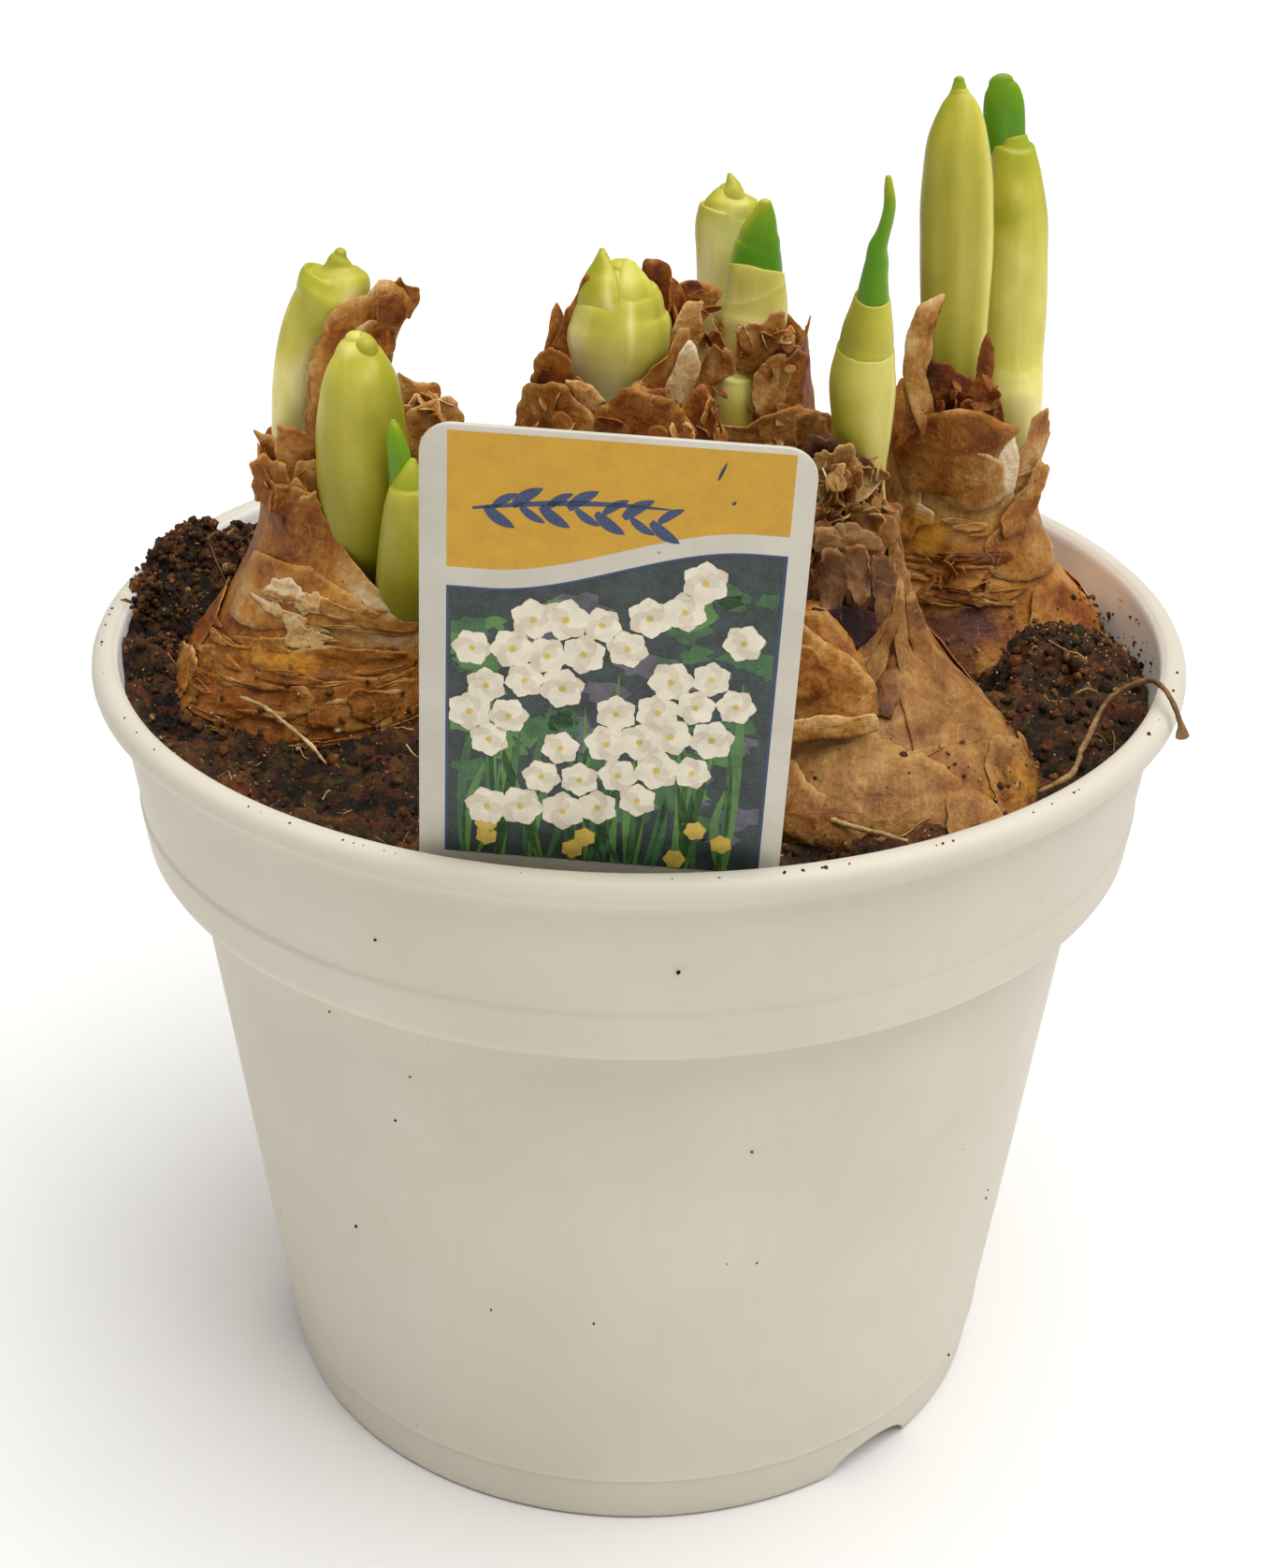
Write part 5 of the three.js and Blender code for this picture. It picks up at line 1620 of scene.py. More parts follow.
class Skin:
    """The outer surface of one bulb."""

    def __init__(self, bulb):
        self.table = through(bulb["stages"], 300)
        self.seed = bulb["seed"]
        self.bulb = bulb

    def centre(self, z):
        """Middle of the bulb at a height."""
        return [np.interp(z, self.table[:, 2], self.table[:, axis]) for axis in (0, 1)]

    def radius(self, z):
        """Mean radius of the bulb at a height."""
        return np.interp(z, self.table[:, 2], self.table[:, 3])

    def flow(self, angle, z):
        """Coordinates that run with the fibres, from the foot to the neck."""
        return around(SKIN_FLOW_RADIUS, angle, z)

    def near(self, key, angle, z):
        """The summed amounts of one of the bulb's tables of marks."""
        total = 0 * angle + 0 * z
        for place, height, wide, high, amount in self.bulb.get(key, ()):
            gap = angle_gap(angle, place) / math.radians(wide)
            total = total + amount * np.exp(-(gap**2) - ((z - height) / high) ** 2)
        return total

    def relief(self, angle, z):
        """Dents, soft folds along the bulb, crumpling, and level wrinkles where the table asks for them."""
        flow = self.flow(angle, z)
        push = 0.9 * noise(flow, 11, self.seed)
        push = push + 0.26 * creases(flow * (1, 1, 0.5), 8, self.seed + 1)
        push = push + 0.13 * creases(flow * (1, 1, 0.8), 3.6, self.seed + 4)
        level = flow * (0.2, 0.2, 1)
        push = push + self.near("wrinkles", angle, z) * creases(level, 2.0, self.seed + 2)
        push = push + self.near("layers", angle, z) * self.shingle(flow)
        return push + self.near("bulges", angle, z) - 0.3

    def shingle(self, flow):
        """Torn level layers: each has a sharp foot and thins out upwards."""
        place = flow[..., 2] + 2.4 * noise(flow, 9, self.seed + 11) + 0.9 * noise(flow, 2.4, self.seed + 12)
        part = place / LAYER_HEIGHT - np.floor(place / LAYER_HEIGHT)
        return smooth_step(part, 0, 0.14) * (1 - 0.9 * part)

    def points(self, angle, z, lift=0.0):
        """Points on the skin, or lifted off it."""
        x, y = self.centre(z)
        reach = self.radius(z) + self.relief(angle, z) + lift
        return np.stack(np.broadcast_arrays(x + reach * np.cos(angle), y + reach * np.sin(angle), z), -1)

    def tone(self, angle, z):
        """Tone of the skin, with painted light: lighter where the skin stands out, on folds and bulges, and
        darker in its dents.
        """
        return self.bulb["tone"] + 0.1 * self.relief(angle, z) + self.near("stains", angle, z)

    def tints(self, angle, z):
        """Shares of amber and plum in the skin's colour."""
        return {"amber": self.near("ambers", angle, z), "plum": self.near("plums", angle, z)}


def bulb_body(piece, bulb, skin):
    """The bulb with its open, torn collar: outside up to the rim, and inside down to the neck, with painted
    shade that darkens the inside with depth.
    """
    angle = np.linspace(0, TURN, SKIN_COLUMNS, endpoint=False)[None]
    flat = skin.flow(angle, 0 * angle)
    tear = 0.9 * fractal(flat, 5.5, skin.seed + 6, octaves=3) + 0.35 * noise(flat, 1.5, skin.seed + 7)
    flare = 0.2 + 1.3 * noise(flat, 8, skin.seed + 8)
    top = by_angle(bulb["top"], angle) + tear
    bottom = bulb["stages"][0][2]
    buried = bottom + (BURIED_Z - bottom) * np.linspace(0, 1, BURIED_ROWS, endpoint=False)[:, None] ** 0.7
    bare = BURIED_Z + (top - BURIED_Z) * np.linspace(0, 1, BARE_ROWS)[:, None]
    outer_z = np.concatenate([buried + 0 * top, bare])
    near_rim = np.clip(1 - (top - outer_z) / FLARE_HEIGHT, 0, 1)
    outside = skin.points(angle, outer_z, flare * near_rim**2)
    outer_tone = skin.tone(angle, outer_z) + 0.1 * smooth_step(near_rim, 0.88, 1)
    depth = np.linspace(0, 1, INNER_ROWS)[:, None]
    inner_z = top + (bulb["floor"] - top) * depth
    near_rim = np.clip(1 - (top - inner_z) / FLARE_HEIGHT, 0, 1)
    wall = 0.22 + 0.8 * smooth_step(depth, 0, 0.6) + 2.0 * depth**3
    inside = skin.points(angle, inner_z, flare * near_rim**2 - wall)
    # Painted shade: the inside of the collar darkens as it goes down
    inner_shaded_tone = 0.46 - 0.34 * smooth_step(depth, 0, 0.6) + 0 * inner_z
    grid = np.concatenate([outside, inside])
    tones = np.concatenate([outer_tone, inner_shaded_tone])
    angle = np.broadcast_to(angle, tones.shape)
    flow = flow_with_poles(skin.flow(angle, grid[..., 2]))
    tints = skin.tints(angle, grid[..., 2])
    tints = {key: with_poles(value, value.shape) for key, value in tints.items()}
    piece.add(*capped(grid), tone=with_poles(tones, tones.shape), flow=flow, **tints)


# Torn papers: each is an outline filled with a thin crumpled sheet

PAPER_POINTS = 64
PAPER_RINGS = 6
PAPER_THICKNESS = 0.16
BIT_POINTS = 22
BIT_RINGS = 4
SLIVER_RINGS = 3
CROOKED_CORNERS = 9
# Degrees in one radian
RADIAN = 57.3


def torn_outline(outline, ragged, seed, stretch=(1, 1), count=PAPER_POINTS):
    """An outline drawn smooth between its corners and then torn a little."""
    corners = np.asarray(outline, float) / stretch
    closed = np.vstack([corners, corners[:1]])
    run = np.concatenate([[0], np.cumsum(np.linalg.norm(np.diff(closed, axis=0), axis=1))])
    place = np.linspace(0, run[-1], count, endpoint=False)
    line = np.stack([np.interp(place, run, closed[:, axis]) for axis in range(2)], -1)
    line = (np.roll(line, 1, axis=0) + 2 * line + np.roll(line, -1, axis=0)) / 4
    middle = line.mean(0)
    spot = np.column_stack([line, np.full(len(line), 5.0 * seed)])
    away = line - middle
    away /= np.maximum(np.linalg.norm(away, axis=1, keepdims=True), 1e-6)
    tear = ragged * (fractal(spot, 2.6, seed, octaves=3) + 0.6 * noise(spot, 0.8, seed + 1))
    return (line + away * tear[:, None]) * stretch


def no_tint(u, v):
    """No amber and no plum patches."""
    return {"amber": 0 * u, "plum": 0 * u}


def add_sheet(piece, outline, place, tone, seed, edge=0.12, crumple=0.0, rows=PAPER_RINGS, tint=no_tint):
    """A closed sheet over an outline. place turns (u, v, share from the middle) into points."""
    middle = outline.mean(0)
    share = np.linspace(0.03, 1, rows)[:, None] ** 0.8 + np.zeros(len(outline))
    u = middle[0] + (outline[:, 0] - middle[0]) * share
    v = middle[1] + (outline[:, 1] - middle[1]) * share
    grid = place(u, v, share)
    normal = ring_normals(grid)
    fold = creases(grid, 4.2, seed + 2, octaves=2) * 0.6 + 0.4 * creases(grid, 1.8, seed + 3, octaves=1)
    grid = grid + normal * (crumple * fold)[..., None]
    back = grid - normal * PAPER_THICKNESS
    # Painted shade: lighter on the folds and darker in the creases between them, and the back face 0.06
    # darker
    tones = tone + 0.16 * fold + edge * smooth_step(share, 0.86, 1)
    tones = np.concatenate([tones, tones[::-1] - 0.06])
    flow = np.stack([u - middle[0], 0 * u, v - middle[1]], -1)
    flow = np.concatenate([flow, flow[::-1]])
    flow = np.vstack([flow.reshape(-1, 3), flow[0, :1], flow[-1, :1]])
    tints = {key: np.concatenate([value, value[::-1]]) for key, value in tint(u, v).items()}
    tints = {key: with_poles(value, value.shape) for key, value in tints.items()}
    points, faces = capped(np.concatenate([grid, back[::-1]]))
    piece.add(points, faces, tone=with_poles(tones, tones.shape), flow=flow, **tints)


def add_paper(
    piece, outline, depth, seed, tone=0.5, slant=(0.0, 0.0), bow=0.0, crumple=0.6, curl=0.8, ragged=0.45
):
    """A torn paper that faces the front: an outline of (x, z) corners, held at a depth in y."""
    line = torn_outline(outline, ragged, seed)
    middle = line.mean(0)
    half = np.ptp(line, axis=0) / 2

    def place(u, v, share):
        across, up = u - middle[0], v - middle[1]
        y = depth + slant[0] * across + slant[1] * up + bow * (across / half[0]) ** 2
        bend = curl * share**3 * noise(np.stack([u, v, 0 * u], -1), 4.5, seed + 9)
        return np.stack([u, y + bend, v], -1)

    add_sheet(piece, line, place, tone, seed, crumple=crumple)


def add_wrap(
    piece, skin, outline, seed, tone=0.5, lift=0.5, curl=0.7, crumple=0.25, ragged=0.45, edge=0.14,
    small=False,
):
    """A torn paper that lies round a bulb: an outline of (angle, z) corners."""
    heights = [corner[1] for corner in outline]
    turn = RADIAN / float(skin.radius(sum(heights) / len(heights)))
    count, rows = (BIT_POINTS, SLIVER_RINGS) if small else (PAPER_POINTS, PAPER_RINGS)
    line = torn_outline(outline, ragged, seed, stretch=(turn, 1), count=count)

    def place(u, v, share):
        angle = np.radians(u)
        bend = curl * share**3 * (0.25 + noise(skin.flow(angle, v), 5, seed + 9))
        return skin.points(angle, v, lift * (1 - 0.3 * share) + bend)

    def tint(u, v):
        return skin.tints(np.radians(u), v)

    add_sheet(piece, line, place, tone, seed, crumple=crumple, edge=edge, rows=rows, tint=tint)


def random_outline(rng, wide, high):
    """A crooked outline about the origin."""
    turn = np.linspace(0, TURN, CROOKED_CORNERS, endpoint=False)
    turn = turn + rng.uniform(-0.25, 0.25, CROOKED_CORNERS)
    reach = rng.uniform(0.6, 1.15, CROOKED_CORNERS)
    return np.stack([wide * reach * np.cos(turn), high * reach * np.sin(turn)], -1)


def add_bits(piece, centre, spread, count, size, tones, seed):
    """Crumpled scraps of dry paper, turned every way, round a point."""
    rng = np.random.default_rng(seed)
    for k in range(count):
        origin = np.array(centre) + np.clip(rng.normal(0, 1, 3), -1.2, 1.2) * spread
        across, up, out = turns_at_random(rng, 1)[0]
        reach = size * rng.uniform(0.5, 1.3)
        outline = random_outline(rng, reach, reach * rng.uniform(0.8, 2.2))
        line = torn_outline(outline, 0.3, seed + k, count=BIT_POINTS)

        def place(u, v, share):
            bend = 0.12 * u * u / reach
            return origin + u[..., None] * across + v[..., None] * up + bend[..., None] * out

        add_sheet(piece, line, place, rng.uniform(*tones), seed + k, crumple=0.35 * reach, rows=BIT_RINGS)


def add_slivers(piece, skin, angle, z, spread, count, tones, seed):
    """Narrow level strips of torn skin round one place on a bulb."""
    rng = np.random.default_rng(seed)
    for k in range(count):
        middle = (angle + rng.uniform(-1, 1) * spread[0], z + rng.uniform(-1, 1) * spread[1])
        outline = random_outline(rng, rng.uniform(8, 24), rng.uniform(0.3, 0.95)) + middle
        tone = rng.uniform(*tones)
        lift = rng.uniform(0.3, 0.7)
        add_wrap(piece, skin, outline, seed + k, tone, lift, curl=0.55, crumple=0.1, ragged=0.3, small=True)


def paper(*outline, **look):
    """A row of the tables of papers: its corners, and what add_wrap or add_paper is told of its look."""
    return {"outline": outline, **look}


# Level strips: angle, height, spreads of both, count, darkest and lightest tone, seed
SLIVERS = {
    "left": ((-100, 128, (62, 7), 34, (0.34, 0.6), 710), (-75, 139, (40, 5), 12, (0.4, 0.66), 760)),
    "centre": (),
    "back": (),
    "front_right": ((-105, 126, (60, 5), 12, (0.34, 0.6), 730),),
    "right": ((-98, 136.4, (30, 3.8), 26, (0.2, 0.62), 780), (-60, 146, (40, 8), 6, (0.4, 0.62), 790)),
}

# Papers that lie round each bulb, with (angle, height) corners
WRAPS = {
    "left": (
        paper((-158, 131), (-140, 133.6), (-118, 134.6), (-96, 134), (-92, 131.5), (-104, 129.5),
              (-124, 128.5), (-150, 127.5),
              lift=0.4, tone=0.4, edge=0.16, curl=0.4, crumple=0.15),
        paper((-152, 128.5), (-128, 129.6), (-106, 130), (-88, 130.5), (-84, 127), (-98, 125.2),
              (-120, 124.6), (-148, 124),
              lift=0.5, tone=0.38, edge=0.16, curl=0.4, crumple=0.15),
        paper((-100, 134.6), (-84, 136), (-66, 135.6), (-46, 134), (-36, 131.6), (-40, 129.6),
              (-58, 130.6), (-78, 131), (-96, 132),
              lift=0.5, tone=0.46, edge=0.16, curl=0.4, crumple=0.15),
        paper((-92, 131), (-72, 131.6), (-52, 130.4), (-36, 128.4), (-34, 124), (-56, 122.5),
              (-86, 124.5),
              lift=0.6, tone=0.44, curl=0.4, crumple=0.15),
        paper((-120, 135.8), (-108, 136.6), (-97, 136.2), (-88, 134.6), (-92, 132.2), (-104, 131),
              (-117, 132),
              lift=0.5, tone=0.58, ragged=0.3, curl=0.3, crumple=0.12),
        paper((-182, 128), (-163, 130.5), (-148, 130), (-150, 124), (-165, 121), (-182, 121),
              lift=1.3, tone=0.5),
        paper((-160, 146), (-130, 147), (-100, 147), (-75, 143.5), (-50, 139), (-40, 136.5), (-66, 138),
              (-90, 139), (-120, 136.5), (-150, 137),
              lift=0.35, tone=0.5, curl=0.5),
        paper((-131, 142), (-124, 144.2), (-112, 144.6), (-101, 143), (-104, 141.5), (-120, 141),
              lift=0.7, tone=0.8, ragged=0.8, crumple=0.15, curl=0.2),
        paper((-106, 142.2), (-96, 143.6), (-86, 142.6), (-90, 140.6), (-100, 140),
              lift=0.8, tone=0.78, ragged=0.8, crumple=0.15, curl=0.2),
        paper((-137, 141), (-118, 141), (-104, 140.3), (-90, 139), (-84, 138), (-100, 138), (-122, 139.5),
              lift=0.7, tone=0.76, ragged=0.8, crumple=0.15, curl=0.2),
        paper((-106, 139.4), (-92, 139), (-78, 137), (-88, 135.4), (-102, 136),
              lift=0.7, tone=0.74, ragged=0.9, crumple=0.15, curl=0.2),
        paper((-90, 143), (-66, 141.2), (-42, 138.4), (-45, 137.4), (-70, 139.6), (-90, 141),
              lift=0.8, tone=0.5),
        paper((-72, 129), (-66, 130), (-52, 128), (-50, 125), (-60, 123.5), (-69, 125.5),
              lift=1.3, tone=0.44),
    ),
    "centre": (
        paper((-125, 165), (-104, 163), (-90, 165), (-74, 171), (-62, 169.5), (-45, 169), (-35, 166),
              (-30, 158), (-80, 154), (-130, 157),
              lift=0.8, tone=0.34, curl=0.5),
        paper((-170, 168), (-150, 171), (-128, 171), (-110, 168), (-100, 164), (-110, 157), (-150, 155),
              (-175, 158),
              lift=0.6, tone=0.42),
        paper((-70, 163), (-50, 165), (-30, 163), (-10, 168), (0, 160), (-20, 150), (-60, 150),
              lift=1.0, tone=0.36),
    ),
    "back": (
        paper((-130, 156), (-105, 155), (-80, 157), (-60, 155), (-55, 148), (-90, 144), (-130, 147),
              lift=0.8, tone=0.46),
        paper((-160, 166), (-140, 167), (-122, 160), (-116, 154), (-130, 150), (-160, 152),
              lift=0.6, tone=0.44),
        paper((-60, 158), (-44, 166), (-22, 169), (-10, 160), (-20, 150), (-55, 149),
              lift=0.7, tone=0.42),
    ),
    "front_right": (
        paper((-84, 147), (-60, 145.5), (-38, 142.5), (-6, 136), (-5, 129), (-30, 125), (-57, 123),
              (-74, 127), (-86, 132), (-84, 139),
              lift=0.5, tone=0.46, curl=0.5, crumple=0.35),
        paper((-170, 126), (-158, 131), (-140, 133.6), (-126, 134), (-112, 133), (-106, 130), (-108, 124),
              (-112, 116), (-168, 118),
              lift=0.8, tone=0.44, curl=0.7, edge=0.22, ragged=0.6, crumple=0.4),
        paper((-124, 131), (-110, 133.2), (-97, 132.6), (-86, 130.4), (-80, 131.4), (-70, 129),
              (-62, 126), (-60, 118), (-110, 115), (-122, 122),
              lift=1.3, tone=0.48, curl=0.8, edge=0.22, ragged=0.6, crumple=0.4),
        paper((-74, 126.6), (-60, 126.4), (-50, 123.6), (-44, 118), (-60, 115), (-76, 118),
              lift=1.9, tone=0.5, curl=1.2),
        paper((-150, 128), (-132, 129.4), (-118, 127), (-120, 120), (-134, 117), (-150, 120),
              lift=1.6, tone=0.46, curl=0.6, edge=0.2, ragged=0.6, crumple=0.4),
        paper((-48, 128), (-33, 130), (-10, 128.5), (4, 123.5), (0, 117), (-29, 116), (-50, 120),
              lift=0.9, tone=0.42),
        paper((-120, 141), (-98, 143), (-84, 142), (-84, 137), (-94, 134.5), (-114, 135),
              lift=0.6, tone=0.36),
    ),
    "right": (
        paper((-152, 155), (-140, 160), (-124, 163), (-100, 164.5), (-86, 164), (-76, 162), (-66, 161.5),
              (-60, 160.5), (-70, 158), (-76, 155), (-76, 152), (-100, 150), (-140, 149),
              lift=1.4, tone=0.44, curl=0.5, crumple=0.35, ragged=0.25),
        paper((-112, 156), (-96, 157), (-82, 157), (-69, 155), (-64, 150.5), (-74, 148), (-87, 147.3),
              (-100, 147.8), (-113, 149.5),
              lift=1.2, tone=0.56, curl=0.4, crumple=0.2, ragged=0.15, edge=0.26),
        paper((-156, 156), (-140, 157), (-128, 152), (-124, 146), (-132, 141), (-152, 142),
              lift=0.9, tone=0.5),
        paper((-143, 146), (-128, 147.4), (-115, 146.4), (-116, 144.3), (-132, 143.6), (-141, 142.6),
              lift=0.9, tone=0.8, curl=0.2, ragged=0.3, crumple=0.1),
        paper((-80, 142), (-60, 146), (-40, 146), (-20, 142), (-18, 136), (-50, 135), (-78, 137),
              lift=0.4, tone=0.56),
        paper((-52, 134), (-30, 134), (-8, 130), (0, 124), (-10, 118), (-40, 118), (-60, 124), (-62, 130),
              lift=0.8, tone=0.42, curl=0.3),
    ),
}

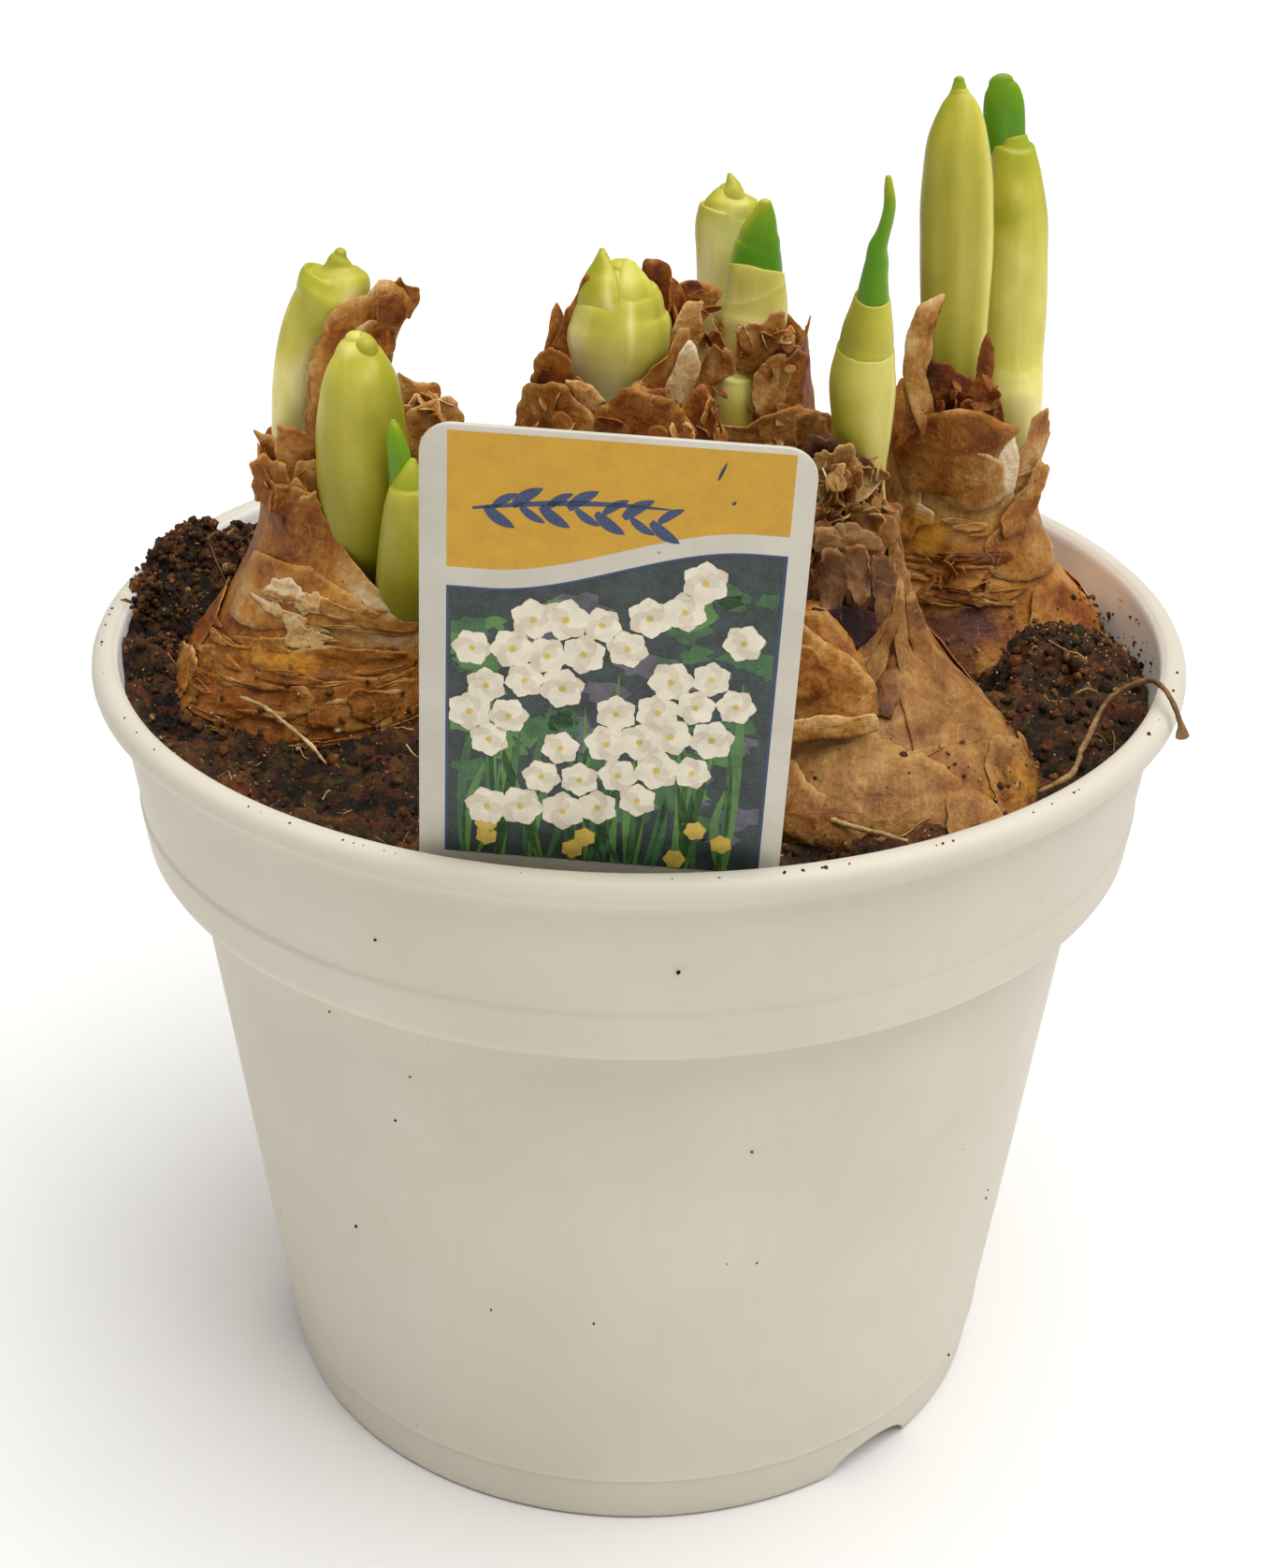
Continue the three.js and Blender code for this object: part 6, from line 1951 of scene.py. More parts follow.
# Papers that stand free round each neck, with (x, z) corners, at a depth in y
PAPERS = {
    "left": (
        paper((-58, 163.5), (-55, 163.5), (-53.5, 163), (-52.5, 159), (-53, 154), (-56, 153),
              (-57.5, 157), (-56.5, 161),
              depth=-7, slant=(-0.5, 0), tone=0.44, seed=11),
        paper((-54, 166), (-50, 165), (-48, 164), (-47.5, 159), (-50, 156), (-54, 156), (-54.5, 161),
              depth=-9.5, slant=(0.1, 0.1), tone=0.56, seed=12, crumple=0.5, ragged=0.4),
        paper((-51, 161), (-48, 161.5), (-46.5, 157), (-49, 152), (-53, 154),
              depth=-11.5, tone=0.5, seed=13),
        paper((-58.5, 160), (-56, 162), (-53, 160.5), (-52, 156), (-54, 152), (-57.5, 153),
              depth=-10.4, slant=(-0.4, 0), tone=0.5, seed=17, crumple=0.8, ragged=0.7, curl=1.4),
        paper((-54.5, 158.5), (-51, 159.5), (-48.5, 156.5), (-50, 151.5), (-53.5, 151),
              depth=-13.4, tone=0.42, seed=18, crumple=0.7, ragged=0.8, curl=1.4),
        paper((-50.5, 157), (-48, 158), (-46.5, 153), (-48.5, 148.5), (-51, 150.5),
              depth=-15.2, tone=0.56, seed=19, crumple=0.6, ragged=0.8),
        paper((-36.5, 172.5), (-34.5, 171), (-31.5, 170), (-30.5, 169), (-31, 164), (-34, 160),
              (-37, 162),
              depth=-2, slant=(0.4, 0), tone=0.58, seed=14),
        paper((-35.5, 167), (-32, 168), (-28.5, 169), (-26.5, 165), (-28, 161), (-33, 158), (-36, 161),
              depth=-4, slant=(0.5, 0), tone=0.64, seed=15, crumple=0.7),
        paper((-33, 164), (-29, 164), (-26, 162), (-27, 156), (-32, 153), (-35, 157),
              depth=-7, slant=(0.4, 0), tone=0.46, seed=16),
    ),
    "centre": (
        paper((-7.5, 165.5), (-5, 168), (-2.5, 171), (1, 169.5), (3, 169), (6, 167.5), (8.5, 163),
              (5.5, 158), (-1, 157), (-7.5, 158), (-9.5, 163),
              depth=-3.8, bow=2.2, tone=0.38, seed=21, crumple=0.8),
        paper((-19.5, 165), (-17.5, 169), (-14, 170.5), (-11.5, 170.5), (-8.5, 167.5), (-7, 165.5),
              (-7.5, 160), (-14, 158), (-19, 160),
              depth=-1.5, slant=(-0.6, 0), tone=0.46, seed=22, crumple=0.6),
        paper((-11.5, 171), (-9.5, 171), (-7.5, 170), (-5.3, 167.5), (-7, 166), (-8.5, 166.5),
              (-10.5, 168.5),
              depth=-2.6, tone=0.62, seed=23, ragged=0.3, crumple=0.3),
        paper((-16.5, 173), (-13.5, 175), (-11.5, 174.5), (-10.5, 173), (-10.3, 170), (-11.5, 167),
              (-15.5, 166.5), (-17, 169.5),
              depth=1, slant=(-0.5, 0), tone=0.42, seed=24),
        # Painted shade: a near-black sheet that stands for a shaded gap between the papers
        paper((-15, 172), (-14, 172), (-14.2, 170.2), (-15.2, 169), (-16, 169.8), (-15.6, 171),
              depth=0.1, slant=(-0.5, 0), tone=0.0, seed=25, crumple=0.2, ragged=0.2),
        paper((-14, 173), (-12.5, 176.5), (-11.5, 179), (-9.6, 182.5), (-9, 184.5), (-8.2, 185.5),
              (-8.4, 181), (-9.6, 178), (-10.6, 174.5), (-11, 171),
              depth=6.5, slant=(-0.3, 0), tone=0.42, seed=26, crumple=0.3),
        paper((-0.5, 182.5), (0, 185), (2, 185), (4, 184), (4.4, 181.5), (6.5, 179), (6, 174), (3.5, 170),
              (1, 174),
              depth=15, slant=(0.3, 0), tone=0.26, seed=27, crumple=0.6, curl=1.4),
        paper((4.5, 176.5), (6.5, 180.5), (9.5, 180.5), (8.8, 178.5), (9.2, 175.5), (7.6, 174),
              (6.5, 171), (4.6, 166.5), (2.5, 164), (0.5, 165), (3, 171),
              depth=7, slant=(0.5, 0), tone=0.6, seed=28, crumple=0.4),
        paper((5, 179.5), (6.5, 181), (8.5, 181), (9.3, 179.5), (8.6, 177), (6, 176.5),
              depth=17, tone=0.3, seed=29, crumple=0.6),
        paper((5.5, 174.5), (7, 176.5), (8, 175), (8.7, 172), (7.7, 168.5), (5.8, 165.5), (3, 165),
              (2.5, 167), (3.5, 169.5), (5, 172.5),
              depth=1.4, slant=(0.4, 0), tone=0.78, seed=30, crumple=0.25, ragged=0.2),
        paper((6.5, 167), (9.5, 169), (11.5, 166), (11.5, 159), (8, 155), (4.5, 158), (5, 164),
              depth=3, slant=(0.6, 0), tone=0.42, seed=31),
        paper((1, 171.5), (4, 174), (5.5, 178), (7, 177), (6.4, 171), (4.5, 167), (1.5, 166.5),
              (-2, 168.5),
              depth=2.4, slant=(0.35, 0), tone=0.5, seed=32, crumple=0.2),
    ),
    "back": (
        paper((15, 171), (19, 171.5), (21, 173.5), (22.8, 174), (22.5, 170), (22, 167), (20, 164),
              (17, 162.5), (14.5, 163.5), (15, 168.5),
              depth=26.5, tone=0.6, seed=41, crumple=0.8),
        paper((18, 163.5), (20, 166.5), (22.5, 166.5), (24, 163), (23, 157.5), (20, 155), (17.8, 158),
              depth=25.4, slant=(0.4, 0), tone=0.6, seed=42, crumple=0.7),
        paper((22.5, 165.5), (24.5, 167), (27.5, 166), (27, 161), (26, 156), (22, 154.5), (21.5, 160),
              depth=27, slant=(0.5, 0), tone=0.46, seed=43, crumple=0.6, curl=1.4),
        paper((20.5, 166), (23, 169.5), (24.6, 169), (24.4, 165.5), (23.5, 161), (20.5, 162),
              depth=28, tone=0.56, seed=44),
        paper((9, 156.5), (14, 156), (18, 157), (24, 159.5), (30.5, 158), (32, 152), (23, 149), (8, 149),
              depth=22.6, slant=(0.1, -0.3), tone=0.52, seed=45, crumple=0.9),
    ),
    "front_right": (
        paper((22.5, 171.5), (24.5, 172.3), (26.5, 171), (27.5, 168), (27, 163), (24.5, 160.5),
              (22, 162.5), (21.5, 167),
              depth=-17, slant=(-0.3, 0), tone=0.46, seed=51, crumple=0.8, curl=2.0, ragged=0.8),
        # Painted shade: a dark sheet behind the crumpled papers, for the shade between them
        paper((23.4, 171), (28, 170), (33.4, 166), (35.6, 159), (34, 151), (29, 148), (24.6, 151),
              (22.8, 161),
              depth=-24, tone=0.12, seed=50, crumple=0.4),
        paper((24.6, 168.5), (27.5, 170), (30, 169.4), (31.5, 166.5), (30.5, 162), (27.5, 160.5),
              (25, 163),
              depth=-25.5, tone=0.58, seed=52, crumple=0.9, curl=2.0, ragged=1.3),
        paper((29.5, 168.2), (32.5, 166.6), (34.6, 164), (35.6, 160), (34, 157.4), (31, 159), (29.5, 163),
              depth=-26.5, slant=(0.3, 0), tone=0.5, seed=57, crumple=0.9, curl=2.0, ragged=1.3),
        paper((24.4, 163.5), (27.5, 164.6), (30, 162.6), (31, 159.5), (29, 156.6), (25.5, 156.4),
              (24, 159.5),
              depth=-28.5, tone=0.54, seed=58, crumple=0.9, curl=2.0, ragged=1.3),
        paper((29.5, 162), (33, 162.4), (35.4, 159.5), (36.2, 155.8), (33.5, 154.6), (30.5, 156.4),
              (29, 159),
              depth=-29, slant=(0.3, 0), tone=0.42, seed=59, crumple=0.9, curl=2.0, ragged=1.3),
        paper((35.4, 156), (36.8, 157), (37.6, 152), (38.2, 146), (39, 140), (37.8, 137), (36.6, 143),
              (35.8, 150),
              depth=-31, slant=(0.4, 0.55), tone=0.52, seed=48, crumple=0.3, ragged=0.3),
        paper((38.4, 148), (39.6, 148.5), (41.4, 144), (43, 139), (42.6, 135), (40.4, 138), (38.6, 143),
              depth=-31.4, slant=(0.5, 0.6), tone=0.44, seed=47, crumple=0.3, ragged=0.3),
        paper((30, 158.6), (31.4, 159), (32.6, 154.8), (32.8, 150), (31.6, 147.4), (31, 152),
              depth=-35, tone=0.6, seed=60, crumple=0.4),
        paper((29.5, 141.5), (34.5, 148.5), (36.2, 154.5), (36.4, 150), (34.8, 145.5), (32.5, 141.5),
              (30.3, 139.5),
              depth=-35.5, slant=(0.3, 0.45), tone=0.42, seed=53, crumple=0.3, ragged=0.2),
        paper((31.5, 139.5), (34, 143.5), (36, 147.5), (37.2, 151), (38, 148.5), (36.8, 144.5),
              (35.2, 140.5), (33, 137.5),
              depth=-35, slant=(0.2, 0.45), tone=0.46, seed=54, crumple=0.3, ragged=0.2),
        paper((32.5, 134), (34.5, 139.5), (36.8, 141.5), (37.5, 137), (35.5, 133),
              depth=-36, slant=(0, 0.4), tone=0.36, seed=55, ragged=0.2),
        paper((35, 153), (37, 155.5), (38.6, 151), (38.4, 145), (36.6, 143), (35.6, 147),
              depth=-29, slant=(0.4, 0.3), tone=0.5, seed=56, crumple=0.4),
    ),
    "right": (
        paper((43, 171.5), (48, 170), (51, 168), (50.5, 164), (46, 163), (42.5, 165),
              depth=9.5, slant=(0, -0.2), tone=0.2, seed=71, crumple=0.5),
        paper((52, 172), (53, 175), (54.4, 172), (54.4, 167), (56, 164), (57, 160), (53, 160), (51, 165),
              depth=11.5, tone=0.32, seed=72, crumple=0.5),
        # Painted shade: a near-black sheet behind the papers, for the shade between them
        paper((43.5, 168), (47, 167), (52, 167), (54, 163), (50, 160), (44, 161),
              depth=12, tone=0.04, seed=73),
        paper((55, 161), (57.8, 160), (59.4, 155), (58.8, 150), (57, 149), (55, 153),
              depth=8.4, slant=(0.4, 0), tone=0.96, seed=74, crumple=0.2, ragged=0.15),
        paper((61, 161.5), (63.7, 163), (64.4, 159), (63.5, 153), (61.5, 148), (59, 150), (59.3, 155),
              depth=12, slant=(0.6, 0), tone=0.62, seed=75, crumple=0.3),
        paper((62.5, 154.5), (64.6, 152.5), (63.5, 148.5), (61.5, 143.5), (57.5, 142), (57, 146),
              (60.5, 150),
              depth=10.5, slant=(0.7, 0), tone=0.5, seed=76, crumple=0.4, curl=1.2),
    ),
}

# Crumpled scraps round each neck: middle, spreads, count, size, darkest and lightest tone, seed
SCRAPS = {
    "left": (
        ((-33.5, -3, 164), (3, 1.5, 3), 24, 1.4, (0.45, 0.8), 110),
        ((-53, -11.5, 157), (2.4, 1, 3), 14, 1.2, (0.35, 0.75), 120),
        ((-47, -19, 141), (4, 1, 1.6), 12, 0.8, (0.6, 0.95), 130),
    ),
    "centre": (
        ((9, 14, 172), (2.2, 3, 4), 14, 1.5, (0.25, 0.6), 210),
        ((-12, -1, 167), (3, 1.5, 2), 10, 1.2, (0.35, 0.66), 220),
        ((9, 4, 163), (2.5, 2, 3), 10, 1.5, (0.3, 0.65), 230),
        ((-13, -3.4, 162), (4, 1, 2.2), 14, 1.7, (0.15, 0.6), 240),
        ((1, -5.4, 162.5), (5, 0.8, 2.4), 16, 1.7, (0.15, 0.6), 250),
    ),
    "back": (
        ((20, 27, 167), (3, 1.5, 3), 14, 1.3, (0.45, 0.7), 310),
        ((10, 30, 164), (1.8, 2, 4), 12, 1.5, (0.25, 0.6), 320),
        ((20, 24, 155), (5, 1.5, 2), 14, 1.5, (0.4, 0.7), 330),
    ),
    "front_right": (
        ((29.5, -29, 162), (3.2, 1.4, 4.4), 58, 1.2, (0.3, 0.8), 410),
        ((26, -31, 157), (1.6, 1.2, 4), 18, 1.3, (0.3, 0.7), 420),
        ((34, -26, 156), (1.2, 1, 4), 20, 1.2, (0.3, 0.65), 430),
        ((31, -22, 166), (2, 1, 1), 10, 1, (0.5, 0.8), 440),
    ),
    "right": (
        ((50, 8.5, 166), (3.5, 1, 1.8), 12, 1.2, (0.15, 0.5), 510),
        ((50, 4.5, 138), (4, 1, 2), 12, 1.1, (0.2, 0.55), 520),
    ),
}


BACK_WRAPS = 4


def add_back_wraps(piece, skin):
    """Torn papers on the sides that the photo does not show."""
    rng = np.random.default_rng(skin.seed)
    for k in range(BACK_WRAPS):
        angle = rng.uniform(10, 190)
        height = rng.uniform(118, 148)
        outline = random_outline(rng, rng.uniform(18, 38), rng.uniform(5, 9)) + (angle, height)
        tone = skin.bulb["tone"] + rng.uniform(-0.08, 0.12)
        add_wrap(piece, skin, outline, 600 + skin.seed + k, tone=tone, lift=0.4 + 0.08 * k)


def make_bulb(name, material):
    """A bulb with its skin, and the papers, slivers and scraps that belong to it."""
    bulb = BULBS[name]
    skin = Skin(bulb)
    piece = Piece(f"bulb_{name}_skin", material, "bulb_skin", [f"bulb_{name}", f"tunic_{name}"])
    bulb_body(piece, bulb, skin)
    add_back_wraps(piece, skin)
    for k, wrap in enumerate(WRAPS[name]):
        add_wrap(piece, skin, seed=bulb["seed"] + 3 * k, **wrap)
    for sliver in SLIVERS[name]:
        add_slivers(piece, skin, *sliver)
    for sheet in PAPERS[name]:
        add_paper(piece, **sheet)
    for scraps in SCRAPS[name]:
        add_bits(piece, *scraps)
    piece.build()


# Loose scales: the node each piece stands for, and its papers
SCALES = {
    "scale_left_rear": (
        paper((-48.8, 172.1), (-47.9, 177.2), (-47, 180), (-45.6, 182.4), (-43.6, 183.2), (-41.6, 184.4),
              (-39.6, 186), (-38.4, 187.2), (-37, 187.6), (-35.6, 186.6), (-34.4, 184.6), (-33.4, 183.6),
              (-34.4, 182), (-34.8, 180.6), (-36, 179.6), (-36.5, 176), (-36.4, 168), (-38, 158),
              (-46, 157), (-49.6, 164),
              depth=-7.4, slant=(0.2, 0.1), bow=0.6, tone=0.5, seed=61, crumple=1.3, ragged=0.9),
        paper((-46.5, 170), (-44.5, 176), (-41, 181), (-38.5, 182), (-38.4, 177), (-40, 170), (-43, 165),
              depth=-9, slant=(0.2, 0.1), tone=0.62, seed=69, crumple=0.9, ragged=0.9, curl=1.4),
        paper((-39.5, 181), (-38, 185.5), (-35.5, 186.5), (-34, 184), (-35.5, 181.5), (-36.5, 177),
              (-38.5, 175),
              depth=-8.6, slant=(0.3, 0.1), tone=0.34, seed=60, crumple=0.8, ragged=0.7, curl=1.4),
        paper((-37.5, 186.5), (-35.5, 187.5), (-34.8, 185.5), (-33, 185), (-32.6, 183), (-34.5, 180.5),
              (-36.5, 183),
              depth=-3.2, slant=(0.3, 0), tone=0.48, seed=62, crumple=0.5, curl=1.6),
        paper((-49.5, 174), (-47.5, 176), (-46, 172), (-46, 164), (-48, 160), (-50.5, 164),
              depth=-6.4, slant=(0.2, 0), tone=0.72, seed=63, crumple=0.6, ragged=0.6),
    ),
    "scale_centre_right": (
        paper((4, 183), (6, 181), (7.5, 176), (9, 170), (9, 158), (5, 155), (3, 163), (3.5, 174),
              depth=13.5, slant=(0.4, 0), tone=0.34, seed=64, crumple=0.7),
    ),
    "scale_back_left": (
        paper((4.5, 177.5), (6.5, 179), (8, 178.5), (12, 177), (13, 176), (10, 174.5), (8.7, 172),
              (9.5, 168), (9, 158), (5, 156), (3.5, 166), (3.5, 173.5),
              depth=25.5, slant=(0.2, 0), tone=0.52, seed=65, crumple=0.8),
        paper((11.5, 169.5), (14.5, 167), (15.2, 163.5), (11.5, 161.5), (9.5, 153), (7, 153), (7, 160.5),
              (9.5, 165.5),
              depth=26, slant=(-0.2, 0), tone=0.56, seed=66, crumple=0.6),
    ),
    "scale_right_left": (
        paper((41.5, 180), (43, 181), (46, 182), (45.4, 179.5), (43.4, 177.5), (44.6, 173), (43.4, 169.5),
              (45.8, 162), (44, 158), (41.5, 164), (39.6, 170), (40.2, 175),
              depth=8, slant=(0.2, 0), bow=0.6, tone=0.62, seed=67, crumple=0.35, ragged=0.2),
        paper((38.5, 166), (40, 168), (42.5, 165), (43, 160), (40, 157), (38.5, 161),
              depth=8.5, tone=0.44, seed=68),
    ),
}


def make_scales(name, material):
    """A standing flake of dry skin, made of papers."""
    piece = Piece(name + "_paper", material, "tunic", [name])
    for sheet in SCALES[name]:
        add_paper(piece, **sheet)
    piece.build()


# Side pieces of the front right bulb. Each has painted shade: its skin gets darker below its middle by the
# amount given in its table.

SIDE_PIECES = {
    "offset_front_right": {
        "slot": "offset_skin",
        "stages": (
            (28, -32, 122, 5), (27, -33.5, 130, 7.5), (26.2, -34.5, 136, 8), (25.2, -35, 141, 7),
            (24.4, -35, 145, 5), (23.8, -35, 148.5, 2.5),
        ),
        "tone": 0.46,
        "shade_below": 0.0,
        "seed": 201,
        "papers": (
            paper((15, 151), (19, 151.2), (22.7, 150), (25.5, 147.8), (28, 145.8), (31, 142.8),
                  (33.5, 140.1), (34, 137), (33.6, 134.4), (28.6, 134.6), (22, 134.2), (15, 134.4),
                  depth=-44.8, slant=(0.05, 0.2), bow=3.0, tone=0.5, seed=81, crumple=0.7, ragged=0.35),
            paper((18, 136.4), (24, 137), (30, 136.6), (33.4, 137), (33.9, 134.4), (28, 133.8),
                  (20, 133.6),
                  depth=-46.6, slant=(0.2, 0.2), tone=0.66, seed=82, crumple=0.4, ragged=0.4),
            paper((20, 148), (24, 147), (27, 143.6), (26, 139.6), (21, 140.2), (18, 144),
                  depth=-45.6, slant=(0.1, 0.2), tone=0.44, seed=83, crumple=0.6, ragged=0.5),
        ),
    },
    "old_nose_front_right": {
        "slot": "old_nose",
        "stages": (
            (31, -28.5, 138, 2.5), (30.4, -29.3, 143, 4.2), (30, -30, 148, 5), (29.7, -30.6, 152.5, 4.9),
            (29.6, -30.8, 156, 3.8), (29.6, -30.6, 158.4, 2.2),
        ),
        "tone": 0.34,
        "shade_below": 0.34,
        "seed": 211,
        "papers": (
            # Painted shade: a near-black sheet that stands for the shaded hollow under the nose
            paper((24, 149.6), (28, 149.4), (33.4, 149), (33.4, 146), (30.6, 143.4), (27.4, 142.4),
                  (24, 143),
                  depth=-37.4, slant=(0, 0.35), tone=-0.1, seed=84, crumple=0.5),
            paper((25.2, 157.6), (27.2, 158.4), (28.8, 156.5), (29, 151), (27.6, 147.2), (25.8, 148.4),
                  (25, 152.5),
                  depth=-35.4, slant=(-0.2, 0.1), tone=0.42, seed=85, crumple=0.7, ragged=0.7, curl=1.5),
            paper((28, 158.8), (31.5, 158.4), (33.2, 156.6), (33.4, 152.6), (31.8, 149.6), (30, 150.4),
                  (28.6, 153.6),
                  depth=-36.2, bow=1.0, tone=0.48, seed=86, crumple=0.8, ragged=0.8, curl=1.5),
            paper((32.4, 157.4), (34.8, 156.2), (36.2, 151.8), (35.4, 147.8), (33.8, 146.2),
                  (32.8, 150.4),
                  depth=-35.2, slant=(0.4, 0.1), tone=0.38, seed=87, crumple=0.6, ragged=0.6, curl=1.3),
            paper((29.6, 153), (31, 153.6), (32, 150.4), (31.6, 146.8), (30.4, 145.4), (29.8, 149),
                  depth=-36.6, slant=(0, 0.2), tone=0.26, seed=88, crumple=0.5, ragged=0.5),
            paper((24.6, 160), (29, 161.4), (33.6, 159.6), (34.4, 157), (30, 156.2), (25, 157),
                  depth=-34.6, bow=1.2, tone=0.56, seed=89, crumple=0.9, ragged=1.0, curl=1.6),
        ),
    },
}


SIDE_FLOW_RADIUS = 8
# Heights where the painted shade on a side piece starts and where it is darkest
SIDE_SHADE_BELOW = (151, 146)


def make_side_piece(name, material):
    """The side bulb or the old nose: a skinned body with loose papers in front."""
    side = SIDE_PIECES[name]
    seed = side["seed"]
    grid, angle = rings(side["stages"], sides=80, count=64, blunt=0.2)
    z = grid[..., 2]
    flow = around(SIDE_FLOW_RADIUS, angle, z)
    push = 0.9 * noise(flow, 7, seed) + 0.6 * creases(flow * (1, 1, 0.3), 3, seed + 1)
    push = push + 0.3 * creases(flow, 2.2, seed + 2)
    # Painted shade: lighter where the skin stands out, darker in its dents, and darker below its middle
    tone = side["tone"] + 0.2 * push - side["shade_below"] * smooth_step(z, *SIDE_SHADE_BELOW)
    piece = Piece(name + "_skin", material, side["slot"], [name])
    points, faces = capped(grid + out_of_axis(grid) * push[..., None])
    piece.add(points, faces, tone=with_poles(tone, z.shape), flow=flow_with_poles(flow), amber=0, plum=0)
    for sheet in side["papers"]:
        add_paper(piece, **sheet)
    piece.build()


# Roots: the spine of each as [x, y, z, radius]

ROOTS = {
    "root_over_rim": {
        "stages": (
            (57.3, -44.3, 124.4, 0.3), (62.6, -40.3, 125.4, 0.4), (65.1, -34, 126.4, 0.45),
            (67.6, -28.5, 127.6, 0.4), (69.2, -25.8, 129.4, 0.42), (72, -24.7, 131.6, 0.42),
            (75.4, -26.6, 134, 0.42), (76.6, -30.3, 134.6, 0.42), (77.6, -33.4, 133.8, 0.5),
            (78.6, -35.3, 131.4, 0.5), (79, -36, 129.6, 0.95),
        ),
        "tone": 0.42,
        "seed": 301,
    },
    "root_front": {
        "stages": (
            (21.2, -50.1, 124.4, 0.3), (25.4, -52.1, 124.6, 0.4), (28.5, -54.5, 124.6, 0.35),
            (32.9, -56.7, 124.4, 0.35), (37.2, -59.1, 124.4, 0.25),
        ),
        "tone": 0.6,
        "seed": 306,
    },
    "root_left": {
        "stages": (
            (-59.6, -24.5, 128.6, 0.25), (-55.4, -27.6, 128.4, 0.32), (-51.4, -31.2, 127, 0.3),
            (-48, -34.6, 125.8, 0.28), (-45.4, -38, 124.6, 0.22),
        ),
        "tone": 0.72,
        "seed": 311,
    },
}


def make_root(name, material):
    """One loose, knobbly root."""
    root = ROOTS[name]
    grid, _ = rings(root["stages"], sides=14, count=120, blunt=0.6)
    push = 0.16 * noise(grid, 1.6, root["seed"]) + 0.08 * noise(grid, 0.6, root["seed"] + 1)
    piece = Piece(name + "_strand", material, "root", [name])
    points, faces = capped(grid + out_of_axis(grid) * push[..., None])
    # Painted shade: the tone is lighter on the knobs and darker between them
    piece.add(points, faces, tone=with_poles(root["tone"] + 0.5 * push, push.shape))
    piece.build()


# Tag: a is measured across it from its middle, b upwards and c out of its face

TAG_WIDTH = 47.9
# How much the photo's right edge stands in from the CAD node's
TAG_TRIM = 0.9
TAG_THICKNESS = 0.7
TAG_BEVEL = 0.14
TAG_TOP_Z = 191.8
TAG_SHOULDER_Z = 129.5
TAG_SIDE_LEVELS = (TAG_SHOULDER_Z, 150, 170)
TAG_TIP_Z = 103.5
TAG_TIP_WIDTH = 13
TAG_CORNER_RADIUS = 4
TAG_CORNER_STEPS = 12
TAG_DISTANCE = 76.5
TAG_BEARING = -93.4
TAG_LEAN = 6.5
TAG_TILT = -2.7
TAG_SHARP = 50


def tag_place(a, b, c):
    """Points of the upright tag put where the tag stands, tilted and leaning back."""
    tilt, lean, spin = (math.radians(d) for d in (TAG_TILT, TAG_LEAN, TAG_BEARING + 90))
    b = b - POT_HEIGHT
    x, z = a * math.cos(tilt) - b * math.sin(tilt), a * math.sin(tilt) + b * math.cos(tilt)
    y = -c
    y, z = y * math.cos(lean) - z * math.sin(lean), y * math.sin(lean) + z * math.cos(lean)
    y = y - TAG_DISTANCE
    z = z + POT_HEIGHT
    x, y = x * math.cos(spin) - y * math.sin(spin), x * math.sin(spin) + y * math.cos(spin)
    return np.stack([x, y, z], -1)


def plate(outline, low, high, bevel=0.0):
    """A flat closed body on the tag from an outline of (a, b) points, between two depths."""
    outline = np.asarray(outline, float)
    count = len(outline)
    levels = [(low, 0.0), (high, 0.0)]
    if bevel:
        levels = [(low, bevel), (low + bevel, 0.0), (high - bevel, 0.0), (high, bevel)]
    before = np.roll(outline, 1, axis=0)
    after = np.roll(outline, -1, axis=0)
    run = after - before
    inward = np.stack([-run[:, 1], run[:, 0]], -1)
    inward /= np.maximum(np.linalg.norm(inward, axis=1, keepdims=True), 1e-9)
    area = (outline[:, 0] * after[:, 1] - outline[:, 1] * after[:, 0]).sum()
    inward *= 1 if area > 0 else -1
    points = []
    for depth, inset in levels:
        ring = outline + inward * inset
        points.append(tag_place(ring[:, 0], ring[:, 1], depth + 0 * ring[:, 0]))
    faces = grid_faces(len(levels), count, wrap=True)
    flat = [Vector((a, b, 0)) for a, b in outline]
    top = (len(levels) - 1) * count
    for i, j, k in tessellate_polygon([flat]):
        turn = np.cross(outline[j] - outline[i], outline[k] - outline[i])
        if (turn > 0) != (area > 0):
            i, j, k = k, j, i
        faces.append((k, j, i))
        faces.append((top + i, top + j, top + k))
    return np.vstack(points), faces


def tag_outline():
    """The tag's edge: a pointed foot, straight sides and rounded top corners."""
    half, tip, corner = TAG_WIDTH / 2, TAG_TIP_WIDTH / 2, TAG_CORNER_RADIUS
    right = half - TAG_TRIM
    outline = [(-tip, TAG_TIP_Z), (tip, TAG_TIP_Z)]
    outline += [(right, level) for level in TAG_SIDE_LEVELS]
    for middle, start in ((right - corner, 0), (corner - half, math.pi / 2)):
        for angle in np.linspace(start, start + math.pi / 2, TAG_CORNER_STEPS):
            across = middle + corner * math.cos(angle)
            outline.append((across, TAG_TOP_Z - corner + corner * math.sin(angle)))
    return outline + [(-half, level) for level in reversed(TAG_SIDE_LEVELS)]


# The printed panels, in the tag's own millimetres: a from the middle, b as height

PRINT_LEFT = -20.6
PRINT_RIGHT = 20.4
HEADER_TOP = 191.0
PANEL_BOTTOM = 130.5
PANEL_EDGE = 0.35
WAVE_STEPS = 40
# The header's foot, the panel's top and its dark ground's top, from the middle of the white wave
HEADER_GAP = 1.4
PANEL_GAP = -1.2
GROUND_GAP = -1.55
# Each ink starts a little inside the card, and each layer stands a step higher
PRINT_SINK = 0.02
PRINT_STEP = 0.03
PRINT_SHARP = 40
# Short dark strokes on the header
HEADER_STROKES = (
    ((11.4, 187.0), (12.3, 189.4)),
    ((13.3, 183.9), (13.7, 184.4)),
)
STROKE_WIDTH = 0.4


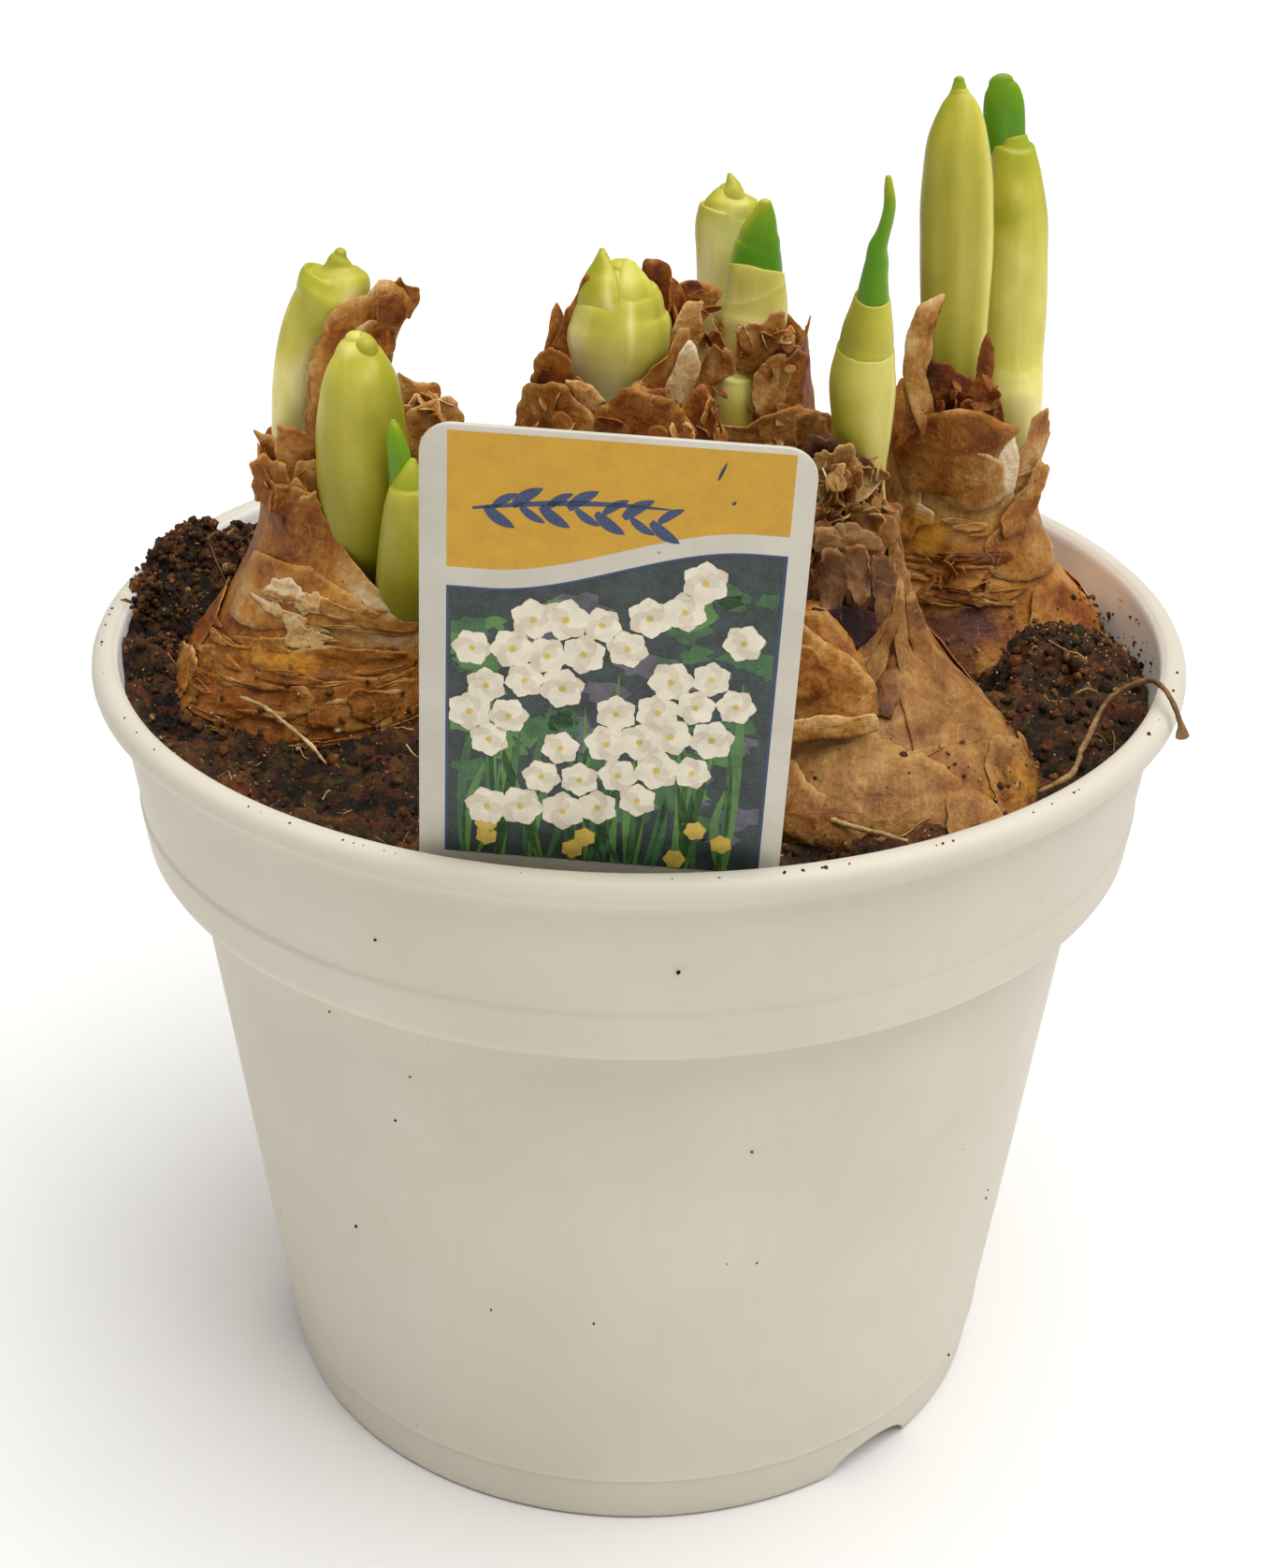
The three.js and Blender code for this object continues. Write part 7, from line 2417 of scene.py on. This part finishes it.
def wave(a):
    """Height of the white wave's middle under the header."""
    share = (a - PRINT_LEFT) / (PRINT_RIGHT - PRINT_LEFT)
    return 171.4 + 7.4 * smooth_step(share, 0.12, 0.9)


def under_wave(left, right, gap, end):
    """A panel between two sides, from its wavy edge to its straight end."""
    edge = [(a, wave(a) + gap) for a in np.linspace(left, right, WAVE_STEPS)]
    return edge + [(right, end), (left, end)]


def make_tag(materials):
    """The card, and one piece for each printed ink."""
    face = TAG_THICKNESS / 2
    tag = Piece("tag_card", materials["card"], "tag", ["plant_tag"])
    tag.add(*plate(tag_outline(), -face, face, bevel=TAG_BEVEL))
    tag.build(sharp=TAG_SHARP)
    inks = {}

    def ink(colour, outline, layer):
        if colour not in inks:
            inks[colour] = Piece("tag_print_" + colour, materials[colour], "tag")
        inks[colour].add(*plate(outline, face - PRINT_SINK, face + PRINT_SINK + PRINT_STEP * layer))

    ink("yellow", under_wave(PRINT_LEFT, PRINT_RIGHT, HEADER_GAP, HEADER_TOP), 0)
    ink("blue", under_wave(PRINT_LEFT, PRINT_RIGHT, PANEL_GAP, PANEL_BOTTOM), 0)
    left, right = PRINT_LEFT + PANEL_EDGE, PRINT_RIGHT - PANEL_EDGE
    ink("ground", under_wave(left, right, GROUND_GAP, PANEL_BOTTOM), 1)
    draw_sprig(ink)
    draw_garden(ink)
    for root, tip in HEADER_STROKES:
        ink("ground", blade(root, tip, STROKE_WIDTH), 1)
    for piece in inks.values():
        piece.build(sharp=PRINT_SHARP)


def blade(root, tip, width, bow=0.0, steps=9):
    """Outline of a long leaf between two points."""
    root, tip = np.array(root, float), np.array(tip, float)
    run = tip - root
    across = np.array([-run[1], run[0]]) / np.linalg.norm(run)
    left, right = [], []
    for t in np.linspace(0, 1, steps):
        spine = root + run * t + across * bow * math.sin(math.pi * t)
        half = 0.5 * width * math.sin(math.pi * min(1, 0.12 + 0.88 * t)) ** 0.7
        left.append(spine + across * half)
        right.append(spine - across * half)
    return left + right[::-1]


SPRIG_LEAVES = 7
SPRIG_STEP = 3.3


def draw_sprig(ink):
    """A plain leafy sprig on the header, in place of the name."""
    ink("blue", blade((-17.5, 181.0), (7.5, 182.6), 0.7, bow=0.8), 1)
    for k in range(SPRIG_LEAVES):
        a = -16 + SPRIG_STEP * k
        b = 181.3 + 0.55 * math.sin(k * 0.7)
        up = 1 if k % 2 else -1
        ink("blue", blade((a, b), (a + 3.6, b + 2.6 * up), 1.5, bow=0.25 * up), 1)
        ink("blue", blade((a + 0.9, b), (a + 3.9, b - 2.0 * up), 1.1, bow=-0.2 * up), 1)


BLOB_CORNERS = 14


def draw_blob(ink, colour, a, b, reach, layer, rng, left, right):
    """A soft-edged patch of foliage."""
    ring = np.linspace(0, TURN, BLOB_CORNERS, endpoint=False)
    wobble = reach * (1 + 0.22 * rng.normal(size=BLOB_CORNERS))
    across = np.clip(a + wobble * np.cos(ring), left, right)
    ink(colour, np.stack([across, b + 0.65 * wobble * np.sin(ring)], -1), layer)


GARDEN_EDGE = 0.6
# Patches of foliage, upright strap leaves, a few cups low down, and rows of blossoms
PATCHES = 70
PATCH_INKS = ("foliage", "haze", "leaf", "foliage")
STRAP_LEAVES = 34
CUPS = 7
BLOSSOM_ROWS = 8
BLOSSOM_COLUMNS = 9
BLOSSOM_STEP = 4.7
ROW_STEP = 4.6
TOP_ROW = 170.6


def draw_garden(ink):
    """Double blossoms in slanting drifts above strap leaves, on dark foliage with a pale haze."""
    rng = np.random.default_rng(77)
    left, right = PRINT_LEFT + GARDEN_EDGE, PRINT_RIGHT - GARDEN_EDGE
    for k in range(PATCHES):
        a = rng.uniform(left, right)
        b = rng.uniform(134, 173)
        if b < wave(a) - 4:
            reach = rng.uniform(1.4, 3.4)
            draw_blob(ink, PATCH_INKS[k % 4], a, b, reach, 2 + 0.2 * (k % 4), rng, left, right)
    for k in range(STRAP_LEAVES):
        a = rng.uniform(left + 1, right - 1)
        tip = (min(max(a + rng.normal(0, 2.5), left + 1), right - 1), rng.uniform(141, 160))
        width = rng.uniform(0.9, 1.5)
        strap = blade((a, PANEL_BOTTOM), tip, width, bow=rng.normal(0, 0.8))
        ink("leaf" if k % 2 else "foliage", strap, 3)
    for _ in range(CUPS):
        a, b = rng.uniform(left + 2, right - 2), rng.uniform(131.8, 137)
        draw_blossom(ink, a, b, 1.5, rng.uniform(0, TURN), 4, "cup")
    for row in range(BLOSSOM_ROWS):
        for column in range(BLOSSOM_COLUMNS):
            a = left + 2.6 + (column + 0.5 * (row % 2)) * BLOSSOM_STEP + rng.normal(0, 0.4)
            b = TOP_ROW - row * ROW_STEP + rng.normal(0, 0.4) + 3.4 * smooth_step(a, -10, 16)
            drift = math.sin((a - 1.1 * b) / 4.4)
            if a > right - 2.6 or b > wave(a) - 4.2 or b < 136 or drift < -0.72:
                continue
            reach = rng.uniform(2.5, 3.1)
            draw_blossom(ink, a, b, reach, rng.uniform(0, TURN), 4 + (row + column) % 2)


# Rings of petals: how many, their size, and their layer and half turns
PETAL_RINGS = ((6, 1.0, 0), (5, 0.66, 2))


def draw_blossom(ink, a, b, reach, turn, layer, only=None):
    """A double rosette: six broad petals, five inner ones and a small cup."""
    for petals, size, up in PETAL_RINGS:
        for k in range(petals):
            heading = turn + (k + 0.5 * up) * TURN / petals
            along = np.array([math.cos(heading), math.sin(heading)]) * reach * size
            colour = only or ("petal_shade" if (k + up) % 3 == 0 else "petal")
            petal = blade((a, b), np.array([a, b]) + along, reach * size, steps=7)
            ink(colour, petal, layer + up + 0.3 * k)
    ring = np.linspace(0, TURN, 10, endpoint=False)
    cup = 0.15 * reach
    ink("cup", np.stack([a + cup * np.cos(ring), b + cup * np.sin(ring)], -1), layer + 4)


# Everything

def main():
    """Adds the stage, and then every piece in turn."""
    add_camera()
    add_lights()
    add_floor()
    skin = skin_material("papery_skin", SKIN_COLOURS)
    tan = skin_material("tan_skin", TAN_COLOURS, ruddy=0.22)
    withered = skin_material("withered_skin", WITHERED_COLOURS, ruddy=0.1)
    plant = plant_material()
    soil = soil_material()
    root = root_material()
    make_pot(pot_material())
    make_soil(soil)
    make_crumbs(soil)
    make_fibres(root)
    for name in BULBS:
        make_bulb(name, tan if name == "front_right" else skin)
    for k, name in enumerate(SHOOTS):
        make_shoot(name, plant, seed=100 + 7 * k)
    for name in SCALES:
        make_scales(name, skin)
    make_side_piece("offset_front_right", skin)
    make_side_piece("old_nose_front_right", withered)
    for name in ROOTS:
        make_root(name, root)
    inks = {name: ink_material(name) for name in INKS}
    make_tag({"card": card_material(), **inks})
    bpy.context.scene.view_settings.view_transform = "Standard"


main()
